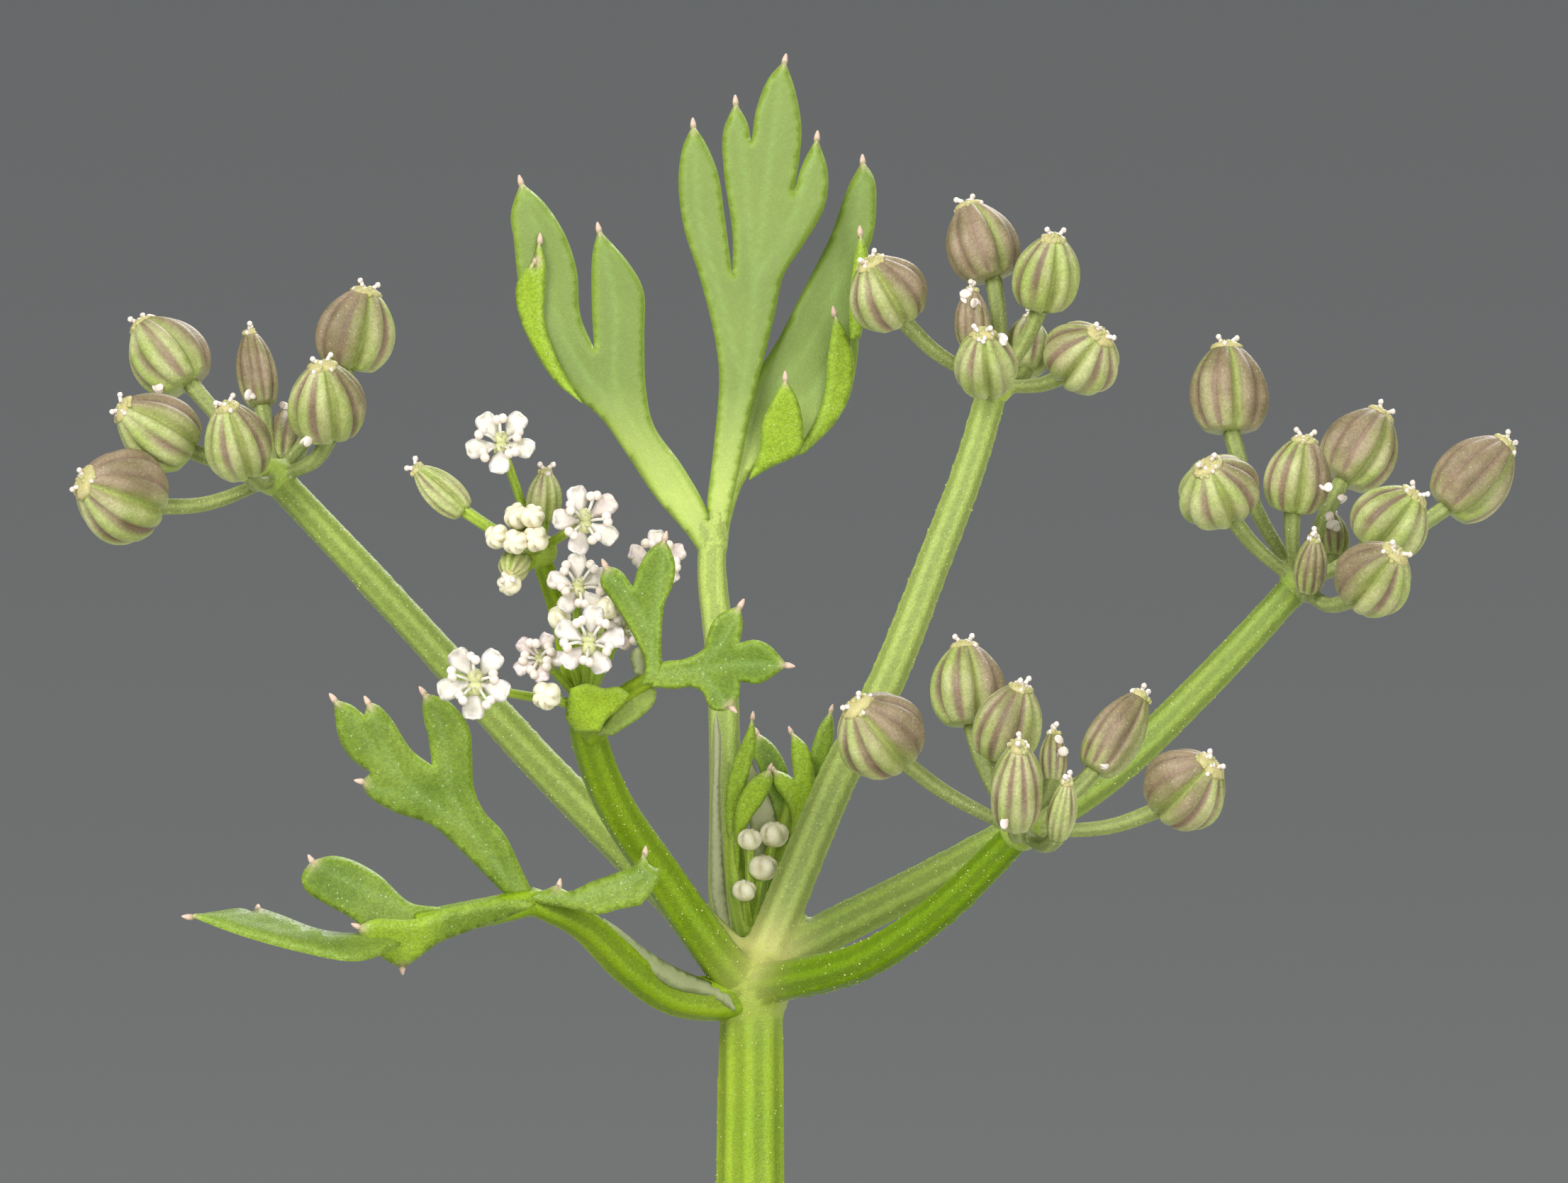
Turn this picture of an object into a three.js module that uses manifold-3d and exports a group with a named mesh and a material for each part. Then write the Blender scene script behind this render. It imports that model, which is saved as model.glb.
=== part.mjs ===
// Potted sea celery: a slender coastal herb with divided fleshy leaves, white flowers and ribbed fruits.
// Millimetres, +Z up. The origin is the centre of the pot's underside, and the plant faces -Y.
import * as THREE from "three";
import { mergeVertices } from "three/addons/utils/BufferGeometryUtils.js";
import Module from "manifold-3d";

const wasm = await Module();
wasm.setup();

// Driving dimensions
const POT = {
  height: 58,
  baseRadius: 23,
  mouthRadius: 31.2,
  wall: 3.2,
  floor: 4,
  rimHeight: 13,
  rimProud: 1.8,
  edge: 0.8,
  sides: 36,
};
const DRAIN = { radius: 2.5, circle: 12, count: 3 };
const SOIL = { top: 50, clearance: 0.35, mound: 1.2, rings: 3, sectors: 26, crumb: 0.7 };
const HOLE = { clearance: 0.55, depth: 5, sides: 7 };
const NODE_HEIGHT = 108; // the joint of the stem that the rays and leaves spring from
const LEAN = THREE.MathUtils.degToRad(5); // the flowering shoot leans back by this much
const GAP = 0.3; // between two pieces that touch on the plant
const BLADE = 0.6; // leaf and petal thickness
const RIBS = 10; // on one fruit, five on each half

const COLOURS = {
  terracotta: { color: 0xb5673f, roughness: 0.9 },
  soil: { color: 0x3b2a1e, roughness: 1 },
  stem: { color: 0x7fa83a, roughness: 0.5 },
  leaf: { color: 0x4f8a35, roughness: 0.55 },
  fruit: { color: 0x97a56b, roughness: 0.5 },
  petal: { color: 0xf1efe9, roughness: 0.6 },
};

// A closed geometry as a solid, turned right side out
function solid(geometry) {
  const bare = geometry.index ? geometry.toNonIndexed() : geometry.clone();
  bare.deleteAttribute("normal");
  bare.deleteAttribute("uv");
  const merged = mergeVertices(bare, 1e-4);
  const vertProperties = merged.attributes.position.array;
  const triVerts = new Uint32Array(merged.index.array);
  const made = new wasm.Manifold(new wasm.Mesh({ numProp: 3, vertProperties, triVerts }));
  if (made.volume() > 0) return made;
  triVerts.reverse();
  return new wasm.Manifold(new wasm.Mesh({ numProp: 3, vertProperties, triVerts }));
}

function geometryOf(body) {
  const { vertProperties, triVerts } = body.getMesh();
  const geometry = new THREE.BufferGeometry();
  geometry.setAttribute("position", new THREE.BufferAttribute(vertProperties, 3));
  geometry.setIndex(new THREE.BufferAttribute(triVerts, 1));
  return geometry;
}

const fuse = (bodies) => bodies.reduce((whole, body) => whole.add(body));
const vector = (point) => new THREE.Vector3(...point);

// The faces between a ring and the next, of which the larger has a whole multiple of the smaller's points
function band(lower, upper) {
  const widens = upper.length > lower.length;
  const [small, large] = widens ? [lower, upper] : [upper, lower];
  const step = large.length / small.length;
  const from = step > 1 ? -Math.floor(step / 2) : 0;
  const big = (k) => large[(k + large.length) % large.length];
  const faces = [];
  small.forEach((corner, i) => {
    for (let k = i * step + from; k < (i + 1) * step + from; k++) {
      faces.push(widens ? [corner, big(k + 1), big(k)] : [big(k), big(k + 1), corner]);
    }
    if (small.length === 1) return;
    const next = small[(i + 1) % small.length];
    const seam = big((i + 1) * step + from);
    faces.push(widens ? [corner, next, seam] : [seam, next, corner]);
  });
  return faces.flat();
}

// A body through rings of points, closed by a fan at both ends
function loft(rings) {
  const positions = rings.flat().flatMap((p) => [p.x, p.y, p.z]);
  let count = 0;
  const numbered = rings.map((ring) => ring.map(() => count++));
  const faces = [];
  for (let i = 0; i + 1 < rings.length; i++) faces.push(...band(numbered[i], numbered[i + 1]));
  const [first, last] = [numbered[0], numbered.at(-1)];
  for (let j = 1; j + 1 < first.length; j++) faces.push(first[0], first[j + 1], first[j]);
  for (let j = 1; j + 1 < last.length; j++) faces.push(last[0], last[j], last[j + 1]);
  const geometry = new THREE.BufferGeometry();
  geometry.setAttribute("position", new THREE.Float32BufferAttribute(positions, 3));
  geometry.setIndex(faces);
  return geometry;
}

// Round rings at the stations of a path, each square to it, carried along without a twist. A station is
// { at, radius, sides }, and a notch for a star
function ringsAlong(stations, startSide) {
  let side = startSide;
  return stations.map(({ at, radius, sides, notch = 1 }, i) => {
    const before = stations[Math.max(i - 1, 0)].at;
    const after = stations[Math.min(i + 1, stations.length - 1)].at;
    const along = after.clone().sub(before).normalize();
    side = side.clone().addScaledVector(along, -side.dot(along)).normalize();
    const up = along.clone().cross(side);
    if (sides === 1) return [at];
    return Array.from({ length: sides }, (_, k) => {
      const turn = (k / sides) * 2 * Math.PI;
      const reach = radius * (k % 2 ? notch : 1);
      return at
        .clone()
        .addScaledVector(side, reach * Math.cos(turn))
        .addScaledVector(up, reach * Math.sin(turn));
    });
  });
}

const SIDEWAYS = new THREE.Vector3(0.83, 0.55, 0.12);

// A stalk straight from point to point, with a radius at each
function straightStalk(points, radii, sides) {
  const stations = points.map((point, i) => ({ at: vector(point), radius: radii[i], sides }));
  return solid(loft(ringsAlong(stations, SIDEWAYS)));
}

// A round stalk along a smooth curve, its radius running from one end's to the other's
function stalk(points, startRadius, endRadius, sides = 8, steps = 8) {
  const path = new THREE.CatmullRomCurve3(points.map(vector)).getSpacedPoints(steps);
  const stations = path.map((at, i) => ({
    at,
    radius: THREE.MathUtils.lerp(startRadius, endRadius, i / steps),
    sides,
  }));
  return solid(loft(ringsAlong(stations, SIDEWAYS)));
}

function knob(centre, radius, detail = 0) {
  return solid(new THREE.IcosahedronGeometry(radius, detail).translate(...centre));
}

const stemAtHeight = (path, height) =>
  new THREE.CatmullRomCurve3(path.map(vector)).getSpacedPoints(200).find(({ z }) => z >= height);

// A closed bud on a thin stalk
function bud(from, centre, radius) {
  const along = vector(centre).sub(vector(from)).normalize();
  const at = (share) => vector(centre).addScaledVector(along, share * radius);
  const stations = [
    { at: vector(from), radius: 0.13, sides: 3 },
    { at: at(-0.95), radius: 0.12, sides: 3 },
    { at: at(-0.35), radius: 0.95 * radius, sides: 6 },
    { at: at(0.4), radius: 0.9 * radius, sides: 6 },
    { at: at(1), radius: 0, sides: 1 },
  ];
  return solid(loft(ringsAlong(stations, SIDEWAYS)));
}

// A tight head of buds: a ball whose corners stand out
function budHead(centre, radius) {
  const ball = new THREE.IcosahedronGeometry(radius, 1);
  const corners = new THREE.IcosahedronGeometry(radius, 0).attributes.position;
  const { position } = ball.attributes;
  const point = new THREE.Vector3();
  const corner = new THREE.Vector3();
  for (let i = 0; i < position.count; i++) {
    point.fromBufferAttribute(position, i);
    let nearest = Infinity;
    for (let k = 0; k < corners.count; k++) {
      nearest = Math.min(nearest, corner.fromBufferAttribute(corners, k).distanceTo(point));
    }
    if (nearest > 0.1 * radius) point.multiplyScalar(0.76);
    position.setXYZ(i, ...point);
  }
  return solid(ball.translate(...centre));
}

// A flat body with a lobed outline. place maps an outline point to its middle and its face's normal, and
// both faces share one set of triangles, so that they never cross
function sheet(outline, place, thickness = BLADE) {
  const contour = outline.map(([u, v]) => new THREE.Vector2(u, v));
  const triangles = THREE.ShapeUtils.triangulateShape(contour, []);
  const count = outline.length;
  const front = [];
  const back = [];
  for (const [u, v] of outline) {
    const { middle, normal } = place(u, v);
    front.push(middle.clone().addScaledVector(normal, thickness / 2));
    back.push(middle.clone().addScaledVector(normal, -thickness / 2));
  }
  const faces = triangles.flatMap(([a, b, c]) => [a, b, c, count + a, count + c, count + b]);
  const turned = THREE.ShapeUtils.isClockWise(contour);
  for (let i = 0; i < count; i++) {
    const j = (i + 1) % count;
    if (turned) faces.push(i, j, count + j, i, count + j, count + i);
    else faces.push(j, i, count + i, j, count + i, count + j);
  }
  const geometry = new THREE.BufferGeometry();
  const positions = [...front, ...back].flatMap((p) => [p.x, p.y, p.z]);
  geometry.setAttribute("position", new THREE.Float32BufferAttribute(positions, 3));
  geometry.setIndex(faces);
  return solid(geometry);
}

// A leaf blade that faces the viewer: its outline in x and z, and its depth by a plane
function facingBlade(outline, [x0, y0, z0], slopeX, slopeZ) {
  const normal = new THREE.Vector3(-slopeX, 1, -slopeZ).normalize();
  return sheet(outline, (x, z) => ({
    middle: new THREE.Vector3(x, y0 + slopeX * (x - x0) + slopeZ * (z - z0), z),
    normal,
  }));
}

// A tapered leaf lobe from its foot to its tip, as wide as 2 * halfWidth along the given direction
const LOBE_STATIONS = [
  [0, 0.45],
  [0.4, 0.95],
  [0.75, 0.85],
  [1, 0.14],
];
function lobe(foot, tip, halfWidth, across, thickness = BLADE) {
  const start = vector(foot);
  const along = vector(tip).sub(start);
  const side = vector(across);
  side.addScaledVector(along, -side.dot(along) / along.lengthSq()).normalize();
  const normal = along.clone().cross(side).normalize();
  const rings = LOBE_STATIONS.map(([t, width]) => {
    const centre = start.clone().addScaledVector(along, t);
    const half = (thickness / 2) * Math.min(1, width + 0.4);
    return [
      centre.clone().addScaledVector(side, halfWidth * width),
      centre.clone().addScaledVector(normal, half),
      centre.clone().addScaledVector(side, -halfWidth * width),
      centre.clone().addScaledVector(normal, -half),
    ];
  });
  return solid(loft(rings));
}

// Fruits. A fruit is two halves side by side, with five ribs each and a groove between them, that meet in
// a blunt point. Its rings are given as height, radius and number of points
const FRUIT_RINGS = [
  [0.09, 0.74, 10],
  [0.42, 1, 20],
  [0.8, 0.74, 10],
  [1, 0, 1],
];
const FURROW = 0.9; // a furrow's radius as a share of a rib's
const GROOVE = 0.8; // the same for the groove between the halves
const SLIMNESS = 0.82; // a fruit's depth as a share of its width
const PEDICEL = { foot: 0.16, neck: 0.24 };

// A fruit on its pedicel, which bends up from the umbellet's joint into the foot of the fruit
function fruit(joint, base, tip, width, turn, pedicel = PEDICEL) {
  const start = vector(base);
  const along = vector(tip).sub(start);
  const axis = along.clone().normalize();
  const wide = new THREE.Vector3(0, -1, 0).cross(axis).normalize();
  wide.applyAxisAngle(axis, THREE.MathUtils.degToRad(turn));
  const deep = axis.clone().cross(wide);
  const from = vector(joint);
  const reach = start.distanceTo(from);
  const bend = start.clone().addScaledVector(axis, -0.4 * reach).lerp(from.clone().lerp(start, 0.5), 0.4);
  const stations = [
    { at: from, radius: pedicel.foot, sides: 5 },
    { at: bend, radius: pedicel.foot, sides: 5 },
    { at: start, radius: pedicel.neck, sides: 5 },
  ];
  const rings = FRUIT_RINGS.map(([height, radius, sides]) =>
    Array.from({ length: sides }, (_, k) => {
      const inGroove = k % RIBS === RIBS / 2;
      const relief = inGroove ? GROOVE : k % 2 ? FURROW : 1;
      const share = (width / 2) * radius * (sides === 2 * RIBS ? relief : 1);
      const angle = (k / sides) * 2 * Math.PI;
      return start
        .clone()
        .addScaledVector(along, height)
        .addScaledVector(wide, share * Math.cos(angle))
        .addScaledVector(deep, SLIMNESS * share * Math.sin(angle));
    }),
  );
  return solid(loft([...ringsAlong(stations, wide), ...rings]));
}

// A five-petalled flower, flat, with notches between its petals
const PETAL_POINTS = [
  [0, 0.36],
  [0.22, 0.86],
  [0.5, 1],
  [0.78, 0.86],
];
function corolla(centre, normal, radius, spin) {
  const axis = vector(normal).normalize();
  const side = new THREE.Vector3(1, 0, 0).cross(axis).normalize();
  side.applyAxisAngle(axis, spin);
  const up = axis.clone().cross(side);
  const outline = [];
  for (let i = 0; i < 5; i++) {
    for (const [share, reach] of PETAL_POINTS) {
      const angle = ((i + share) / 5) * 2 * Math.PI;
      outline.push([radius * reach * Math.cos(angle), radius * reach * Math.sin(angle)]);
    }
  }
  const middle = vector(centre);
  return sheet(outline, (u, v) => ({
    middle: middle.clone().addScaledVector(side, u).addScaledVector(up, v),
    normal: axis,
  }));
}

// A small five-petalled flower on a thin stalk, as a star
function smallFlower(from, centre, radius) {
  const along = vector(centre).sub(vector(from)).normalize();
  const at = (shift) => vector(centre).addScaledVector(along, shift);
  const stations = [
    { at: vector(from), radius: 0.12, sides: 5 },
    { at: at(-BLADE), radius: 0.14, sides: 5 },
    { at: at(-BLADE / 2), radius, sides: 10, notch: 0.42 },
    { at: at(BLADE / 2), radius, sides: 10, notch: 0.42 },
    { at: at(BLADE / 2 - 0.05), radius: 0, sides: 1 },
  ];
  return solid(loft(ringsAlong(stations, SIDEWAYS)));
}

const group = new THREE.Group();
const plant = new THREE.Group();
const shoot = new THREE.Group();
shoot.position.set(0, 0, NODE_HEIGHT);
shoot.rotation.x = -LEAN;
plant.add(shoot);
group.add(plant);

function piece(parent, name, body, finish) {
  const mesh = new THREE.Mesh(geometryOf(body), new THREE.MeshStandardMaterial(COLOURS[finish]));
  mesh.name = name;
  parent.add(mesh);
  return mesh;
}

// A point of the shoot's own frame, in the plant's
const AXIS_X = new THREE.Vector3(1, 0, 0);
const fromShoot = (point) =>
  vector(point).applyAxisAngle(AXIS_X, -LEAN).add(shoot.position).toArray();

// The pot: a plain clay pot with a deep band for a rim
function outerRadius(z) {
  return THREE.MathUtils.lerp(POT.baseRadius, POT.mouthRadius, z / POT.height);
}
const innerRadius = (z) => outerRadius(z) - POT.wall;

function potBody() {
  const { height, rimHeight, rimProud, edge, floor } = POT;
  const rimFoot = height - rimHeight;
  const profile = [
    [0, 0],
    [outerRadius(0) - edge, 0],
    [outerRadius(edge), edge],
    [outerRadius(rimFoot), rimFoot],
    [outerRadius(rimFoot) + rimProud, rimFoot + edge],
    [outerRadius(height) + rimProud, height - edge],
    [outerRadius(height) + rimProud - edge, height],
    [innerRadius(height) + edge, height],
    [innerRadius(height), height - edge],
    [innerRadius(floor), floor],
    [0, floor],
  ].map(([r, z]) => new THREE.Vector2(r, z));
  let body = solid(new THREE.LatheGeometry(profile, POT.sides).rotateX(Math.PI / 2));
  for (let i = 0; i < DRAIN.count; i++) {
    const turn = (i / DRAIN.count) * 2 * Math.PI;
    const drill = new THREE.CylinderGeometry(DRAIN.radius, DRAIN.radius, 3 * floor, 12)
      .rotateX(Math.PI / 2)
      .translate(DRAIN.circle * Math.cos(turn), DRAIN.circle * Math.sin(turn), floor / 2);
    body = body.subtract(solid(drill));
  }
  return body;
}
piece(group, "pot", potBody(), "terracotta");

// The leaves in the pot: a rib that rises from the soil and arches out, and one lobed sheet that holds
// the leaflets, cut to the rib
const THREE_LOBED = [
  [0.06, 0],
  [0.4, 0.36],
  [0.5, 0.6],
  [0.17, 0.5],
  [0.23, 0.8],
];
const FIVE_LOBED = [
  [0.05, 0],
  [0.12, 0.22],
  [0.44, 0.36],
  [0.54, 0.58],
  [0.17, 0.47],
  [0.33, 0.68],
  [0.34, 0.86],
  [0.12, 0.72],
  [0.14, 0.9],
];
const LEAFLET_TIP = 1.06;

// A leaflet's outline: its foot at a point of the rib, turned away from the rib by an angle
function leafletOutline(half, length, foot, angle) {
  const right = half.map(([x, y]) => [x, y]);
  const left = half.map(([x, y]) => [-x, y]).reverse();
  const cos = Math.cos(angle);
  const sin = Math.sin(angle);
  return [...right, [0, LEAFLET_TIP], ...left].map(([x, y]) => [
    foot[0] + length * (x * cos + y * sin),
    foot[1] + length * (y * cos - x * sin),
  ]);
}

// The outline of the whole blade: the terminal leaflet and its pairs, [place along the rib, length]
function bladeOutline(pairs, terminal, ribHalf, spread) {
  const side = [];
  side.push([ribHalf, 0]);
  for (const [along, length] of pairs) {
    side.push(...leafletOutline(THREE_LOBED, length, [ribHalf, along], spread));
  }
  const mirrored = side.map(([x, y]) => [-x, y]).reverse();
  const tip = leafletOutline(FIVE_LOBED, terminal.length, [0, terminal.along], 0);
  return [...side, ...tip, ...mirrored];
}

// A leaf on its petiole. points are the rib's, from the foot to the tip of the rib, and bladeStart is the
// share of it where the leaflets begin
function leaf(points, bladeStart, pairs, terminal, { foot = 0.8, neck = 0.45, fold = 0.25 } = {}) {
  const curve = new THREE.CatmullRomCurve3(points.map(vector));
  const length = curve.getLength();
  const upward = new THREE.Vector3(0, 0, 1);
  const place = (u, v) => {
    const share = Math.min(1, bladeStart + v / length);
    const tangent = curve.getTangentAt(share);
    const side = tangent.clone().cross(upward).normalize();
    const normal = side.clone().cross(tangent).normalize();
    const beyond = Math.max(0, bladeStart + v / length - 1) * length;
    const middle = curve
      .getPointAt(share)
      .addScaledVector(tangent, beyond)
      .addScaledVector(side, u)
      .addScaledVector(normal, fold * Math.abs(u));
    return { middle, normal };
  };
  const petiolePoints = [];
  const petioleSteps = 5;
  for (let i = 0; i <= petioleSteps; i++) {
    const share = ((bladeStart + 2 / length) * i) / petioleSteps;
    petiolePoints.push(curve.getPointAt(share).toArray());
  }
  return stalk(petiolePoints, foot, neck, 4, petioleSteps).add(
    sheet(bladeOutline(pairs, terminal, neck * 0.8, THREE.MathUtils.degToRad(58)), place),
  );
}

// Where each leaf of the pot stands: its direction, the reach and rise of its tip, and its leaflets' size
const CROWN_RADIUS = 6;
const PAIR_STEP = 0.76; // from one pair of leaflets to the next, as a share of the end leaflet's length
const POT_LEAVES = [
  { turn: 10, reach: 41, rise: 23, size: 10.5, pairs: 2 },
  { turn: 58, reach: 36, rise: 32, size: 10, pairs: 2 },
  { turn: 104, reach: 43, rise: 21, size: 11, pairs: 2 },
  { turn: 150, reach: 34, rise: 34, size: 9.5, pairs: 2 },
  { turn: 196, reach: 42, rise: 22, size: 10.5, pairs: 2 },
  { turn: 238, reach: 36, rise: 28, size: 10, pairs: 2 },
  { turn: 286, reach: 42, rise: 20, size: 11, pairs: 2 },
  { turn: 330, reach: 35, rise: 31, size: 9.5, pairs: 2 },
];
const holes = [];

function potLeaf({ turn, reach, rise, size, pairs }) {
  const angle = THREE.MathUtils.degToRad(turn);
  const at = (radius, height) => [
    radius * Math.cos(angle),
    radius * Math.sin(angle),
    SOIL.top + height,
  ];
  holes.push({ centre: at(CROWN_RADIUS, 0), radius: 0.85 });
  const ribPoints = [
    at(CROWN_RADIUS, -HOLE.depth + 1.5),
    at(CROWN_RADIUS, 3),
    at(CROWN_RADIUS + 0.12 * reach, rise * 0.62),
    at(CROWN_RADIUS + 0.42 * reach, rise * 1.02),
    at(reach - size * 0.6, rise),
  ];
  const rows = [];
  for (let i = 0; i < pairs; i++) rows.push([2 + i * PAIR_STEP * size, size * (0.84 - 0.08 * i)]);
  const terminal = { along: 2 + (pairs * PAIR_STEP - 0.12) * size, length: size };
  const length = new THREE.CatmullRomCurve3(ribPoints.map(vector)).getLength();
  const bladeStart = 1 - (terminal.along + size * 0.35) / length;
  return leaf(ribPoints, bladeStart, rows, terminal, { foot: 0.85, neck: 0.5, fold: 0.22 });
}
POT_LEAVES.forEach((plan, i) => piece(plant, `pot_leaf_${i + 1}`, potLeaf(plan), "leaf"));

// The flowering stem, with the rays of its umbel and the branch that carries the flowers. The paths are in
// the shoot's frame, whose origin is the joint
const RAYS = {
  left: {
    path: [
      [0, 0, 0.1],
      [-0.9, 0.24, 1],
      [-3.18, 1.28, 3.33],
      [-5.19, 2.08, 5.33],
      [-9.84, 3.52, 10.35],
    ],
    joint: [-12.24, 4.16, 12.88],
  },
  top: {
    path: [
      [0, 0, 0.1],
      [0.5, 0.16, 1.15],
      [2.13, 0.64, 5.04],
      [3.45, 0.96, 7.65],
      [4.64, 1.28, 10.65],
      [5.55, 1.6, 13.05],
    ],
    joint: [6.2, 1.92, 15.21],
  },
  right: {
    path: [
      [0, 0, 0.1],
      [1, 0.32, 0.74],
      [5.43, 1.6, 3.02],
      [8.87, 2.56, 5.02],
      [11.36, 3.04, 7.28],
    ],
    joint: [14.06, 3.52, 10.15],
  },
  front: {
    path: [
      [0, -0.32, -0.09],
      [0.95, -1.12, 0.07],
      [2.83, -3.04, 0.6],
      [4.79, -4.8, 1.92],
    ],
    joint: [6.79, -6.4, 3.9],
  },
};
const RAY_RADIUS = { start: 0.52, end: 0.4 };
const JOINT_RADIUS = 0.55; // of the small swelling that the fruits of an umbellet spring from
const FLOWER_BRANCH = [
  [0, -0.16, -0.1],
  [-0.5, -0.72, 0.26],
  [-2.36, -2.24, 2.87],
  [-3.53, -3.68, 4.69],
  [-4.09, -4.64, 6.23],
];
const STEM_PATH = [
  [0, 0, SOIL.top - 3.5],
  [0.7, 0.5, 62],
  [0.5, -0.2, 77],
  [0, 0, 98],
  [0, 0, NODE_HEIGHT],
];
const LOWER_BRANCH = [
  [0.5, -0.2, 76],
  [-1.2, 1.2, 78],
  [-5, 4.5, 83],
  [-8.2, 7.2, 88],
];
const STEM_RADIUS = { foot: 1.45, top: 0.8 };

function rayBody({ path, joint }) {
  const back = vector(path.at(-1)).sub(vector(joint)).setLength(JOINT_RADIUS + GAP);
  const end = vector(joint).add(back).toArray();
  return stalk([...path, end].map(fromShoot), RAY_RADIUS.start, RAY_RADIUS.end, 6, 6);
}

function floweringStem() {
  const rays = Object.values(RAYS).map(rayBody);
  return fuse([
    stalk(STEM_PATH, STEM_RADIUS.foot, STEM_RADIUS.top, 8, 9),
    knob(fromShoot([0, 0, -0.1]), 1.08, 1),
    knob([0.5, -0.2, 76], 1.5, 0),
    ...rays,
    stalk(FLOWER_BRANCH.map(fromShoot), 0.55, 0.47, 6, 6),
    stalk(LOWER_BRANCH, 0.6, 0.5, 6, 5),
  ]);
}
holes.push({ centre: [0, 0, SOIL.top], radius: STEM_RADIUS.foot });
piece(plant, "flowering_stem", floweringStem(), "stem");

// The fruiting umbellets, each on the end of its ray. A fruit is its base, its tip, its width and its turn
// about its axis, with the depths counted from the umbellet's own joint
const FRUITS = {
  left: [
    { base: [-14.48, 1.44, 15.3], tip: [-15.81, 2.08, 16.95], width: 2.15, turn: 40 },
    { base: [-14.43, -0.32, 13.58], tip: [-16.24, -0.96, 14.71], width: 2.04, turn: 25 },
    { base: [-15.34, -1.12, 12.11], tip: [-17.19, -2.4, 12.79], width: 2.53, turn: 0 },
    { base: [-12.95, -1.76, 12.96], tip: [-13.46, -2.72, 14.77], width: 1.76, turn: 10 },
    { base: [-12.64, 1.6, 14.73], tip: [-12.97, 2.08, 16.7], width: 1.26, turn: 90 },
    { base: [-12.08, 0.8, 13.13], tip: [-11.92, 2.4, 14.66], width: 1.32, turn: 70 },
    { base: [-10.82, -1.12, 13.89], tip: [-11.01, -1.92, 15.84], width: 2.09, turn: 15 },
    { base: [-10.43, 1.12, 15.71], tip: [-9.9, 0.96, 17.79], width: 2.15, turn: 20 },
  ],
  top: [
    { base: [3.83, -0.64, 16.91], tip: [2.98, -1.44, 18.43], width: 2.09, turn: 5 },
    { base: [6.22, 1.44, 17.98], tip: [5.53, 1.92, 19.97], width: 1.98, turn: 35 },
    { base: [7.39, -0.32, 17.2], tip: [7.75, -0.96, 19.07], width: 1.81, turn: 20 },
    { base: [5.68, -0.16, 16.16], tip: [5.63, 0, 17.73], width: 1.1, turn: 80 },
    { base: [6.05, -1.28, 15.11], tip: [5.88, -2.72, 16.59], width: 1.65, turn: 0 },
    { base: [7.03, 1.12, 15.59], tip: [7.15, 1.92, 17], width: 1.38, turn: 60 },
    { base: [8.08, -0.64, 15.49], tip: [8.95, -1.76, 16.54], width: 2.09, turn: 0 },
  ],
  right: [
    { base: [12.33, 0.96, 14.05], tip: [12.23, 1.44, 16.38], width: 2.12, turn: 15 },
    { base: [12.19, -1.12, 11.97], tip: [11.63, -2.4, 13.24], width: 2.2, turn: 5 },
    { base: [13.86, -0.8, 12], tip: [14.19, -1.12, 13.94], width: 1.76, turn: 10 },
    { base: [15.2, 1.44, 12.8], tip: [16.29, 1.92, 14.62], width: 2.09, turn: 30 },
    { base: [17.87, 1.12, 12.1], tip: [19.51, 1.44, 13.83], width: 2.15, turn: 45 },
    { base: [15.87, -0.48, 11.13], tip: [17.07, -0.96, 12.5], width: 2.09, turn: 10 },
    { base: [15.43, -2.72, 9.75], tip: [16.49, -3.84, 10.99], width: 2.04, turn: 0 },
    { base: [14.25, -1.28, 9.97], tip: [14.42, -1.92, 11.37], width: 1.04, turn: 90 },
    { base: [14.98, 0.96, 10.82], tip: [14.92, 1.44, 12.01], width: 0.99, turn: 60 },
  ],
  front: [
    { base: [3.73, -0.48, 5.75], tip: [2.58, -1.76, 7.15], width: 2.31, turn: 0 },
    { base: [5.55, 1.12, 6.57], tip: [5.38, 1.44, 8.69], width: 2.04, turn: 20 },
    { base: [6.19, -0.8, 5.75], tip: [6.82, -1.28, 7.63], width: 1.98, turn: 60 },
    { base: [6.63, -1.92, 4.1], tip: [6.71, -3.36, 6.18], width: 1.59, turn: 90 },
    { base: [7.7, -1.92, 3.78], tip: [7.94, -2.88, 5.25], width: 0.88, turn: 80 },
    { base: [8.64, 0.64, 5.42], tip: [9.9, 0.96, 7.41], width: 1.59, turn: 60 },
    { base: [10.39, -0.64, 4.5], tip: [11.62, -1.76, 5.65], width: 2.2, turn: 0 },
    { base: [7.61, 1.12, 5.14], tip: [7.64, 1.44, 6.43], width: 0.88, turn: 90 },
  ],
};
function fruitingUmbellet(joint, fruits) {
  const bodies = [knob(joint, JOINT_RADIUS)];
  for (const { base, tip, width, turn } of fruits) {
    const placedBase = [base[0], joint[1] + base[1], base[2]];
    const placedTip = [tip[0], joint[1] + tip[1], tip[2]];
    bodies.push(fruit(joint, placedBase, placedTip, width, turn));
  }
  return fuse(bodies);
}
for (const [side, fruits] of Object.entries(FRUITS)) {
  const { joint } = RAYS[side];
  const mesh = piece(
    shoot,
    `fruit_umbellet_${side}`,
    fruitingUmbellet(joint, fruits).translate(joint.map((c) => -c)),
    "fruit",
  );
  mesh.position.set(...joint);
}

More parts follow.
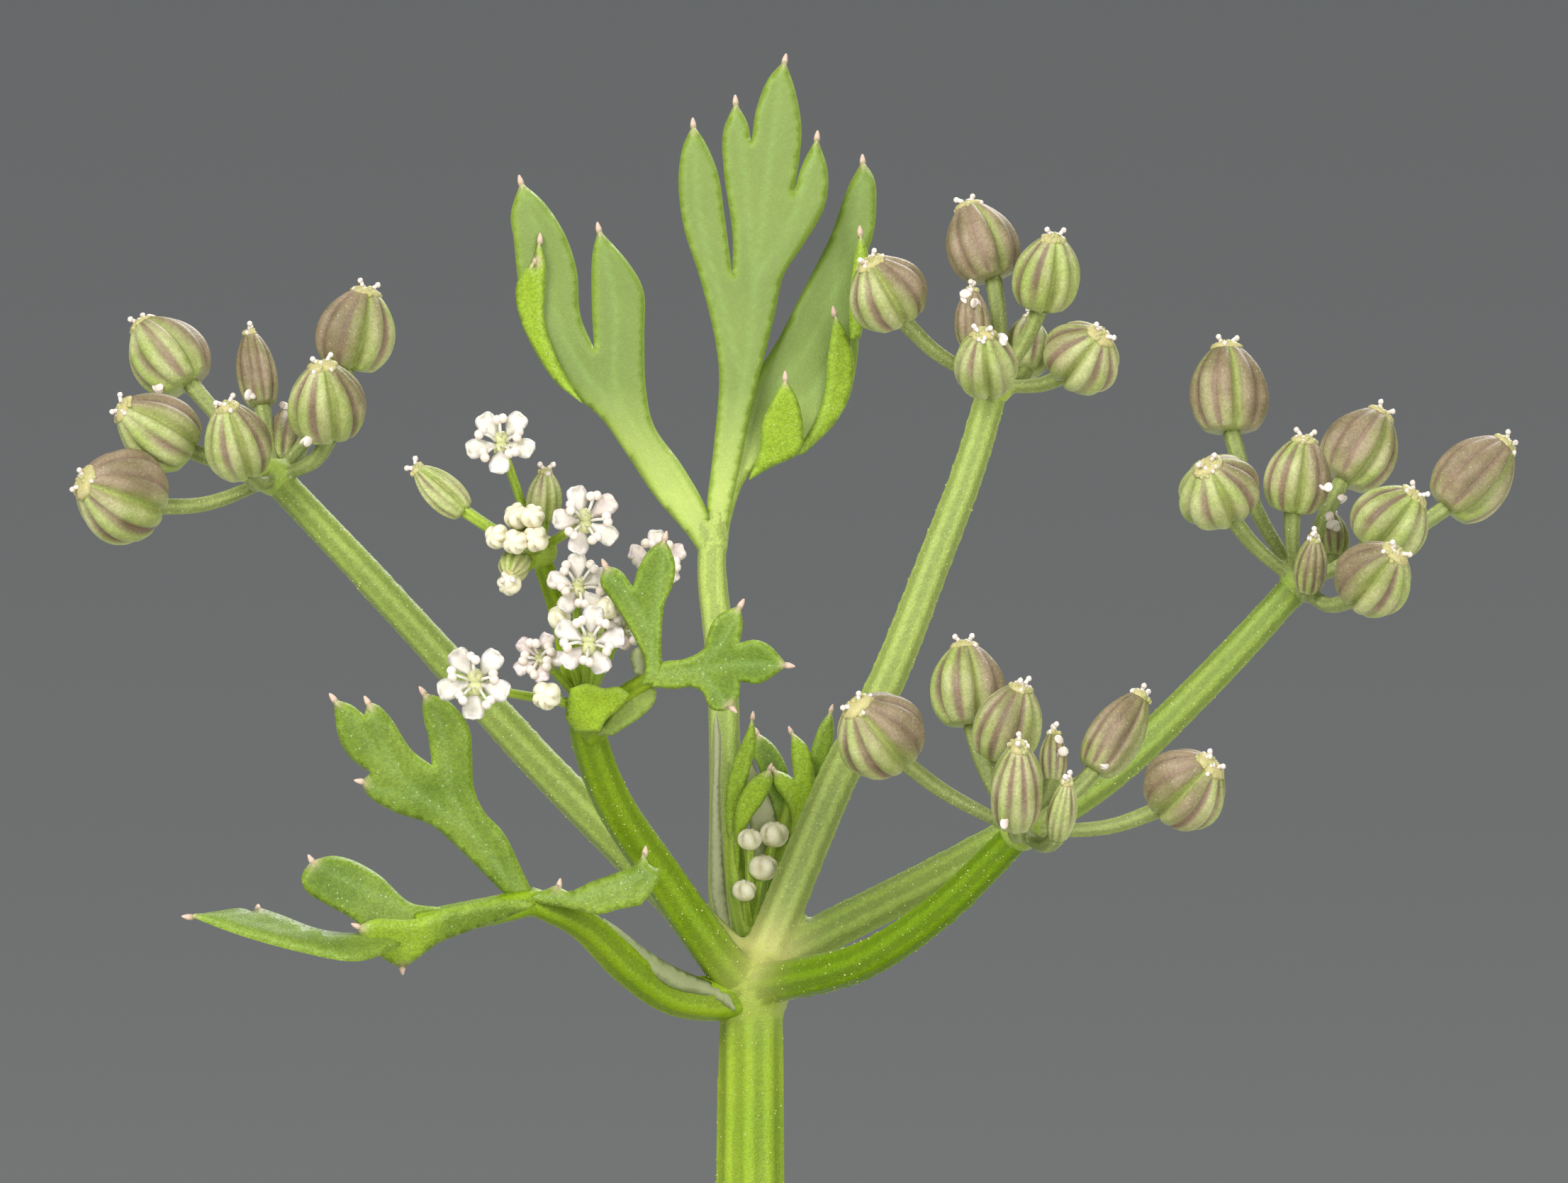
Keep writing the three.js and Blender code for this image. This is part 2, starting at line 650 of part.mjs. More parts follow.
// The leaf to the left of the joint: three leaflets, of which one faces the viewer
const LEFT_PETIOLE = [
  [-1.5, -0.88, -0.38],
  [-2.19, -1.28, -0.22],
  [-3.18, -2.08, 0.49],
  [-4.37, -3.2, 1.6],
  [-5.65, -3.84, 2.16],
];
const LEFT_UPPER_LEAFLET = [
  [-5.5, 2.2],
  [-6.27, 3.87],
  [-6.74, 4.38],
  [-7.0, 4.97],
  [-7.08, 6.51],
  [-7.64, 7.19],
  [-8.28, 7.41],
  [-8.34, 7.11],
  [-8.07, 5.57],
  [-8.58, 5.96],
  [-9.09, 6.85],
  [-9.43, 7.19],
  [-9.77, 6.94],
  [-10.54, 7.24],
  [-10.46, 6.34],
  [-10.11, 5.74],
  [-9.52, 5.32],
  [-9.86, 5.15],
  [-9.69, 4.8],
  [-9.01, 4.38],
  [-8.15, 4.08],
  [-7.47, 3.52],
  [-6.79, 2.84],
  [-6.1, 2.1],
];
// The outer leaflet seen from its edge: lobes from foot to tip, with the direction that each is wide in
const LEFT_OUTER_LOBES = [
  { foot: [-8.5, -4.6, 1.15], tip: [-14.0, -6.24, 1.74], halfWidth: 0.85, across: [0, 1, 0.62] },
  { foot: [-8.0, -4.7, 1.45], tip: [-9.9, -6.7, 0.95], halfWidth: 0.8, across: [0.5, 0.4, 1] },
];
const LEFT_OUTER_BLADE = [
  [-8.2, 1.2],
  [-8.32, 1.9],
  [-9.35, 2.59],
  [-10.29, 3.23],
  [-10.71, 3.27],
  [-11.35, 2.76],
  [-11.27, 2.41],
  [-10.63, 1.9],
  [-10.03, 1.56],
  [-9.6, 1.1],
];
const LEFT_INNER_LOBES = [
  { foot: [-5.45, -3.84, 2.21], tip: [-2.46, -5.44, 3.17], halfWidth: 0.55, across: [0, -0.6, 1] },
  { foot: [-5.25, -4.16, 2.21], tip: [-4.74, -5.76, 2.7], halfWidth: 0.3, across: [1, 0, 0.3] },
];

function leftLeaf() {
  return fuse([
    stalk(LEFT_PETIOLE, 0.6, 0.4, 6, 5),
    facingBlade(LEFT_UPPER_LEAFLET, [-5.7, -3.84, 2.1], 0.08, -0.2),
    stalk([[-5.6, -3.84, 2.1], [-7.0, -4.2, 1.85], [-8.45, -4.64, 1.55]], 0.4, 0.45, 5, 2),
    facingBlade(LEFT_OUTER_BLADE, [-8.4, -4.6, 1.5], 0.04, 0.1),
    ...[...LEFT_OUTER_LOBES, ...LEFT_INNER_LOBES].map((l) =>
      lobe(l.foot, l.tip, l.halfWidth, l.across),
    ),
  ]);
}
piece(shoot, "leaf_left", leftLeaf(), "leaf");

// The tall leaf behind the joint, with its three leaflets held upright
const BACK_PETIOLE = [
  [-0.46, 2.56, 0.65],
  [-0.68, 3.04, 1.85],
  [-0.68, 3.36, 5.02],
  [-0.78, 3.52, 8.04],
  [-1.06, 3.52, 10.65],
  [-0.99, 3.52, 11.81],
];
// The middle and the left leaflet in one outline, from the foot of the middle one's right edge
const BACK_LEAFLETS = [
  [-0.55, 11.3],
  [-0.3, 12.6],
  [-0.05, 14.45],
  [0.3, 15.9],
  [0.59, 17.04],
  [0.83, 18.09],
  [1.4, 18.97],
  [1.88, 19.86],
  [1.96, 20.75],
  [1.68, 21.65],
  [1.32, 20.99],
  [1.04, 20.19],
  [1.28, 21.88],
  [1.12, 22.85],
  [0.85, 23.64],
  [0.43, 23.17],
  [-0.01, 21.52],
  [-0.42, 22.57],
  [-0.76, 21.8],
  [-0.74, 20.75],
  [-0.47, 17.94],
  [-0.86, 20.67],
  [-1.51, 21.98],
  [-1.89, 20.51],
  [-1.75, 19.3],
  [-1.34, 18.01],
  [-0.94, 16.39],
  [-0.82, 15.42],
  [-1.0, 13.4],
  [-1.17, 12.1],
  [-1.83, 13.24],
  [-2.51, 14.21],
  [-2.72, 15.18],
  [-2.76, 17.68],
  [-3.12, 18.33],
  [-3.93, 19.26],
  [-4.09, 18.65],
  [-4.05, 16.19],
  [-4.4, 17.04],
  [-4.77, 19.06],
  [-5.3, 19.9],
  [-5.93, 20.47],
  [-6.19, 19.62],
  [-5.78, 17.04],
  [-5.3, 15.99],
  [-4.65, 15.1],
  [-3.85, 14.37],
  [-3.28, 13.57],
  [-2.47, 12.36],
  [-1.4, 11.2],
];
const BACK_RIGHT_LEAFLET = [
  [-0.75, 11.8],
  [-0.6, 13.0],
  [-0.3, 14.2],
  [0.08, 15.42],
  [0.73, 16.54],
  [1.29, 17.65],
  [2.03, 19.13],
  [2.49, 20.42],
  [2.86, 21.07],
  [3.16, 20.6],
  [3.18, 19.7],
  [2.85, 18.4],
  [2.75, 17.0],
  [2.73, 16.07],
  [2.55, 15.15],
  [2.12, 14.41],
  [1.3, 13.55],
  [0.6, 13.3],
  [-0.1, 13.1],
  [-0.5, 12.0],
];
const BACK_SMALL_LOBES = [
  { foot: [1.9, 4.5, 14.6], tip: [2.14, 4.4, 17.15], halfWidth: 0.36, across: [1, 0.5, 0] },
  { foot: [0.55, 4.1, 13.3], tip: [0.87, 3.45, 15.45], halfWidth: 0.5, across: [1, 0.2, 0] },
  { foot: [-5.3, 3.3, 16.2], tip: [-5.55, 2.75, 18.6], halfWidth: 0.28, across: [1, 0.4, 0] },
];

function backLeaf() {
  return fuse([
    stalk(BACK_PETIOLE, 0.42, 0.36, 6, 6),
    sheet(BACK_LEAFLETS, (x, z) => {
      const lean = THREE.MathUtils.clamp((x + 3) / 2, 0, 1);
      const y = 3.52 + 0.13 * lean * (z - 11.3) + 0.08 * Math.min(0, x + 1);
      return { middle: new THREE.Vector3(x, y, z), normal: new THREE.Vector3(0, 1, 0) };
    }),
    facingBlade(BACK_RIGHT_LEAFLET, [-0.6, 3.75, 12.0], 0.1, 0.23),
    ...BACK_SMALL_LOBES.map((l) => lobe(l.foot, l.tip, l.halfWidth, l.across)),
  ]);
}
piece(shoot, "leaf_back", backLeaf(), "leaf");

// The small leaf under the flowers, on the sheath that clasps the top of the flowering branch
const SHEATH = [
  { foot: [-4.48, -6.48, 6.99], tip: [-2.25, -7.36, 8.18], halfWidth: 0.5, across: [-0.5, 0, 1] },
  { foot: [-4.04, -6.32, 6.54], tip: [-2.65, -7.04, 7.63], halfWidth: 0.4, across: [-0.5, 0, 1] },
];
const BRACT_LEAFLETS = [
  [-2.9, 7.9],
  [-2.88, 8.68],
  [-3.45, 9.65],
  [-3.79, 10.17],
  [-3.67, 10.61],
  [-3.29, 10.49],
  [-2.94, 10.07],
  [-2.64, 10.94],
  [-2.16, 11.3],
  [-1.91, 10.7],
  [-1.95, 10.13],
  [-2.16, 9.65],
  [-2.24, 8.84],
  [-2.2, 8.18],
  [-1.63, 8.27],
  [-1.19, 8.52],
  [-0.82, 9.36],
  [-0.26, 9.61],
  [-0.28, 8.66],
  [0.1, 8.74],
  [0.47, 8.6],
  [0.93, 8.09],
  [0.51, 7.79],
  [-0.26, 7.69],
  [-0.48, 7.02],
  [-1.03, 7.02],
  [-1.51, 7.55],
  [-2.5, 7.5],
];

function bractLeaf() {
  return fuse([
    ...SHEATH.map((l) => lobe(l.foot, l.tip, l.halfWidth, l.across, 0.7)),
    facingBlade(BRACT_LEAFLETS, [-2.4, -7.36, 7.9], -0.08, 0),
  ]);
}
piece(shoot, "leaf_under_flowers", bractLeaf(), "leaf");

// The young shoot between the tall leaf and the upper ray: two unfolding leaves round a few closed buds
const YOUNG_LEFT_BLADE = [
  [-0.5, 3.8],
  [-0.6, 4.6],
  [-0.45, 5.5],
  [-0.15, 6.3],
  [0.05, 6.73],
  [0.15, 6.2],
  [0.02, 5.5],
  [-0.12, 4.9],
  [0.2, 5.2],
  [0.48, 5.4],
  [0.42, 4.9],
  [0.15, 4.3],
  [-0.15, 3.85],
];
const YOUNG_RIGHT_BLADE = [
  [0.8, 4.3],
  [0.6, 5.0],
  [0.3, 5.7],
  [0.19, 6.31],
  [0.55, 6.1],
  [0.85, 5.4],
  [0.85, 6.0],
  [1.03, 6.31],
  [1.22, 5.9],
  [1.3, 5.3],
  [1.5, 5.9],
  [1.75, 6.55],
  [2.04, 6.92],
  [2.1, 6.3],
  [1.95, 5.6],
  [1.6, 4.9],
  [1.3, 4.2],
];
const YOUNG_BUDS = [
  { centre: [-0.05, 0.8, 3.59], radius: 0.28 },
  { centre: [0.55, 1.36, 3.7], radius: 0.34 },
  { centre: [0.25, 0.88, 2.9], radius: 0.33 },
  { centre: [-0.2, 0.88, 2.29], radius: 0.3 },
];
const YOUNG_FOOT = [-0.02, 1.36, 1.43];

function youngShoot() {
  return fuse([
    knob(YOUNG_FOOT, 0.38),
    stalk([YOUNG_FOOT, [-0.38, 1.68, 2.6], [-0.42, 1.68, 3.6], [-0.3, 1.6, 4.4]], 0.3, 0.26, 5, 3),
    stalk([YOUNG_FOOT, [0.35, 1.76, 2.6], [0.75, 1.92, 3.6], [1.1, 2.08, 4.7]], 0.3, 0.24, 5, 3),
    facingBlade(YOUNG_LEFT_BLADE, [-0.35, 1.6, 4.4], -0.16, 0),
    facingBlade(YOUNG_RIGHT_BLADE, [1.1, 2.08, 4.7], 0.19, 0.13),
    ...YOUNG_BUDS.map(({ centre, radius }) => bud(YOUNG_FOOT, centre, radius)),
  ]);
}
piece(shoot, "young_shoot", youngShoot(), "leaf");

// The flowers. Their stalks, seed cases and buds are one green body, and each open flower is a piece
const FLOWER_JOINT = [-4.2, -4.8, 7.08];
const UPPER_JOINT = [-5.36, -5.12, 10.97];
const FLOWER_RAY = [FLOWER_JOINT, [-4.55, -4.8, 8.02], [-4.84, -4.88, 9.41], UPPER_JOINT];
const OPEN_FLOWERS = [
  { centre: [-6.28, -6.32, 13.65], facing: [-0.1, -1, 0.35], radius: 0.89, from: UPPER_JOINT },
  { centre: [-4.2, -7.2, 11.71], facing: [0.25, -1, 0.15], radius: 0.89, from: UPPER_JOINT },
  { centre: [-4.36, -6.24, 10.05], facing: [0.1, -1, 0.25], radius: 0.8, from: FLOWER_JOINT },
  { centre: [-4.07, -7.76, 8.64], facing: [0, -1, 0.3], radius: 0.9, from: FLOWER_JOINT },
  { centre: [-5.3, -6.32, 8.24], facing: [-0.3, -1, 0.25], radius: 0.6, from: FLOWER_JOINT },
  { centre: [-6.91, -7.36, 7.65], facing: [-0.15, -1, 0.15], radius: 0.95, from: FLOWER_JOINT },
  { centre: [-3.15, -6.16, 9.01], facing: [0.4, -1, 0.2], radius: 0.55, from: FLOWER_JOINT },
  { centre: [-2.41, -5.2, 10.71], facing: [0.2, -1, 0.3], radius: 0.75, from: FLOWER_JOINT },
];
const CLOSED_BUDS = [
  { centre: [-5.88, -6.24, 11.85], radius: 0.33 },
  { centre: [-6.4, -6.4, 11.34], radius: 0.28 },
  { centre: [-5.94, -6.8, 11.2], radius: 0.28 },
  { centre: [-5.42, -6.64, 11.28], radius: 0.32 },
  { centre: [-6.09, -6.4, 10.15], radius: 0.3 },
];
const FRUITLETS = [
  { base: [-7.24, -4.8, 11.97], tip: [-8.5, -4.8, 13.1], width: 0.95, from: UPPER_JOINT },
  { base: [-5.25, -5.36, 11.72], tip: [-5.18, -5.68, 13.03], width: 0.85, from: UPPER_JOINT },
  { base: [-5.87, -5.6, 10.89], tip: [-6.11, -6.56, 10.3], width: 0.7, from: UPPER_JOINT },
];
const SEED_CASE = { length: 0.62, top: 0.27 };
const SMALL_BUD = { centre: [-5.14, -7.44, 7.34], radius: 0.33 };
const FLOWER_STALK = { foot: 0.13, neck: 0.16 };

function flowerStalks() {
  const bodies = [knob(FLOWER_JOINT, 0.42), knob(UPPER_JOINT, 0.48)];
  bodies.push(stalk(FLOWER_RAY, 0.28, 0.25, 5, 4));
  for (const { centre, facing, from } of OPEN_FLOWERS) {
    const back = vector(facing).normalize().negate();
    const top = vector(centre).addScaledVector(back, BLADE / 2 + GAP);
    const foot = top.clone().addScaledVector(back, SEED_CASE.length);
    const bend = vector(from).lerp(foot, 0.6).addScaledVector(back, 0.2);
    const path = [from, bend.toArray(), foot.toArray(), top.toArray()];
    const { foot: low, neck } = FLOWER_STALK;
    bodies.push(straightStalk(path, [low, low, neck, SEED_CASE.top], 4));
  }
  for (const { base, tip, width, from } of FRUITLETS) {
    bodies.push(fruit(from, base, tip, width, 20, FLOWER_STALK));
  }
  for (const { centre, radius } of CLOSED_BUDS) {
    bodies.push(bud(UPPER_JOINT, centre, radius));
  }
  bodies.push(bud(FLOWER_JOINT, SMALL_BUD.centre, SMALL_BUD.radius));
  return fuse(bodies);
}
piece(shoot, "flower_stalks", flowerStalks(), "stem");
OPEN_FLOWERS.forEach(({ centre, facing, radius }, i) => {
  const mesh = piece(shoot, `flower_${i + 1}`, corolla([0, 0, 0], facing, radius, 0.6 + i), "petal");
  mesh.position.set(...centre);
});

// The other stems: two from the soil and a branch low on the main stem, each with a younger umbel
const SIDE_STEMS = {
  right: {
    path: [
      [3.3, 2.2, SOIL.top - 3.5],
      [4.9, 3.3, 60],
      [11.0, 4.9, 76],
      [14.2, 5.6, 83],
    ],
    foot: 1.1,
    top: 0.6,
  },
  left: {
    path: [
      [-3.4, -2.6, SOIL.top - 3.5],
      [-5.6, -4.2, 58],
      [-11.6, -6.4, 70],
      [-14.6, -7.4, 75],
    ],
    foot: 1.0,
    top: 0.55,
  },
};
for (const [side, { path, foot, top }] of Object.entries(SIDE_STEMS)) {
  const { x, y } = stemAtHeight(path, SOIL.top - 1.5);
  holes.push({ centre: [x, y, SOIL.top], radius: foot });
  piece(plant, `side_stem_${side}`, stalk(path, foot, top, 7, 8), "stem");
}

// A young umbel: rays spread evenly round the stem's direction. Every other one is flowering, up to the
// number given, with a flower in the middle and the others round it, and the rest have tight heads of buds
const HEAD_RADIUS = 1.15;
const FLOWERS_PER_HEAD = 4;
function youngUmbel([before, end], { rays, rayLength, open }) {
  const joint = vector(end);
  const axis = joint.clone().sub(vector(before)).normalize();
  joint.addScaledVector(axis, 0.45 + GAP);
  const side = new THREE.Vector3(0, 1, 0).cross(axis).normalize();
  const bodies = [knob(joint.toArray(), 0.45)];
  for (let i = 0; i < rays; i++) {
    const out = side.clone().applyAxisAngle(axis, (i / rays) * 2 * Math.PI + 0.4);
    const direction = axis.clone().multiplyScalar(0.85).addScaledVector(out, 0.62).normalize();
    const head = joint.clone().addScaledVector(direction, rayLength * (1 - 0.12 * (i % 2)));
    const bend = joint.clone().lerp(head, 0.5).addScaledVector(out, 0.5);
    bodies.push(straightStalk([joint, bend, head].map((p) => p.toArray()), [0.24, 0.24, 0.22], 4));
    const flowering = i % 2 === 0 && i < 2 * open;
    bodies.push(flowering ? knob(head.toArray(), 0.36) : budHead(head.toArray(), HEAD_RADIUS));
    for (let k = 0; k < (flowering ? FLOWERS_PER_HEAD : 0); k++) {
      const turn = (k / (FLOWERS_PER_HEAD - 1)) * 2 * Math.PI + i;
      const around = out.clone().applyAxisAngle(direction, turn);
      const aim = direction.clone().addScaledVector(around, k ? 1.1 : 0).normalize();
      const flower = head.clone().addScaledVector(aim, k ? 2.3 : 2.7);
      bodies.push(smallFlower(head.toArray(), flower.toArray(), 0.9));
    }
  }
  return fuse(bodies);
}
const YOUNG_UMBELS = {
  side_right: {
    stem: SIDE_STEMS.right.path,
    plan: { rays: 5, rayLength: 6.5, open: 2 },
  },
  side_left: {
    stem: SIDE_STEMS.left.path,
    plan: { rays: 5, rayLength: 5, open: 0 },
  },
  lower: { stem: LOWER_BRANCH, plan: { rays: 4, rayLength: 4, open: 0 } },
};
for (const [name, { stem, plan }] of Object.entries(YOUNG_UMBELS)) {
  piece(plant, `umbel_${name}`, youngUmbel(stem.slice(-2), plan), "petal");
}

// Leaves on the stems, each from the height given on its stem
const STEM_LEAVES = [
  { path: STEM_PATH, height: 76.5, clear: 2.1, turn: -32, reach: 19, rise: 8, size: 7.5 },
  { path: SIDE_STEMS.right.path, height: 73, clear: 1.5, turn: 24, reach: 18, rise: 6, size: 7 },
  { path: SIDE_STEMS.left.path, height: 66.6, clear: 1.5, turn: 262, reach: 17, rise: 5.2, size: 7 },
];

function stemLeaf({ path, height, clear, turn, reach, rise, size }) {
  const stem = stemAtHeight(path, height);
  const angle = THREE.MathUtils.degToRad(turn);
  const out = new THREE.Vector3(Math.cos(angle), Math.sin(angle), 0);
  const at = (distance, lift) =>
    stem
      .clone()
      .addScaledVector(out, distance)
      .add(new THREE.Vector3(0, 0, lift))
      .toArray();
  const points = [
    at(clear, 0.1),
    at(clear + 0.14 * reach, 0.35 * rise),
    at(clear + 0.4 * reach, 0.85 * rise),
    at(reach - 0.6 * size, rise),
  ];
  const length = new THREE.CatmullRomCurve3(points.map(vector)).getLength();
  const terminal = { along: 1.5 + size * 0.5, length: size };
  const bladeStart = 1 - (terminal.along + size * 0.3) / length;
  return leaf(points, bladeStart, [[1.5, size * 0.85]], terminal, { foot: 0.55, neck: 0.42 });
}
STEM_LEAVES.forEach((plan, i) => piece(plant, `stem_leaf_${i + 1}`, stemLeaf(plan), "leaf"));

// The soil, with a crumbly mounded top and a plain hole for each stem and leaf
function soilBody() {
  const bottom = POT.floor + GAP;
  const wallRadius = (z) => innerRadius(z) - SOIL.clearance;
  const ringAt = (radius, height) =>
    Array.from({ length: SOIL.sectors }, (_, j) => {
      const turn = (j / SOIL.sectors) * 2 * Math.PI;
      return new THREE.Vector3(radius * Math.cos(turn), radius * Math.sin(turn), height(j));
    });
  const rings = [
    ringAt(wallRadius(bottom), () => bottom),
    ringAt(wallRadius(SOIL.top - 1), () => SOIL.top - 1),
  ];
  for (let i = 0; i < SOIL.rings; i++) {
    const share = 1 - (i + 0.35) / SOIL.rings;
    const crumbs = (j) => SOIL.crumb * Math.sin(j * 2.4 + i * 1.9) * Math.sin(j * 1.1 - i * 2.3);
    const mound = SOIL.mound * (1 - share * share);
    rings.push(ringAt(wallRadius(SOIL.top) * share, (j) => SOIL.top - 0.9 + mound + crumbs(j) * share));
  }
  let body = solid(loft(rings));
  for (const { centre, radius } of holes) {
    const wide = (radius + HOLE.clearance) / Math.cos(Math.PI / HOLE.sides);
    const drill = new THREE.CylinderGeometry(wide, wide, HOLE.depth + 6, HOLE.sides)
      .rotateX(Math.PI / 2)
      .translate(centre[0], centre[1], centre[2] - HOLE.depth + (HOLE.depth + 6) / 2);
    body = body.subtract(solid(drill));
  }
  return body;
}
piece(group, "soil", soilBody(), "soil");

export default group;
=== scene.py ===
# %% [markdown]
# # A potted sea celery
# Sea celery is a small herb of salty shores: slender ridged stems, fleshy leaves cut into lobes, tiny white
# flowers in flat heads, and ribbed fruits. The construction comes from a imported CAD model, which is loaded
# here as a fixed frame. Every cell below makes one kind of piece with its fine form and its finish, in the
# place where the frame has the plain one.

# %% The frame
import math

import bpy
import numpy as np
from mathutils import Matrix, Vector
from mathutils.bvhtree import BVHTree
from mathutils.geometry import delaunay_2d_cdt
from mathutils.kdtree import KDTree


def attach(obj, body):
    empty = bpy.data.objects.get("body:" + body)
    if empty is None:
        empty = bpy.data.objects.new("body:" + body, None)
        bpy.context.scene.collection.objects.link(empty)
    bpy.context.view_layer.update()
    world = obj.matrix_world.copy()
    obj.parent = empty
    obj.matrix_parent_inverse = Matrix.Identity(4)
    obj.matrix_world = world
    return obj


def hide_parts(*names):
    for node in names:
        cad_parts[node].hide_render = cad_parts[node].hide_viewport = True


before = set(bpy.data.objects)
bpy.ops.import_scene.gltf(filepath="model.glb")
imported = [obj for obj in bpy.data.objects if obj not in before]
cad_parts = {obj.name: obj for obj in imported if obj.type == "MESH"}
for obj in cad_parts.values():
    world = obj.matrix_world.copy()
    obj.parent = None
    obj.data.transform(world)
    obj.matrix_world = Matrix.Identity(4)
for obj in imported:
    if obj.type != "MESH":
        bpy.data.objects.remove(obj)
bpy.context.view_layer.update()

# %% [markdown]
# ## Sizes and places
# Blender counts in metres, but a plant this small is easier to read in millimetres, so everything is worked
# out in millimetres and multiplied once, when a mesh is made. The flowering shoot leans back a little. Its
# points are counted from the joint that its rays spring from, and one function turns them upright.

# %% Units and the shoot's own frame
MM = 0.001
JOINT_HEIGHT = 108
LEAN = math.radians(5)
SOIL_TOP = 50


def from_shoot(points):
    """Points of the shoot's frame, in the plant's: leant back about the joint."""
    p = np.atleast_2d(np.asarray(points, float))
    x, y, z = p.T
    back = y * math.cos(LEAN) + z * math.sin(LEAN)
    up = -y * math.sin(LEAN) + z * math.cos(LEAN) + JOINT_HEIGHT
    return np.column_stack([x, back, up])


UP = np.array([0.0, 0.0, 1.0])


def unit(v):
    """A vector, or each row of an array, at length 1."""
    v = np.asarray(v, float)
    return v / np.linalg.norm(v, axis=-1, keepdims=True)


def added(name, data):
    """A new object in the scene, at the origin."""
    obj = bpy.data.objects.new(name, data)
    bpy.context.scene.collection.objects.link(obj)
    return obj


print("the shoot's joint is at", from_shoot([0, 0, 0]).round(1).tolist(), "mm")

# %% [markdown]
# ## Camera, light and floor
# The photograph is a close view of the top of the shoot, about 40 mm wide, taken with a long lens. A long
# lens far away flattens the view as a macro lens does. The light is two broad soft lamps in front and one
# behind that brightens the edges, as in a small studio, over a pale floor that is wide enough for all views.

# %% Camera, lamps, world and floor
VIEW_WIDTH = 40
VIEW_CENTRE = (0.83, 0, 9.95)  # in the shoot's frame
CAMERA_DISTANCE = 500
SENSOR = 36

camera = added("camera", bpy.data.cameras.new("camera"))
camera.data.sensor_width = SENSOR
camera.data.lens = SENSOR * CAMERA_DISTANCE / VIEW_WIDTH
camera.data.clip_start = 0.05
camera.data.clip_end = 50
view_from = np.array(VIEW_CENTRE) - [0, CAMERA_DISTANCE, 0]
camera.location = from_shoot(view_from)[0] * MM
camera.rotation_euler = (math.pi / 2 - LEAN, 0, 0)
bpy.context.scene.camera = camera
bpy.context.scene.view_settings.view_transform = "Standard"

LAMP_AIM = Vector((0, 0, 0.11))
LAMPS = {  # place in metres, side in metres, power in watts
    "key": ((-0.28, -0.4, 0.5), 0.28, 3.4),
    "fill": ((0.2, -0.47, 0.24), 0.34, 1.8),
    "edge": ((0.16, 0.42, 0.42), 0.3, 2.6),
}


def add_lamp(name, place, side, power):
    """A square soft lamp that faces the top of the plant."""
    light = bpy.data.lights.new(name, "AREA")
    light.size = side
    light.energy = power
    lamp = added(name, light)
    lamp.location = place
    lamp.rotation_euler = (LAMP_AIM - Vector(place)).to_track_quat("-Z", "Y").to_euler()
    lamp.visible_camera = False


for name, (place, side, power) in LAMPS.items():
    add_lamp(name, place, side, power)

world = bpy.data.worlds.new("world")
bpy.context.scene.world = world
world.use_nodes = True
SKY_COLOUR, SKY_STRENGTH = (0.92, 0.96, 1.0, 1), 0.22
background = world.node_tree.nodes["Background"]
background.inputs["Color"].default_value = SKY_COLOUR
background.inputs["Strength"].default_value = SKY_STRENGTH

FLOOR_HALF, FLOOR_COLOUR = 9.0, (0.62, 0.62, 0.6, 1)
floor_mesh = bpy.data.meshes.new("floor")
corners = [(-1, -1, 0), (1, -1, 0), (1, 1, 0), (-1, 1, 0)]
floor_mesh.from_pydata([Vector(c) * FLOOR_HALF for c in corners], [], [(0, 1, 2, 3)])
floor = added("floor", floor_mesh)
floor_finish = bpy.data.materials.new("pale_floor")
floor_finish.use_nodes = True
floor_shader = floor_finish.node_tree.nodes["Principled BSDF"]
floor_shader.inputs["Base Color"].default_value = FLOOR_COLOUR
floor_shader.inputs["Roughness"].default_value = 0.9
floor_mesh.materials.append(floor_finish)
print("lens", round(camera.data.lens), "mm,", len(LAMPS), "lamps")

# %% [markdown]
# ## Building shader nodes
# A finish is a small network of nodes. A few helpers keep it readable: they add a node and fill or join its
# inputs, mix or layer colours, and read a number that was painted on the mesh's points, such as how near a
# point of a leaf is to its edge. Painted numbers make the colours follow the form exactly.

# %% Shader helpers
def add_node(tree, kind, inputs=None, **settings):
    """A new node. An input is a number, a colour or another node's output, which is then joined to it."""
    node = tree.nodes.new(kind)
    for key, value in settings.items():
        setattr(node, key, value)
    for key, value in (inputs or {}).items():
        if isinstance(value, bpy.types.NodeSocket):
            tree.links.new(value, node.inputs[key])
        else:
            node.inputs[key].default_value = value
    return node


def mixed(tree, share, first, second):
    """The first colour where share is 0, and the second where it is 1."""
    sockets = {0: share, 6: first, 7: second}
    return add_node(tree, "ShaderNodeMix", sockets, data_type="RGBA").outputs[2]


def painted(tree, name):
    return add_node(tree, "ShaderNodeAttribute", attribute_name=name).outputs["Fac"]


def ranged(tree, value, low, high, to_low=0.0, to_high=1.0):
    """value from low to high, eased into a range of its own."""
    sockets = {"Value": value, "From Min": low, "From Max": high, "To Min": to_low, "To Max": to_high}
    node = add_node(tree, "ShaderNodeMapRange", sockets, interpolation_type="SMOOTHSTEP")
    return node.outputs["Result"]


def combined(tree, operation, first, second):
    return add_node(tree, "ShaderNodeMath", {0: first, 1: second}, operation=operation).outputs[0]


def layered(tree, colour, *layers):
    """The colour under some layers, each the share or the name of a painted share, and its colour."""
    for share, over in layers:
        share = painted(tree, share) if isinstance(share, str) else share
        colour = mixed(tree, share, colour, over)
    return colour


def new_tree(name, kind, inputs, outputs):
    """An empty node group. Its inputs each have a (kind, default), and its outputs a kind."""
    tree = bpy.data.node_groups.new(name, kind)
    for label, (sort, default) in inputs.items():
        socket = tree.interface.new_socket(label, in_out="INPUT", socket_type="NodeSocket" + sort)
        if default is not None:
            socket.default_value = default
    for label, sort in outputs.items():
        tree.interface.new_socket(label, in_out="OUTPUT", socket_type="NodeSocket" + sort)
    return tree, tree.nodes.new("NodeGroupInput").outputs, tree.nodes.new("NodeGroupOutput").inputs


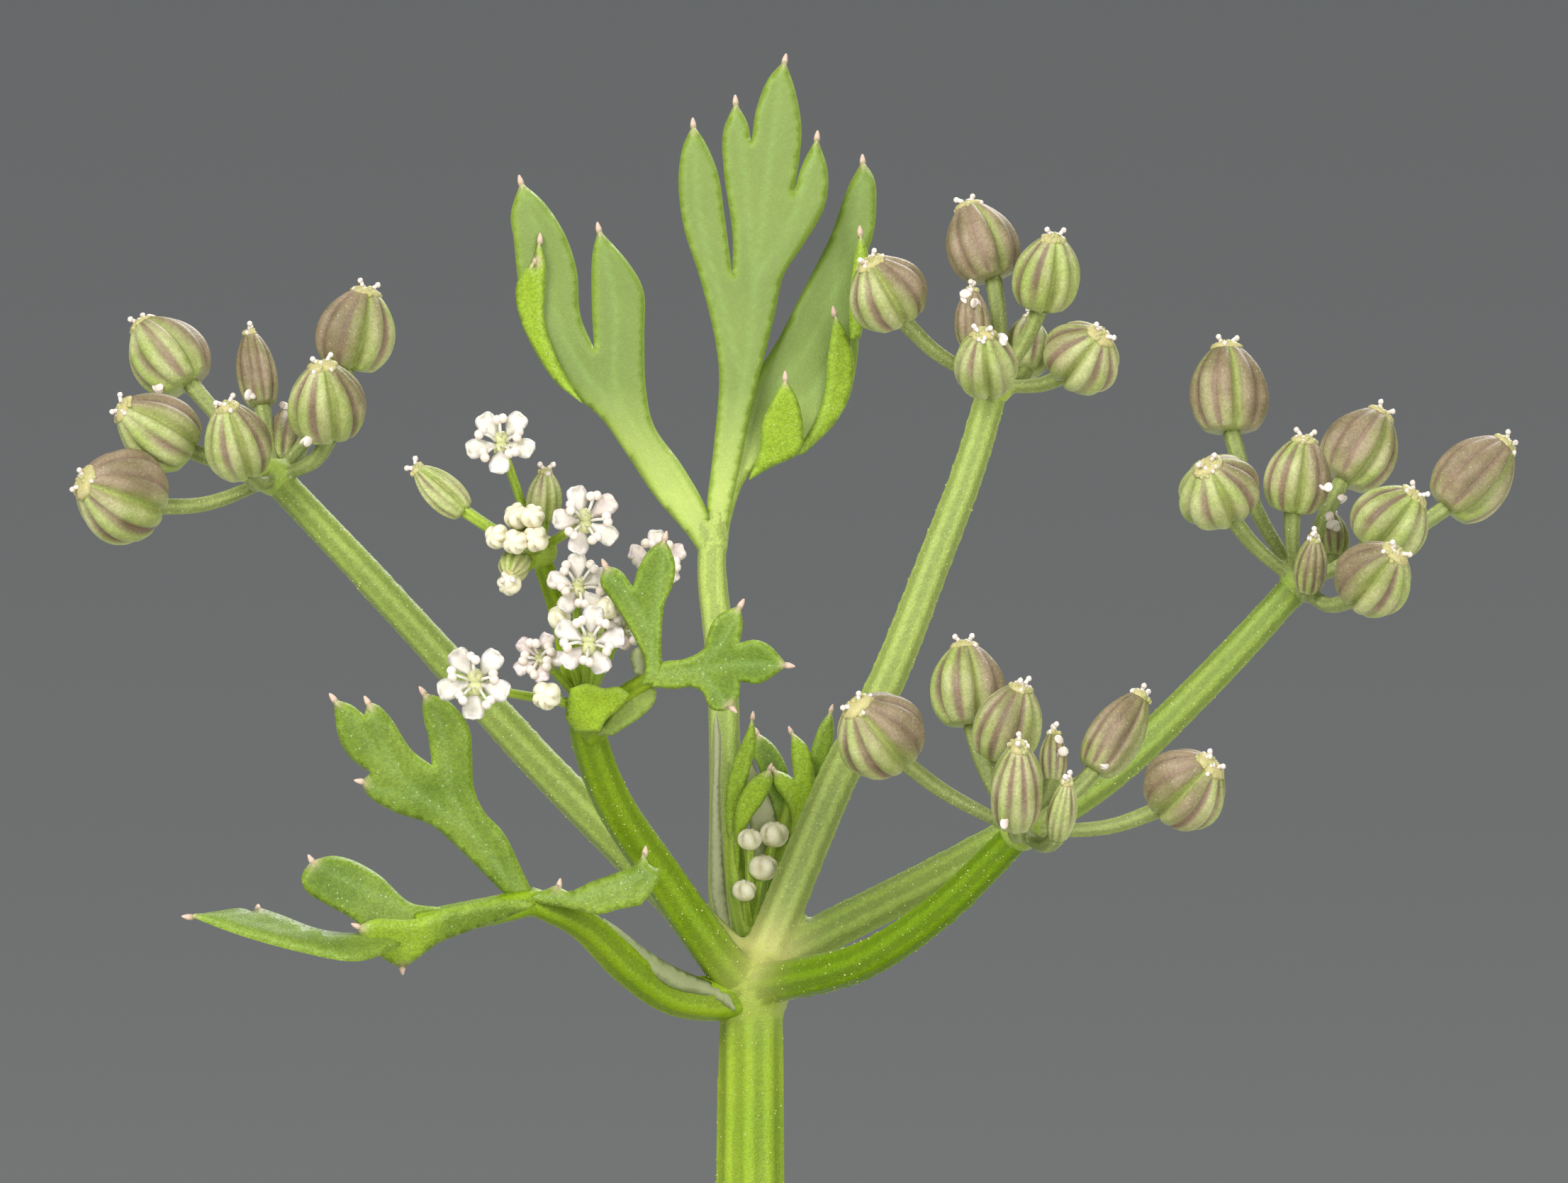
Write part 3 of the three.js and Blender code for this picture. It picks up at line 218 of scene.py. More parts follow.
def shader_group(name, sizes, results):
    """An empty shader group with sizes for inputs and named numbers for results."""
    inputs = {label: ("Float", default) for label, default in sizes.items()}
    return new_tree(name, "ShaderNodeTree", inputs, {label: "Float" for label in results})


def shade(red, green, blue):
    """A colour given as the 0 to 255 numbers that a screen shows."""
    shares = [c / 255 for c in (red, green, blue)]
    return (*(((c + 0.055) / 1.055) ** 2.4 if c > 0.04 else c / 12.92 for c in shares), 1)


print("a screen's middle grey is", round(shade(128, 128, 128)[0], 3), "of the light that white gives")

# %% [markdown]
# ## The effect that all the plant's skins share
# Under a lens every part of this herb is a skin of tiny swollen cells that glitter, with a few bright grains
# among them. One node group makes that once from two cell patterns and a soft cloud: it puts out how bright
# each cell is, where the grains are, a slow mottle and a height for the bump. Each finish sets its sizes.

# %% Shader group: plant skin
CELL_SIZE = 0.00005  # metres, as for all shader sizes
GRAIN_SPACING = 0.00011


def make_skin_group():
    sizes = {"Cell size": CELL_SIZE, "Grain spacing": GRAIN_SPACING}
    sizes |= {"Grain share": 0.4, "Mottle size": 0.002}
    tree, given, out = shader_group("plant_skin", sizes, ("Cells", "Grains", "Mottle", "Height"))
    place = add_node(tree, "ShaderNodeTexCoord").outputs["Object"]

    def cells(size):
        scale = combined(tree, "DIVIDE", 1.0, size)
        return add_node(tree, "ShaderNodeTexVoronoi", {"Vector": place, "Scale": scale})

    fine = cells(given["Cell size"])
    coarse = cells(given["Grain spacing"])
    brightness = add_node(tree, "ShaderNodeSeparateColor", {0: fine.outputs["Color"]}).outputs[0]
    pick = add_node(tree, "ShaderNodeSeparateColor", {0: coarse.outputs["Color"]}).outputs[0]
    chosen = combined(tree, "LESS_THAN", pick, given["Grain share"])
    grains = combined(tree, "MULTIPLY", ranged(tree, coarse.outputs["Distance"], 0.26, 0.06), chosen)
    mottle_scale = combined(tree, "DIVIDE", 1.0, given["Mottle size"])
    cloud = add_node(tree, "ShaderNodeTexNoise", {"Vector": place, "Scale": mottle_scale, "Detail": 3})
    round_cells = ranged(tree, fine.outputs["Distance"], 0.7, 0.1)
    height = combined(tree, "ADD", round_cells, combined(tree, "MULTIPLY", grains, 1.6))
    results = (brightness, grains, ranged(tree, cloud.outputs[0], 0.3, 0.7), height)
    for socket, result in zip(out, results):
        tree.links.new(result, socket)
    return tree


PLANT_SKIN = make_skin_group()
print("skin group puts out", [s.name for s in PLANT_SKIN.interface.items_tree if s.in_out == "OUTPUT"])

# %% [markdown]
# ## Finishes of the plant
# Each finish starts from one shader, lays its colours over each other from the broad to the fine, and lets
# some light into the tissue, because green leaves, fruits and petals all glow a little where light enters.

# %% Starting a finish
def new_finish(name, roughness, glow=0.0, depth=0.0004, gloss=0.5):
    """A material with its shader, with light entering by the share glow, to about the depth in metres."""
    material = bpy.data.materials.new(name)
    material.use_nodes = True
    tree = material.node_tree
    shader = tree.nodes["Principled BSDF"]
    shader.inputs["Roughness"].default_value = roughness
    shader.inputs["Specular IOR Level"].default_value = gloss
    shader.inputs["Subsurface Weight"].default_value = glow
    shader.inputs["Subsurface Radius"].default_value = (0.8, 1.0, 0.35)
    shader.inputs["Subsurface Scale"].default_value = depth
    return material, tree


def skin_of(tree, grain_share, mottle_size, cell_size=CELL_SIZE, grain_spacing=GRAIN_SPACING):
    sizes = {"Cell size": cell_size, "Grain spacing": grain_spacing}
    sizes |= {"Grain share": grain_share, "Mottle size": mottle_size}
    return add_node(tree, "ShaderNodeGroup", sizes, node_tree=PLANT_SKIN).outputs


def finished(material, colour, height, strength, distance=0.00002):
    """The material with its colour and a bump joined to its shader."""
    tree = material.node_tree
    shader = tree.nodes["Principled BSDF"]
    tree.links.new(colour, shader.inputs["Base Color"])
    bump = {"Strength": strength, "Distance": distance, "Height": height}
    tree.links.new(add_node(tree, "ShaderNodeBump", bump).outputs[0], shader.inputs["Normal"])
    return material


def dimmed(tree, colour, mask, share):
    """The colour, darker by the given share where mask is 0."""
    factor = ranged(tree, mask, 0, 1, 1 - share, 1)
    grey = add_node(tree, "ShaderNodeCombineColor", {0: factor, 1: factor, 2: factor}).outputs[0]
    sockets = {0: 1.0, 6: colour, 7: grey}
    return add_node(tree, "ShaderNodeMix", sockets, data_type="RGBA", blend_type="MULTIPLY").outputs[2]


print("cells are", CELL_SIZE * 1000, "mm wide unless a finish says otherwise")

# %% Stem and leaf finishes
def stem_finish():
    material, tree = new_finish("stem_skin", 0.5, glow=0.1, depth=0.0005, gloss=0.3)
    skin = skin_of(tree, 0.2, 0.0025)
    colour = mixed(tree, skin["Mottle"], shade(146, 180, 6), shade(172, 198, 32))
    tints = [("pale", shade(190, 206, 118)), ("deep", shade(114, 148, 2)), ("mealy", shade(160, 166, 112))]
    colour = layered(tree, colour, *tints)
    # painted shade: the grooves between the ridges are darkened as if in shadow
    colour = dimmed(tree, colour, ranged(tree, painted(tree, "ridge"), 0.0, 1.0), 0.24)
    colour = dimmed(tree, colour, skin["Cells"], 0.16)
    sparkle = ranged(tree, painted(tree, "mealy"), 0.0, 0.6, 0.35, 0.95)
    sparkle = combined(tree, "MULTIPLY", skin["Grains"], sparkle)
    colour = layered(tree, colour, ("cream", shade(224, 216, 136)), (sparkle, shade(226, 232, 184)))
    return finished(material, colour, skin["Height"], 0.4)


def leaf_finish():
    material, tree = new_finish("leaf_skin", 0.48, glow=0.1, depth=0.0004, gloss=0.3)
    skin = skin_of(tree, 0.26, 0.002)
    colour = mixed(tree, skin["Mottle"], shade(104, 132, 32), shade(132, 156, 54))
    # the fresh green is partly the colour of young tissue and partly painted light, raised where parts lie in dim
    # shade
    colour = layered(tree, colour, ("grey", shade(132, 152, 80)), ("fresh", shade(164, 194, 44)))
    vein = combined(tree, "MULTIPLY", painted(tree, "vein"), 0.4)
    # the margin is lightened: partly a paler rim and partly painted light where the thin edge glows
    edge = combined(tree, "MULTIPLY", painted(tree, "margin"), 0.7)
    colour = layered(tree, colour, (vein, shade(148, 178, 94)), ("foot", shade(186, 204, 106)))
    colour = mixed(tree, edge, colour, shade(162, 192, 70))
    grainy = combined(tree, "SUBTRACT", 1.0, combined(tree, "MULTIPLY", painted(tree, "grey"), 0.8))
    cells = combined(tree, "MAXIMUM", skin["Cells"], ranged(tree, grainy, 0, 1, 1, 0))
    colour = dimmed(tree, colour, cells, 0.26)
    sparkle = combined(tree, "MULTIPLY", ranged(tree, grainy, 0.2, 1.0, 0.0, 0.6), skin["Grains"])
    colour = layered(tree, colour, (sparkle, shade(214, 224, 182)), ("film", shade(172, 172, 138)))
    colour = layered(tree, colour, ("tip", shade(222, 190, 170)))
    return finished(material, colour, skin["Height"], 0.25)


STEM = stem_finish()
LEAF = leaf_finish()
print("made", STEM.name, "and", LEAF.name)

# %% Fruit, petal and anther finishes
def fruit_finish():
    material, tree = new_finish("fruit_skin", 0.48, glow=0.1, depth=0.0003, gloss=0.35)
    skin = skin_of(tree, 0.4, 0.0009)
    green = mixed(tree, skin["Mottle"], shade(168, 184, 96), shade(200, 204, 142))
    violet = mixed(tree, skin["Mottle"], shade(122, 96, 82), shade(152, 122, 106))
    furrow, tint = painted(tree, "furrow"), painted(tree, "tint")
    banded = ranged(tree, furrow, 0.1, 0.9, 0.0, 0.9)
    banded = combined(tree, "MULTIPLY", banded, ranged(tree, tint, 0.0, 0.35))
    blush = combined(tree, "MAXIMUM", banded, ranged(tree, tint, 0.15, 0.8, 0.0, 0.8))
    colour = mixed(tree, blush, green, violet)
    line = combined(tree, "MULTIPLY", painted(tree, "seam"), 0.75)
    colour = mixed(tree, line, colour, shade(166, 188, 86))
    colour = dimmed(tree, colour, skin["Cells"], 0.2)
    # pale papillae on the rib crests: partly their own pale colour, partly painted glints where light catches them
    crest_glint = combined(tree, "MULTIPLY", skin["Grains"], ranged(tree, furrow, 0.0, 0.6, 0.5, 0.2))
    colour = layered(tree, colour, ("crown", shade(196, 186, 126)), (crest_glint, shade(232, 228, 188)))
    return finished(material, colour, skin["Height"], 0.22)


def petal_finish():
    material, tree = new_finish("petal_skin", 0.38, glow=0.25, depth=0.0004)
    skin = skin_of(tree, 0.1, 0.0009, 0.00006, 0.0005)
    colour = mixed(tree, skin["Mottle"], shade(214, 210, 198), shade(236, 232, 222))
    colour = layered(tree, colour, ("blush", shade(206, 156, 170)), ("green", shade(204, 208, 136)))
    # cream is partly the buds' own cream tint and partly painted light, raised to brighten buds that lie in shade
    # fold is painted shade: the creases where the petals fold over each other are darkened
    colour = layered(tree, colour, ("cream", shade(254, 246, 206)), ("fold", shade(204, 190, 150)))
    return finished(material, dimmed(tree, colour, skin["Cells"], 0.05), skin["Height"], 0.2)


def anther_finish():
    """For anthers, dried styles and the specks on a fruit's crown."""
    material, tree = new_finish("anther_skin", 0.35, glow=0.2, depth=0.0003)
    skin = skin_of(tree, 0.1, 0.0004, grain_spacing=0.0005)
    colour = mixed(tree, skin["Mottle"], shade(240, 222, 204), shade(250, 240, 226))
    return finished(material, colour, skin["Height"], 0.3)


FRUIT = fruit_finish()
PETAL = petal_finish()
ANTHER = anther_finish()
print("plant finishes:", [m.name for m in (STEM, LEAF, FRUIT, PETAL, ANTHER)])

# %% [markdown]
# ## Shapes before they are meshes
# A shape here is a small bundle: its points, its faces, the finish of each face and the numbers painted on
# its points. Shapes are joined first and made into one Blender mesh at the end, so a piece with hundreds of
# parts is still one clean object at the origin.

# %% Shapes: make, join and turn into a piece
def shape(points, faces, material=0, **painting):
    """painting gives, by name, a number for every point or one for all of them."""
    points = np.asarray(points, float)
    numbers = {name: np.broadcast_to(np.asarray(v, float), len(points)) for name, v in painting.items()}
    return {"points": points, "faces": list(faces), "finish": [material] * len(faces), "numbers": numbers}


def joined(shapes):
    names = sorted({name for s in shapes for name in s["numbers"]})
    faces = []
    start = 0
    for s in shapes:
        faces += [tuple(i + start for i in face) for face in s["faces"]]
        start += len(s["points"])
    return {
        "points": np.vstack([s["points"] for s in shapes]),
        "faces": faces,
        "finish": [m for s in shapes for m in s["finish"]],
        "numbers": {
            name: np.concatenate([s["numbers"].get(name, np.zeros(len(s["points"]))) for s in shapes])
            for name in names
        },
    }


def make_mesh(name, whole, materials, scale=MM):
    mesh = bpy.data.meshes.new(name)
    mesh.from_pydata((whole["points"] * scale).tolist(), [], whole["faces"])
    for material in materials:
        mesh.materials.append(material)
    mesh.polygons.foreach_set("material_index", whole["finish"])
    mesh.polygons.foreach_set("use_smooth", np.ones(len(mesh.polygons), bool))
    for label, values in whole["numbers"].items():
        attribute = mesh.attributes.new(label, "FLOAT", "POINT")
        attribute.data.foreach_set("value", values.astype(np.float32))
    mesh.validate()
    mesh.update()
    return mesh


def make_piece(name, shapes, materials, slot, *nodes, rework=None):
    """One finished piece at the origin, which rides on the root body in place of the CAD nodes."""
    piece = added(name, make_mesh(name, joined(shapes), materials))
    if rework:
        rework(piece)
    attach(piece, "root")
    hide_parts(*nodes)
    triangles = sum(len(p.vertices) - 2 for p in piece.data.polygons)
    print(f"{name}: {triangles} triangles for {', '.join(nodes)}")


trial = joined([shape([UP], []), shape([2 * UP], [])])
print("two shapes of one point each join into one of", len(trial["points"]))

# %% [markdown]
# ## Smooth paths, rings and lofts
# Nearly every green part follows a path. The path goes smoothly through a few points, a frame of two
# directions is carried along it without twisting, and rings of points are set square to it. A loft then
# closes the rings into a skin, with a point at both ends so that the shell has no hole.

# %% Smooth paths
ANY_WAY = (0.83, 0.55, 0.12)  # a direction that no path follows


def curve_through(points, spacing):
    """Evenly spaced points on a smooth curve through the given ones."""
    p = np.asarray(points, float)
    ends = np.vstack([2 * p[0] - p[1], p, 2 * p[-1] - p[-2]])
    dense = []
    t = np.linspace(0, 1, 24, endpoint=False)[:, None]
    for a, b, c, d in zip(ends, ends[1:], ends[2:], ends[3:]):
        ab, bc, cd = (math.sqrt(max(np.linalg.norm(n - m), 1e-6)) for m, n in ((a, b), (b, c), (c, d)))
        leave = c - b + bc * ((b - a) / ab - (c - a) / (ab + bc))
        arrive = c - b + bc * ((d - c) / cd - (d - b) / (bc + cd))
        cubic = 2 * b - 2 * c + leave + arrive
        square = 3 * c - 3 * b - 2 * leave - arrive
        dense.append(b + leave * t + square * t**2 + cubic * t**3)
    dense = np.vstack([*dense, p[-1:]])
    along = np.concatenate([[0], np.cumsum(np.linalg.norm(np.diff(dense, axis=0), axis=1))])
    count = max(2, round(along[-1] / spacing) + 1)
    even = np.linspace(0, along[-1], count)
    return np.column_stack([np.interp(even, along, dense[:, k]) for k in range(p.shape[1])])


def frames_on(path, start=ANY_WAY):
    """The direction of a path at each point, and two more square to it that don't twist."""
    along = unit(np.gradient(path, axis=0))
    sides = []
    side = np.asarray(start, float)
    for direction in along:
        side = unit(side - direction * (side @ direction))
        sides.append(side)
    sides = np.array(sides)
    return along, sides, np.cross(along, sides)


probe = curve_through([(0, 0, 0), (5, 0, 0), (5, 5, 0)], 0.5)
print("a path round a corner bulges to", probe.max(0).round(2).tolist())

# %% Rings, lofts and eggs
def ring_faces(rows, sides):
    """The faces between rows of rings that each have the same number of points."""
    k = np.arange(sides)
    after = (k + 1) % sides
    faces = []
    for low in range(0, (rows - 1) * sides, sides):
        quads = np.column_stack([low + k, low + after, low + sides + after, low + sides + k])
        faces += [tuple(q) for q in quads.tolist()]
    return faces


def loft(rings, material=0, **painting):
    """A closed skin over rings of points, an array of rows x sides x 3, with a point at both ends."""
    rows, sides, _ = rings.shape
    caps = np.array([rings[0].mean(0), rings[-1].mean(0)])
    faces = ring_faces(rows, sides)
    low, high = rows * sides, rows * sides + 1
    last = (rows - 1) * sides
    faces += [(low, (k + 1) % sides, k) for k in range(sides)]
    faces += [(high, last + k, last + (k + 1) % sides) for k in range(sides)]
    numbers = {}
    for name, values in painting.items():
        grid = np.broadcast_to(np.asarray(values, float), (rows, sides))
        numbers[name] = np.concatenate([grid.ravel(), [grid[0].mean(), grid[-1].mean()]])
    return shape(np.vstack([rings.reshape(-1, 3), caps]), faces, material, **numbers)


def rings_on(path, radii, sides, start=ANY_WAY, squash=1.0):
    """Round rings along a path, flattened in the second direction by squash."""
    _, side, up = frames_on(path, start)
    turn = np.linspace(0, 2 * np.pi, sides, endpoint=False)
    radii = np.broadcast_to(radii, len(path))[:, None, None]
    flat = np.cos(turn)[None, :, None] * side[:, None] + np.sin(turn)[None, :, None] * up[:, None] * squash
    return path[:, None] + radii * flat


def egg(centre, axis, length, radius, sides=10, rows=8, material=0, squash=1.0, **painting):
    """A closed egg-shaped body about its centre, its axis from foot to tip."""
    axis = unit(axis)
    t = np.linspace(0.04, 0.96, rows)
    path = np.asarray(centre) + np.outer((t - 0.5) * length, axis)
    girth = radius * np.sqrt(1 - (2 * t - 1) ** 2)
    start = ANY_WAY if abs(axis[2]) > 0.5 else (0.1, 0.2, 1)
    return loft(rings_on(path, girth, sides, start, squash), material, **painting)


print("an egg has", len(egg((0, 0, 0), UP, 2, 1)["faces"]), "faces")


# %% [markdown]
# ## Ridged stalks by Geometry Nodes
# Every stalk of this herb is a rod with fine ridges that run along it, and it follows a path, which is what
# Geometry Nodes are good at. The tree below sweeps a ridged ring along each spline of a curve object, as
# thick as the spline says, and paints how high on a ridge each point is, which the stem's finish uses for
# painted shade in the grooves. One tree serves every stalk of the plant, from the main stem to the thinnest
# flower stalk, with the number and depth of its ridges as inputs.

# %% How a tree starts, ends and runs
def geometry_tree(name, **inputs):
    """An empty tree that takes a geometry, a finish and the named numbers, whole or not."""
    sockets = {"Geometry": ("Geometry", None), "Finish": ("Material", None)}
    for label, value in inputs.items():
        kind = "Int" if isinstance(value, int) else "Float"
        sockets[label.replace("_", " ").capitalize()] = (kind, value)
    return new_tree(name, "GeometryNodeTree", sockets, {"Geometry": "Geometry"})


def end_tree(tree, geometry, given, out):
    """The end of every tree: its instances made real, in the given finish."""
    real = add_node(tree, "GeometryNodeRealizeInstances", {"Geometry": geometry}).outputs[0]
    dressed = {"Geometry": real, "Material": given["Finish"]}
    tree.links.new(add_node(tree, "GeometryNodeSetMaterial", dressed).outputs[0], out["Geometry"])
    return tree


def evaluated(obj):
    """A plain mesh of an object as its modifiers leave it."""
    depsgraph = bpy.context.evaluated_depsgraph_get()
    result = obj.evaluated_get(depsgraph)
    return bpy.data.meshes.new_from_object(result, preserve_all_data_layers=True, depsgraph=depsgraph)


def run_tree(data, tree, values):
    """The plain mesh that a tree makes of a mesh or a curve, by an object that is then removed."""
    obj = added("carrier", data)
    modifier = obj.modifiers.new(tree.name, "NODES")
    modifier.node_group = tree
    for item in tree.interface.items_tree:
        if item.in_out == "INPUT" and item.name in values:
            modifier[item.identifier] = values[item.name]
    mesh = evaluated(obj)
    bpy.data.objects.remove(obj)
    return mesh


def shape_of(mesh, material=0):
    """A mesh back as a shape, with the numbers painted on its points."""
    points = np.zeros(len(mesh.vertices) * 3)
    mesh.vertices.foreach_get("co", points)
    numbers = {}
    for attribute in mesh.attributes:
        if attribute.domain == "POINT" and attribute.data_type == "FLOAT":
            values = np.zeros(len(mesh.vertices))
            attribute.data.foreach_get("value", values)
            numbers[attribute.name] = values
    faces = [tuple(p.vertices) for p in mesh.polygons]
    made = shape(points.reshape(-1, 3), faces, material, **numbers)
    bpy.data.meshes.remove(mesh)
    return made


trial = shape_of(make_mesh("trial", egg((0, 0, 0), UP, 2, 1), []))
print("a shape made into a mesh and back has", len(trial["points"]), "points")

# %% Geometry Nodes: ridged stalk
def stalk_tree():
    tree, given, out = geometry_tree("ridged_stalk", sides=24, ridges=8, ridge_depth=0.05)
    ring = add_node(tree, "GeometryNodeCurvePrimitiveCircle", {"Resolution": given["Sides"], "Radius": 1.0})
    place = add_node(tree, "GeometryNodeInputPosition").outputs[0]
    flat = add_node(tree, "ShaderNodeSeparateXYZ", {0: place}).outputs
    turn = combined(tree, "ARCTAN2", flat["Y"], flat["X"])
    wave = combined(tree, "COSINE", combined(tree, "MULTIPLY", turn, given["Ridges"]), 0.0)
    lift = combined(tree, "MULTIPLY", wave, given["Ridge depth"])
    offset = add_node(tree, "ShaderNodeVectorMath", {0: place, "Scale": lift}, operation="SCALE").outputs[0]
    raised = add_node(tree, "GeometryNodeSetPosition", {"Geometry": ring.outputs["Curve"], "Offset": offset})
    # how high on a ridge each point is, which the stem's finish turns into painted shade in the grooves
    height = ranged(tree, wave, -1.0, 1.0)
    store = {"Geometry": raised.outputs[0], "Name": "ridge", "Value": height}
    marked = add_node(tree, "GeometryNodeStoreNamedAttribute", store, data_type="FLOAT", domain="POINT")
    sweep = {"Curve": given["Geometry"], "Profile Curve": marked.outputs[0], "Fill Caps": True}
    swept = add_node(tree, "GeometryNodeCurveToMesh", sweep)
    if "Scale" in swept.inputs:
        thickness = add_node(tree, "GeometryNodeInputRadius").outputs[0]
        tree.links.new(thickness, swept.inputs["Scale"])
    return end_tree(tree, swept.outputs[0], given, out)


RIDGED_STALK = stalk_tree()


def stalks(paths, ridges=6, depth=0.05, sides=18, spacing=0.3, material=0, **painting):
    """Ridged stalks along paths, each (points, radius at the foot, radius at the tip)."""
    curve = bpy.data.curves.new("stalks", "CURVE")
    curve.dimensions = "3D"
    for points, foot, tip in paths:
        path = curve_through(points, spacing)
        spline = curve.splines.new("POLY")
        spline.points.add(len(path) - 1)
        spline.points.foreach_set("co", np.column_stack([path, np.ones(len(path))]).ravel())
        spline.points.foreach_set("radius", np.linspace(foot, tip, len(path)))
    values = {"Sides": sides, "Ridges": ridges, "Ridge depth": depth, "Finish": STEM}
    made = shape_of(run_tree(curve, RIDGED_STALK, values), material)
    for name, value in painting.items():
        made["numbers"][name] = np.broadcast_to(float(value), len(made["points"]))
    return made


probe = stalks([([(0, 0, 0), (0, 0, 10)], 1.0, 0.5)])
size = np.ptp(probe["points"], axis=0).round(2)
print("a test stalk has", len(probe["points"]), "points, and is", size, "mm")

# %% [markdown]
# ## Grains on the skin
# The stems glisten with tiny bead-like cells that stand out of the skin, most of them near the joints. They
# repeat over a surface, so a second tree scatters small balls over it, with their density, size and seed as
# inputs, and makes them real so that they are part of the mesh.

# %% Geometry Nodes: grains over a surface
def strewn_points(tree, given, mask):
    """Points over a mesh, as many for each square unit as the density times a painted number."""
    share = add_node(tree, "GeometryNodeInputNamedAttribute", {"Name": mask}, data_type="FLOAT").outputs[0]
    density = combined(tree, "MULTIPLY", given["Density"], share)
    spread = {"Mesh": given["Geometry"], "Density": density, "Seed": given["Seed"]}
    return add_node(tree, "GeometryNodeDistributePointsOnFaces", spread).outputs


def random_size(tree, given, least, most):
    sockets = {2: least, 3: most, "Seed": given["Seed"]}
    return add_node(tree, "FunctionNodeRandomValue", sockets, data_type="FLOAT").outputs[1]


def ball_of(tree, radius, detail):
    sockets = {"Radius": radius, "Subdivisions": detail}
    return add_node(tree, "GeometryNodeMeshIcoSphere", sockets).outputs["Mesh"]


def placed_at(tree, points, instance, rotation=(0, 0, 0), scale=(1, 1, 1)):
    placing = {"Points": points, "Instance": instance, "Rotation": rotation, "Scale": scale}
    return add_node(tree, "GeometryNodeInstanceOnPoints", placing).outputs[0]


def grain_tree():
    tree, given, out = geometry_tree("scattered_grains", density=3.0, size=0.03, detail=1, seed=1)
    points = strewn_points(tree, given, "grainy")
    ball = ball_of(tree, given["Size"], given["Detail"])
    sizes = random_size(tree, given, 0.5, 1.3)
    grains = placed_at(tree, points["Points"], ball, points["Rotation"], sizes)
    return end_tree(tree, grains, given, out)


SCATTERED_GRAINS = grain_tree()


def strewn(tree, carrier, values, material=0, **painting):
    """What a tree strews over a shape, with the same numbers painted all over it."""
    mesh = make_mesh("carrier", carrier, [values["Finish"]], scale=1)
    made = shape_of(run_tree(mesh, tree, values), material)
    made["numbers"] = {name: np.full(len(made["points"]), float(v)) for name, v in painting.items()}
    return made


def grains_on(carrier, density, size, seed):
    """Small balls on a stem, as many for each square millimetre as density times its number 'grainy'."""
    values = {"Density": density, "Size": size, "Detail": 1, "Seed": seed, "Finish": STEM}
    return strewn(SCATTERED_GRAINS, carrier, values, cream=0.8, ridge=1.0)


print("the tree", SCATTERED_GRAINS.name, "has", len(SCATTERED_GRAINS.nodes), "nodes")


# %% [markdown]
# ## The flowering stem
# The main stem ends in a joint that four rays and a branch with the flowers spring from. On the plant they
# have grown together with soft hollows between them, which separate rods can't show. So the ridged stalks
# are laid through each other, remeshed into one skin on a fine grid, and relaxed, mostly near the joint. The
# colours are painted first on the rods and passed to the nearest point of the new skin.

# %% Paths of the stem, its rays and its branches
RAYS = {  # in the shoot's frame, each to the joint of its umbellet
    "left": [
        (0, 0, 0.1), (-0.9, 0.24, 1), (-3.18, 1.28, 3.33), (-5.19, 2.08, 5.33), (-9.84, 3.52, 10.35),
        (-12.24, 4.16, 12.88),
    ],
    "top": [
        (0, 0, 0.1), (0.5, 0.16, 1.15), (2.13, 0.64, 5.04), (3.45, 0.96, 7.65), (4.64, 1.28, 10.65),
        (5.55, 1.6, 13.05), (6.2, 1.92, 15.21),
    ],
    "right": [
        (0, 0, 0.1), (1, 0.32, 0.74), (5.43, 1.6, 3.02), (8.87, 2.56, 5.02), (11.36, 3.04, 7.28),
        (14.06, 3.52, 10.15),
    ],
    "front": [
        (0, -0.32, -0.09), (0.95, -1.12, 0.07), (2.83, -3.04, 0.6), (4.79, -4.8, 1.92), (6.79, -6.4, 3.9),
    ],
}
FLOWER_BRANCH = [(0, -0.16, -0.1), (-0.5, -0.72, 0.26), (-2.36, -2.24, 2.87), (-3.53, -3.68, 4.69)]
FLOWER_BRANCH += [(-4.09, -4.64, 6.23), (-4.2, -4.8, 7.0)]
STEM_PATH = [(0, 0, 46.5), (0.7, 0.5, 62), (0.5, -0.2, 77), (0, 0, 98), (0, 0, JOINT_HEIGHT)]
LOWER_BRANCH = [(0.5, -0.2, 76), (-1.2, 1.2, 78), (-5, 4.5, 83), (-8.2, 7.2, 88)]
RAY_TINTS = {  # pale, deep, mealy
    "left": (0.25, 0.3, 0.35), "top": (0.55, 0.1, 0.3), "right": (0.2, 0.6, 0.3), "front": (0, 0.95, 0),
}
spans = {side: round(float(np.linalg.norm(np.subtract(p[-1], p[0]))), 1) for side, p in RAYS.items()}
print("from the joint to the heads, in mm:", spans)


# %% Remesh and relax
def remeshed(whole, voxel):
    """The skin round all of a shape's bodies together, on a grid of the given size in millimetres."""
    mesh = make_mesh("rough", whole, [], scale=1)
    obj = added("rough", mesh)
    modifier = obj.modifiers.new("skin", "REMESH")
    modifier.mode = "VOXEL"
    modifier.voxel_size = voxel
    skin = evaluated(obj)
    edges = np.zeros(len(skin.edges) * 2, np.int64)
    skin.edges.foreach_get("vertices", edges)
    bpy.data.objects.remove(obj)
    bpy.data.meshes.remove(mesh)
    return shape_of(skin), edges.reshape(-1, 2)


def relaxed(points, edges, weight, times):
    """Each point drawn towards its neighbours' middle by its weight, so often."""
    count = np.bincount(edges.ravel(), minlength=len(points))[:, None]
    for _ in range(times):
        total = np.zeros_like(points)
        np.add.at(total, edges[:, 0], points[edges[:, 1]])
        np.add.at(total, edges[:, 1], points[edges[:, 0]])
        points = points + weight[:, None] * (total / count - points)
    return points


def passed_on(source, points):
    """The painted numbers of a shape's nearest points, for each of the given points."""
    tree = KDTree(len(source["points"]))
    for i, p in enumerate(source["points"]):
        tree.insert(p, i)
    tree.balance()
    nearest = [tree.find(p)[1] for p in points]
    return {name: values[nearest] for name, values in source["numbers"].items()}


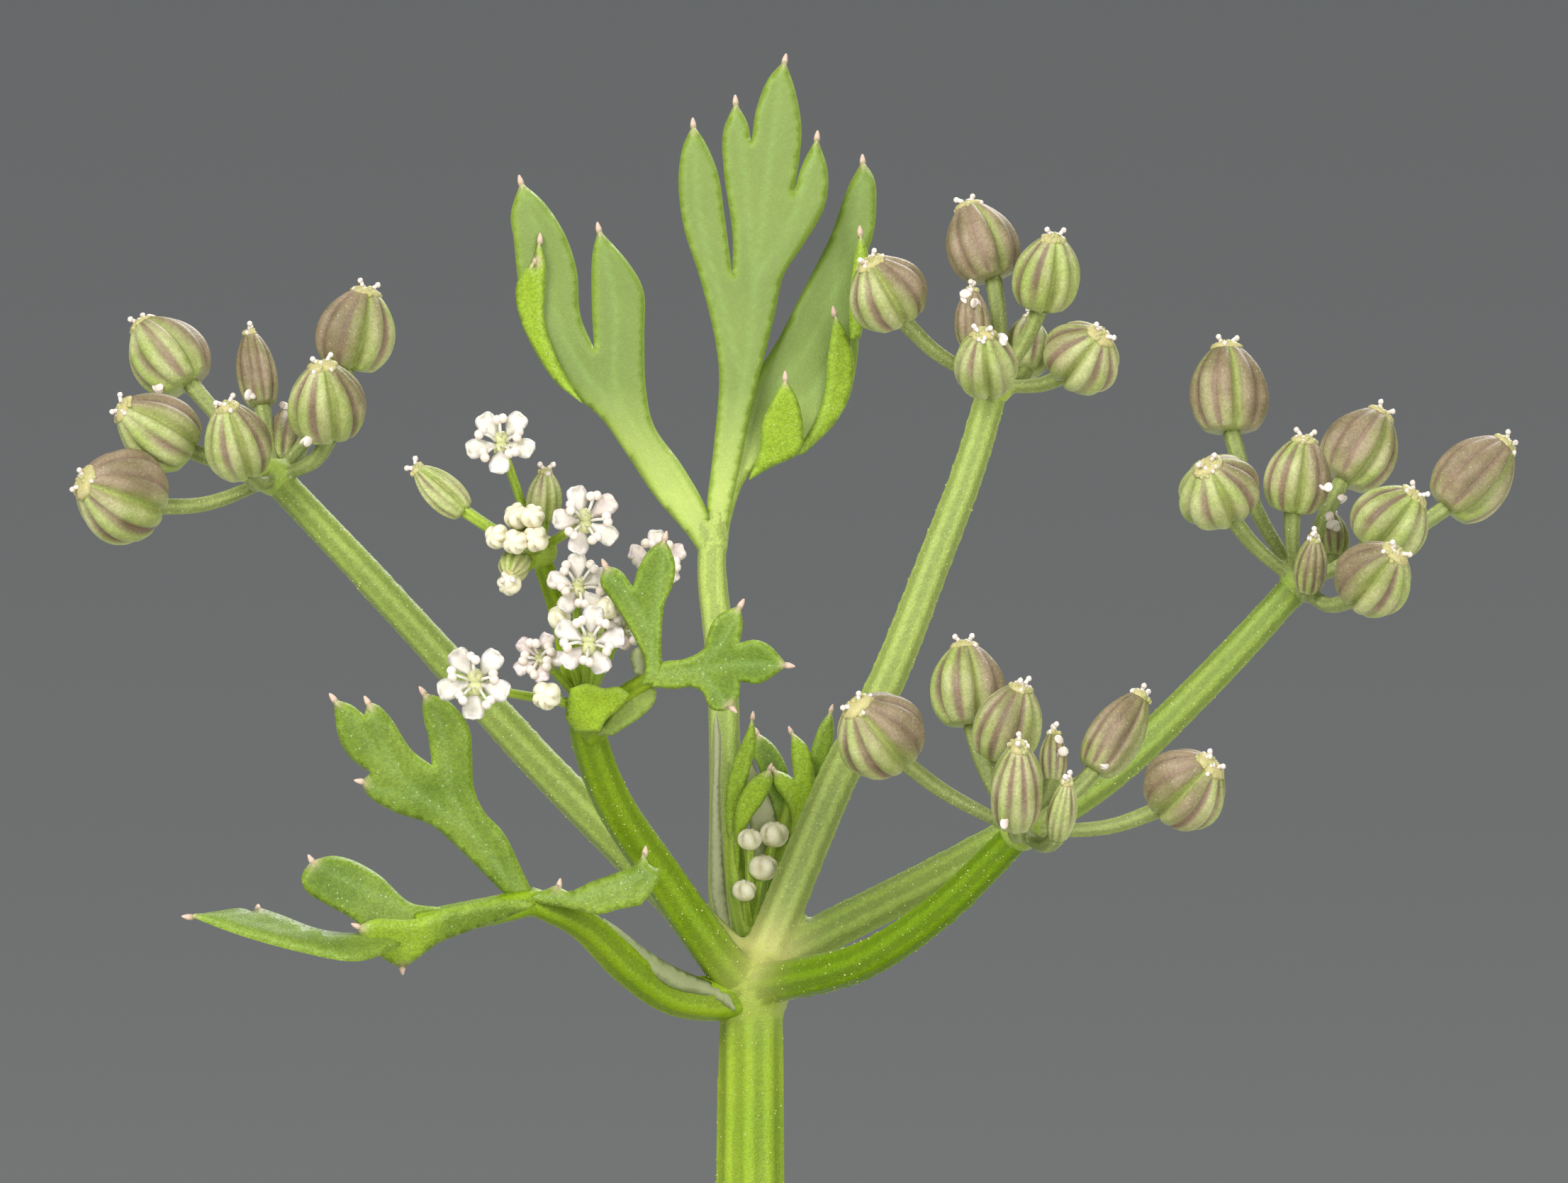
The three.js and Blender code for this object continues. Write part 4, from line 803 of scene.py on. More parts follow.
def grown_together(shapes, voxel, joints, times=8, material=0):
    """Shapes in one skin with the same painted numbers, relaxed round the joints, each (centre, reach)."""
    rough = joined(shapes)
    skin, edges = remeshed(rough, voxel)
    calm = np.max([near(skin["points"], centre, reach) for centre, reach in joints], axis=0)
    points = relaxed(skin["points"], edges, 0.1 + 0.5 * calm, times)
    return shape(points, skin["faces"], material, **passed_on(rough, points))


def near(points, centre, reach):
    """1 at the centre, falling softly to nothing beyond the reach."""
    return np.exp(-((np.linalg.norm(points - np.asarray(centre), axis=1) / reach) ** 2))


trial = grown_together([egg((0, 0, 0), UP, 2, 1), egg((0, 0, 1), UP, 2, 1)], 0.2, [((0, 0, 0.5), 1)])
print("two eggs grown together have", len(trial["points"]), "points in one skin")

# %% The flowering stem in one skin
STEM_VOXEL = 0.125
LOWER_JOINT = LOWER_BRANCH[0]
rods = [stalks([(STEM_PATH, 1.45, 0.8)], ridges=9, depth=0.07, sides=72, spacing=0.5, pale=0.15, deep=0.2)]
for name, path in RAYS.items():
    pale, deep, mealy = RAY_TINTS[name]
    rods.append(stalks([(from_shoot(path), 0.54, 0.4)], 7, 0.1, 56, pale=pale, deep=deep, mealy=mealy))
rods.append(stalks([(from_shoot(FLOWER_BRANCH), 0.58, 0.46)], 7, 0.035, 56, pale=0, deep=0.7))
rods.append(stalks([(LOWER_BRANCH, 0.6, 0.5)], 7, 0.06, 42, pale=0.1, deep=0.2))
knots = [
    egg(from_shoot([0, 0, -0.15])[0], (0, 0, 1), 2.2, 1.02, 32, 14, pale=0.2, deep=0, ridge=0.6),
    egg(LOWER_JOINT, (0, 0, 1), 3.2, 1.5, 32, 14, pale=0.2, deep=0, ridge=0.6),
]
stem_joints = [(from_shoot([0.05, -0.2, -0.1])[0], 1.15), (LOWER_JOINT, 2.4)]
stem_shape = grown_together([*rods, *knots], STEM_VOXEL, stem_joints, times=10)
stem_points = stem_shape["points"]
stem_shape["numbers"]["cream"] = 0.85 * near(stem_points, from_shoot([0.15, -0.1, 0.45])[0], 1.15)
stem_shape["numbers"]["grainy"] = np.clip((stem_points[:, 2] - 96) / 8, 0, 1)
stem_grains = grains_on(stem_shape, 5.0, 0.022, 3)
make_piece("stem_and_rays", [stem_shape, stem_grains], [STEM], "stem", "flowering_stem")

# %% [markdown]
# ## Ribbed fruits
# A fruit is two seeds side by side. Each has five rounded, corky ribs, and a deeper groove runs between the
# two. On top sits a small yellowish cushion with pale beads and two dried styles, and a few shreds of dried
# petals stick to each head. The body is a loft whose rings swell at the ribs and pinch at the groove, with
# what each point is (furrow, groove, crown) painted on it, so that the purple blush lies in the furrows as
# on the real fruit. Each fruit has its own blush.

# %% One fruit
RIBS_PER_TURN = 10
FRUIT_PROFILE = [  # height as a share of the fruit, radius as a share of its half width
    (0.0, 0.24), (0.03, 0.46), (0.1, 0.72), (0.22, 0.93), (0.36, 1.0), (0.52, 0.97), (0.66, 0.86),
    (0.79, 0.67), (0.88, 0.49), (0.925, 0.37),
]
FRUIT_DEPTH = 0.86  # as a share of its width
RIB_RELIEF = 0.17
SEAM_RELIEF = 0.2
SEAM_HALF_ANGLE = math.radians(7)
FRUIT_SAG = 0.09  # the halves hang past the pedicel


def turned_about(axis, turn, way):
    """A direction, turned about an axis."""
    return np.array(Matrix.Rotation(turn, 3, Vector(axis)) @ Vector(way))


def fruit_axes(base, tip, turn):
    """The fruit's axis, the direction that its two halves lie in, and the direction of its groove."""
    axis = unit(np.subtract(tip, base))
    wide = turned_about(axis, math.radians(turn), unit(np.cross((0, -1, 0), axis)))
    return axis, wide, np.cross(axis, wide)


def fruit_body(base, tip, width, turn, brown, side, per_rib=7, step=0.055):
    """brown is how far its blush has come, and side how much more of it the first side has."""
    axis, wide, deep = fruit_axes(base, tip, turn)
    length = np.linalg.norm(np.subtract(tip, base))
    profile = curve_through(FRUIT_PROFILE, step)
    angle = np.linspace(0, 2 * np.pi, per_rib * RIBS_PER_TURN, endpoint=False)
    t = profile[:, :1]
    ribs = np.abs(np.cos(RIBS_PER_TURN / 2 * angle))[None] ** 0.75
    ends = np.clip(t * 6, 0, 1) * np.clip((1.02 - t) * 5, 0, 1)
    from_seam = np.minimum(abs(angle - np.pi / 2), abs(angle - 1.5 * np.pi))[None]
    seam = np.exp(-((from_seam / SEAM_HALF_ANGLE) ** 2)) * np.ones_like(t)
    swell = 1 - RIB_RELIEF * (1 - ribs) * ends - SEAM_RELIEF * seam * np.clip(ends + 0.25, 0, 1)
    reach = width / 2 * profile[:, 1:] * swell
    across = (reach * np.cos(angle))[..., None] * wide
    inward = (FRUIT_DEPTH * reach * np.sin(angle))[..., None] * deep
    sag = FRUIT_SAG * (1 - t) ** 7 * np.clip(t * 12, 0, 1) * (1 - seam)
    rings = np.asarray(base) + ((t - sag) * length)[..., None] * axis + across + inward
    patchy = 0.12 * np.sin(3.3 * angle + 5 * t + 9 * brown)
    tint = np.clip(brown + 0.12 + 1.1 * side * np.cos(angle) + patchy, 0.12, 1)
    tint = tint * np.clip(0.5 + 1.3 * t, 0, 1)  # the foot is paler
    furrow = (1 - ribs**2) * np.clip(ends * 1.4, 0, 1)
    return loft(rings, furrow=furrow, seam=seam, tint=tint)


trial = fruit_body((0, 0, 0), (0, 0, 2.1), 2, 0, 0.5, 0)
print("a fruit's body has", RIBS_PER_TURN, "ribs and", len(trial["faces"]), "faces")

# %% The fruit's crown and stalk, and dried petals
CROWN = [(0.87, 0.3), (0.9, 0.38), (0.94, 0.41), (0.97, 0.36), (0.99, 0.26), (1.0, 0.12)]  # height, radius
CROWN_TOP, CROWN_SIDES, CROWN_NOTCH = 0.985, 28, 0.16
STYLE_LENGTH, STYLE_RADII = 0.13, np.array([0.07, 0.055, 0.055, 0.05])
BEADS, WHITE_BEADS, BEAD_LENGTH, BEAD_RADIUS, BEAD_REACH = 20, 5, 0.15, 0.07, 0.19
SHRED_RADIUS = 0.13
SHREDS = {  # dried petals that stick to each umbellet: x and z
    "left": [(-15.3, 15.2), (-12.9, 15.05), (-12.0, 14.7), (-11.36, 13.87)],
    "top": [(5.5, 17.5), (5.72, 17.25), (6.4, 16.4)],
    "right": [(14.7, 12.7), (14.85, 11.9), (15.2, 12.35), (15.0, 11.6)],
    "front": [(7.7, 6.15), (7.8, 5.85), (6.4, 4.2), (8.9, 5.6)],
}


def fruit_crown(base, tip, width, turn, rng):
    """The cushion on top, notched between the two halves, with its dried styles and beads."""
    axis, wide, deep = fruit_axes(base, tip, turn)
    length = np.linalg.norm(np.subtract(tip, base))
    angle = np.linspace(0, 2 * np.pi, CROWN_SIDES, endpoint=False)
    notch = 0.92 - CROWN_NOTCH * np.abs(np.sin(angle)) ** 6
    rings = []
    for height, radius in CROWN:
        reach = width / 2 * radius * (notch + rng.uniform(-0.1, 0.1, len(angle)))
        flat = np.outer(reach * np.cos(angle), wide) + np.outer(FRUIT_DEPTH * reach * np.sin(angle), deep)
        rings.append(np.asarray(base) + height * length * axis + flat)
    made = [loft(np.array(rings), crown=1)]
    top = np.asarray(base) + CROWN_TOP * length * axis
    for way in (-1, 1):
        middle = top + way * 0.07 * width * wide
        lean = unit(axis + way * rng.uniform(0.0, 0.5) * wide + rng.uniform(-0.3, 0.3) * deep)
        curl = STYLE_LENGTH * (way * rng.uniform(0.3, 0.8) * wide + rng.uniform(-0.4, 0.4) * deep)
        path = [middle + 0.03 * axis + k * STYLE_LENGTH * lean + k * k * curl for k in (0, 0.4, 0.75, 1)]
        made.append(loft(rings_on(np.array(path), STYLE_RADII, 6), material=1))
        made.append(egg(path[-1], lean, 0.15, 0.075, 8, 5, material=1))
    for k in range(BEADS):
        out, turn = rng.uniform(0.15, 1), rng.uniform(0, 2 * np.pi)
        reach = out * BEAD_REACH * width * (math.cos(turn) * wide + FRUIT_DEPTH * math.sin(turn) * deep)
        bead = top + reach - (0.16 * out**2 - 0.02) * axis * width / 2
        white = int(k < WHITE_BEADS)
        made.append(egg(bead, axis, BEAD_LENGTH, BEAD_RADIUS, 6, 5, white, crown=rng.uniform(0.3, 1)))
    return made


def shreds(side, bodies, rng):
    """Small dried petals, where a ray from the viewer meets the umbellet."""
    whole = joined(bodies)
    tree = BVHTree.FromPolygons(whole["points"].tolist(), whole["faces"])
    made = []
    for x, z in SHREDS[side]:
        met = tree.ray_cast((x, -30, z), (0, 1, 0))[0]
        if met is None:
            continue
        for _ in range(2):
            middle = np.array(met) + rng.uniform(-0.08, 0.08, 3)
            lean = unit(rng.uniform(-1, 1, 3) * (1, 0.3, 1))
            length = rng.uniform(0.24, 0.42)
            made.append(egg(middle, lean, length, SHRED_RADIUS, 9, 6, material=1, squash=0.35))
    return made


def pedicel_path(start, base, axis):
    """From the umbellet's joint in a bend up into the foot of the fruit."""
    start, base = np.asarray(start, float), np.asarray(base, float)
    reach = np.linalg.norm(base - start)
    bend = 0.4 * (base - 0.35 * reach * axis) + 0.6 * (start + base) / 2
    return [start, bend, base + 0.04 * axis]


print("a crown has", BEADS, "beads, and dried petals stick in", sum(map(len, SHREDS.values())), "places")

# %% The four umbellets
FRUITS = {  # base, tip, width, turn about its axis, brown, and how much more on the first side
    "left": [
        ((-14.48, 1.44, 15.3), (-15.81, 2.08, 16.95), 2.15, 40, 0.55, -0.5),
        ((-14.43, -0.32, 13.58), (-16.24, -0.96, 14.71), 2.04, 25, 0.35, -0.45),
        ((-15.34, -1.12, 12.11), (-17.19, -2.4, 12.79), 2.53, 0, 0.5, -0.4),
        ((-12.95, -1.76, 12.96), (-13.46, -2.72, 14.77), 1.76, 10, 0.25, -0.25),
        ((-12.64, 1.6, 14.73), (-12.97, 2.08, 16.7), 1.26, 90, 0.6, 0),
        ((-12.08, 0.8, 13.13), (-11.92, 2.4, 14.66), 1.32, 70, 0.45, 0),
        ((-10.82, -1.12, 13.89), (-11.01, -1.92, 15.84), 2.09, 15, 0.3, -0.2),
        ((-10.43, 1.12, 15.71), (-9.9, 0.96, 17.79), 2.15, 20, 0.45, 0.35),
    ],
    "top": [
        ((3.83, -0.64, 16.91), (2.98, -1.44, 18.43), 2.09, 5, 0.4, -0.3),
        ((6.22, 1.44, 17.98), (5.53, 1.92, 19.97), 1.98, 35, 0.85, 0),
        ((7.39, -0.32, 17.2), (7.75, -0.96, 19.07), 1.81, 20, 0.12, 0.1),
        ((5.68, -0.16, 16.16), (5.63, 0, 17.73), 1.1, 80, 0.6, 0),
        ((6.05, -1.28, 15.11), (5.88, -2.72, 16.59), 1.65, 0, 0.08, 0),
        ((7.03, 1.12, 15.59), (7.15, 1.92, 17), 1.38, 60, 0.25, 0),
        ((8.08, -0.64, 15.49), (8.95, -1.76, 16.54), 2.09, 0, 0.25, 0.1),
    ],
    "right": [
        ((12.33, 0.96, 14.05), (12.23, 1.44, 16.38), 2.12, 15, 0.7, -0.15),
        ((12.19, -1.12, 11.97), (11.63, -2.4, 13.24), 2.2, 5, 0.2, -0.25),
        ((13.86, -0.8, 12), (14.19, -1.12, 13.94), 1.76, 10, 0.4, -0.2),
        ((15.2, 1.44, 12.8), (16.29, 1.92, 14.62), 2.09, 30, 0.45, 0.25),
        ((17.87, 1.12, 12.1), (19.51, 1.44, 13.83), 2.15, 45, 0.5, 0.3),
        ((15.87, -0.48, 11.13), (17.07, -0.96, 12.5), 2.09, 10, 0.15, 0.1),
        ((15.43, -2.72, 9.75), (16.49, -3.84, 10.99), 2.04, 0, 0.4, 0.35),
        ((14.25, -1.28, 9.97), (14.42, -1.92, 11.37), 1.04, 90, 0.4, 0),
        ((14.98, 0.96, 10.82), (14.92, 1.44, 12.01), 0.99, 60, 0.35, 0),
    ],
    "front": [
        ((3.73, -0.48, 5.75), (2.58, -1.76, 7.15), 2.31, 0, 0.5, -0.35),
        ((5.55, 1.12, 6.57), (5.38, 1.44, 8.69), 2.04, 20, 0.5, -0.4),
        ((6.19, -0.8, 5.75), (6.82, -1.28, 7.63), 1.98, 60, 0.3, 0.1),
        ((6.63, -1.92, 4.1), (6.71, -3.36, 6.18), 1.59, 90, 0.3, -0.1),
        ((7.7, -1.92, 3.78), (7.94, -2.88, 5.25), 0.88, 80, 0.1, 0),
        ((8.64, 0.64, 5.42), (9.9, 0.96, 7.41), 1.59, 60, 0.4, 0.2),
        ((10.39, -0.64, 4.5), (11.62, -1.76, 5.65), 2.2, 0, 0.55, 0.3),
        ((7.61, 1.12, 5.14), (7.64, 1.44, 6.43), 0.88, 90, 0.3, 0),
    ],
}
PEDICEL_RADII = (0.17, 0.23)
UMBELLET_VOXEL = 0.07


def placed(shapes):
    """Shapes of the shoot's frame, in the plant's."""
    return [{**s, "points": from_shoot(s["points"])} for s in shapes]


def umbellet(side, rng):
    joint = np.array(RAYS[side][-1])
    lift = np.array([0, joint[1], 0])  # the fruits' depths are counted from the umbellet's own joint
    made, paths = [], []
    for base, tip, width, turn, brown, extra in FRUITS[side]:
        base, tip = base + lift, tip + lift
        axis = unit(tip - base)
        paths.append((pedicel_path(joint, base, axis), *PEDICEL_RADII))
        made.append(fruit_body(base, tip, width, turn, brown, extra))
        made += fruit_crown(base, tip, width, turn, rng)
    stems = [stalks(paths, 6, 0.07, 24, spacing=0.12, pale=0.1, mealy=0.75, deep=0.0)]
    stems.append(egg(joint, (0, 0.1, 1), 1.05, 0.52, 24, 12, pale=0.3, ridge=0.8, mealy=0.2))
    web = grown_together(stems, UMBELLET_VOXEL, [(joint, 0.75)], material=2)
    return placed([*made, web, *shreds(side, [*made, web], rng)])


rng = np.random.default_rng(11)
for side in RAYS:
    name = f"fruit_umbellet_{side}"
    make_piece(f"fruits_{side}", umbellet(side, rng), [FRUIT, ANTHER, STEM], "fruit", name)

# %% [markdown]
# ## Fleshy leaf blades
# A leaf of this herb is thick and smooth, cut into lobes that each end in a tiny pale point. It could be a
# flat plane with a thickness, but then its edge would be square. So the outline is drawn smooth between its
# tips and notches, filled with an even net of triangles, and given two faces that swell from a shared edge.
# How far a point is from the edge rules its thickness, its cupping and its colour, and the veins are lines
# that each lie in a slight channel.

# %% Outlines, filled with an even net
TIP, NOTCH = 1, 2  # the third number of an outline point at which the outline turns sharply


def smooth_outline(outline, spacing):
    """Even points on an outline that is smooth between its sharp points, and where its tips are."""
    marks = [point[2] if len(point) > 2 else 0 for point in outline]
    flat = np.array([point[:2] for point in outline], float)
    first = next(i for i, mark in enumerate(marks) if mark)
    flat = np.roll(flat, -first, axis=0)
    marks = marks[first:] + marks[:first]
    corners = [i for i, mark in enumerate(marks) if mark] + [len(marks)]
    around = np.vstack([flat, flat[:1]])
    runs = [curve_through(around[a:b + 1], spacing)[:-1] for a, b in zip(corners, corners[1:])]
    edge = np.vstack(runs)
    starts = np.cumsum([0] + [len(run) for run in runs])
    tips = [(edge[i], edge[i] - (edge[i - 1] + edge[(i + 1) % len(edge)]) / 2)
            for i, a in zip(starts, corners[:-1]) if marks[a] == TIP]
    return edge, tips


def distance_to(points, starts, ends=None):
    """From each point to the nearest of the straight pieces, or of an outline's sides."""
    ends = np.roll(starts, -1, axis=0) if ends is None else ends
    best = np.full(len(points), np.inf)
    for start, run in zip(starts, ends - starts):
        t = np.clip((points - start) @ run / max(run @ run, 1e-12), 0, 1)[:, None]
        best = np.minimum(best, np.linalg.norm(points - start - t * run, axis=1))
    return best


def inside(points, outline):
    x, y = points.T
    odd = np.zeros(len(points), bool)
    for (xa, ya), (xb, yb) in zip(outline, np.roll(outline, -1, axis=0)):
        if ya != yb:
            odd ^= ((ya > y) != (yb > y)) & (x < (xb - xa) * (y - ya) / (yb - ya) + xa)
    return odd


def filled(outline, spacing):
    """Points and triangles that fill an outline with an even net."""
    (left, low), (right, high) = outline.min(0), outline.max(0)
    rows = np.arange(low, high, spacing * math.sqrt(3) / 2)
    columns = np.arange(left, right, spacing)
    net = np.array([(x + spacing / 2 * (k % 2), y) for k, y in enumerate(rows) for x in columns])
    net = net[inside(net, outline)]
    net = net[distance_to(net, outline) > 0.6 * spacing]
    count = len(outline)
    for _ in range(2):
        flat = [Vector(p) for p in np.vstack([outline, net]).tolist()]
        made = delaunay_2d_cdt(flat, [], [list(range(count))], 1, 1e-6)
        points, triangles = np.array([tuple(p) for p in made[0]]), np.array(made[2])
        pairs = np.vstack([triangles[:, [a, b]] for a, b in ((0, 1), (1, 2), (2, 0))])
        pairs = np.sort(pairs, axis=1)
        pairs = np.unique(pairs[pairs[:, 1] < count], axis=0)  # lines from edge to edge get a point between
        apart = pairs[:, 1] - pairs[:, 0]
        chords = pairs[(apart > 1) & (apart < count - 1)]
        if not len(chords):
            break
        net = np.vstack([net, points[chords].mean(1)])
    return points, triangles


edge, tips = smooth_outline([(0, 0, NOTCH), (1, 1), (0, 3, TIP), (-1, 1)], 0.2)
print("a test outline of", len(edge), "points is filled with", len(filled(edge, 0.2)[1]), "triangles")

# %% A blade from its outline
MARGIN_ROUND = 0.1  # how far in from its edge a blade is rounded
VEIN_HALF = 0.075
CHANNEL = 0.03
QUILT = 0.012
MUCRO = [(-0.9, 0.6), (-0.4, 1.0), (0.1, 0.95), (0.5, 0.7), (0.8, 0.42), (0.95, 0.2)]  # length, girth
TIP_REACH, MARGIN_REACH, VEIN_STEP = 0.16, 0.11, 0.3


def line_pieces(lines, spacing):
    """The straight pieces of some smooth lines, as their starts and ends."""
    curves = [curve_through(line, spacing) for line in lines]
    return np.vstack([c[:-1] for c in curves]), np.vstack([c[1:] for c in curves])


def blade(
    outline, place, thickness=0.24, spacing=0.16, veins=(), cup=0.0, reach=0.5, mucro=0.19, **painting
):
    """A leaf blade. place maps outline points to the middle of the leaf and the direction of its face, and a
    number of the painting may be a function of them. cup lifts the edge, and reach is how far in."""
    edge, tips = smooth_outline(outline, spacing)
    flat, triangles = filled(edge, spacing)
    off_edge = distance_to(flat, edge)
    on_edge = off_edge < 1e-5
    middle, normal = place(flat)
    vein = np.zeros(len(flat))
    if len(veins):
        vein = np.exp(-((distance_to(flat, *line_pieces(veins, VEIN_STEP)) / VEIN_HALF) ** 2))
    rounded = np.sqrt(1 - (1 - np.clip(off_edge / MARGIN_ROUND, 0, 1)) ** 2)
    half = rounded * (thickness / 2 - CHANNEL * vein)
    x, y = flat.T
    quilt = QUILT * np.sin(5.1 * x + 1.7 * y) * np.sin(4.3 * y - 2.2 * x)
    lift = cup * np.exp(-off_edge / reach) + quilt * np.clip(off_edge / 0.4, 0, 1)
    middle = middle + lift[:, None] * normal
    corner = middle[triangles]
    facing = np.cross(corner[:, 1] - corner[:, 0], corner[:, 2] - corner[:, 0])
    if (facing * normal[triangles[:, 0]]).sum() < 0:
        triangles = triangles[:, ::-1]
    back_of = np.where(on_edge, np.arange(len(flat)), len(flat) + np.cumsum(~on_edge) - 1)
    faces = [tuple(t) for t in np.vstack([triangles, back_of[triangles][:, ::-1]]).tolist()]
    points = np.vstack([middle + half[:, None] * normal, (middle - half[:, None] * normal)[~on_edge]])
    tip = np.zeros(len(flat))
    for p, _ in tips:
        tip = np.maximum(tip, 0.8 * near(flat, p, TIP_REACH))
    numbers = {"vein": vein, "margin": np.exp(-((off_edge / MARGIN_REACH) ** 2)), "tip": tip}
    for name, value in painting.items():
        numbers[name] = np.broadcast_to(value(flat) if callable(value) else float(value), len(flat))
    numbers = {name: np.concatenate([v, v[~on_edge]]) for name, v in numbers.items()}
    made = [shape(points, faces, **numbers)]
    for p, way in tips if mucro else ():
        at, _ = place(np.array([p, p - 0.3 * mucro * unit(way)]))
        length, girth = np.transpose(MUCRO)
        path = at[0] + np.outer(length * mucro, unit(at[0] - at[1]))
        pink = np.clip(length + 0.9, 0, 1)[:, None] * np.ones((1, 10))
        made.append(loft(rings_on(path, 0.42 * mucro * girth, 10), tip=pink))
    return made


def facing_place(start, slope_x, slope_z, bend=0.0):
    """The plane of a leaf that faces the viewer, whose depth grows by the slopes from its start."""
    x0, y0, z0 = start
    normal = unit([slope_x, -1, slope_z])

    def place(flat):
        x, z = flat.T
        y = y0 + slope_x * (x - x0) + slope_z * (z - z0) + bend * (x - x0) ** 2
        return np.column_stack([x, y, z]), np.broadcast_to(normal, (len(flat), 3))

    return place


trial = blade([(0, 0, NOTCH), (1, 1), (0, 3, TIP), (-1, 1)], facing_place((0, 0, 0), 0, 0))
print("a test blade and its point have", [len(s["faces"]) for s in trial], "faces")

# %% The leaf to the left of the joint
LEFT_PETIOLE = [
    (-0.35, -0.3, -0.35), (-0.9, -0.6, -0.42), (-1.6, -0.95, -0.38), (-2.19, -1.28, -0.2),
    (-3.18, -2.08, 0.49), (-4.37, -3.2, 1.6), (-5.65, -3.84, 2.16),
]
LEFT_UPPER_LEAFLET = [
    (-5.45, 2.2, NOTCH), (-5.75, 2.8), (-6.27, 3.87), (-6.74, 4.38), (-7.0, 4.97), (-7.05, 5.8),
    (-7.12, 6.51), (-7.64, 7.19), (-8.28, 7.41, TIP), (-8.3, 6.9), (-8.15, 6.2), (-8.07, 5.57, NOTCH), (-8.58, 5.96),
    (-9.09, 6.75), (-9.43, 7.1), (-9.68, 7.16, TIP), (-9.77, 6.84, NOTCH), (-10.1, 7.1), (-10.54, 7.24, TIP),
    (-10.5, 6.7), (-10.4, 6.2), (-10.11, 5.74), (-9.62, 5.38, NOTCH), (-9.86, 5.15, TIP), (-9.69, 4.8),
    (-9.01, 4.38), (-8.15, 4.08), (-7.47, 3.52), (-6.79, 2.84), (-6.1, 2.15, NOTCH),
]
LEFT_UPPER_VEINS = [
    [(-5.8, 2.3), (-6.9, 3.7), (-7.6, 4.9), (-7.75, 6.0), (-8.0, 7.1)],
    [(-7.2, 4.0), (-8.3, 4.8), (-9.3, 5.7), (-10.2, 6.9)],
    [(-8.3, 4.8), (-9.2, 4.9), (-9.7, 5.1)],
    [(-8.9, 5.35), (-9.3, 6.2), (-9.6, 6.95)],
]
LEFT_OUTER_BLADE = [
    (-7.6, 1.45, NOTCH), (-7.75, 1.9), (-8.61, 2.08), (-9.4, 2.78), (-10.06, 3.15), (-10.58, 3.27),
    (-11.1, 3.15, TIP), (-11.35, 2.78), (-11.26, 2.4), (-10.79, 2.08), (-10.06, 1.66), (-9.6, 1.2, NOTCH),
    (-8.6, 1.0),
]
LEFT_OUTER_VEINS = [[(-8.0, 1.7), (-9.3, 2.2), (-10.9, 2.95)]]
# The lowest lobe is seen nearly from its edge, and the front one is folded towards the viewer
LEFT_EDGE_LOBE = [
    (-8.6, 1.5, NOTCH), (-9.3, 1.36), (-9.96, 1.3), (-10.89, 1.4), (-11.93, 1.78), (-12.45, 1.95, TIP),
    (-12.6, 1.84, NOTCH), (-12.86, 1.93), (-13.5, 1.86), (-14.17, 1.75, TIP), (-13.5, 1.48), (-12.76, 1.22),
    (-11.51, 0.87), (-10.16, 0.6), (-9.65, 0.64), (-8.9, 0.95, NOTCH),
]
LEFT_EDGE_VEINS = [[(-9.0, 1.2), (-10.6, 1.15), (-12.4, 1.5), (-13.9, 1.74)]]
LEFT_FRONT_LOBE = [
    (-5.45, 2.05, NOTCH), (-6.3, 2.2), (-7.2, 2.05), (-7.8, 1.92), (-8.3, 1.74), (-8.71, 1.68), (-9.54, 1.7),
    (-9.94, 1.5, TIP), (-9.82, 1.12), (-9.28, 0.68), (-8.82, 0.42, TIP), (-8.4, 0.72), (-7.9, 1.08),
    (-7.2, 1.36), (-6.3, 1.68),
]
LEFT_INNER_LEAFLET = [
    (-5.9, 2.16, NOTCH), (-5.3, 2.34), (-4.86, 2.52, TIP), (-4.62, 2.34), (-4.0, 2.6), (-3.33, 2.84),
    (-2.9, 3.02), (-2.68, 3.35, TIP), (-2.52, 3.0), (-2.28, 2.92), (-2.3, 2.62), (-2.52, 2.3),
    (-2.76, 2.0, NOTCH), (-3.3, 1.9), (-3.86, 1.76), (-4.5, 1.9), (-5.2, 2.02),
]
# The foot of the petiole widens into a sheath with a grey skin along its upper edge
SHEATH_FOOT = [
    (-0.35, -0.75, NOTCH), (-0.5, -0.25), (-1.0, 0.02), (-1.9, 0.42), (-2.7, 0.92), (-3.3, 1.4),
    (-3.75, 1.7, NOTCH), (-3.3, 1.0), (-2.7, 0.4), (-2.0, -0.1), (-1.1, -0.35),
]


LEFT_JOINT, LEFT_VOXEL = (-5.65, -3.84, 2.13), 0.08


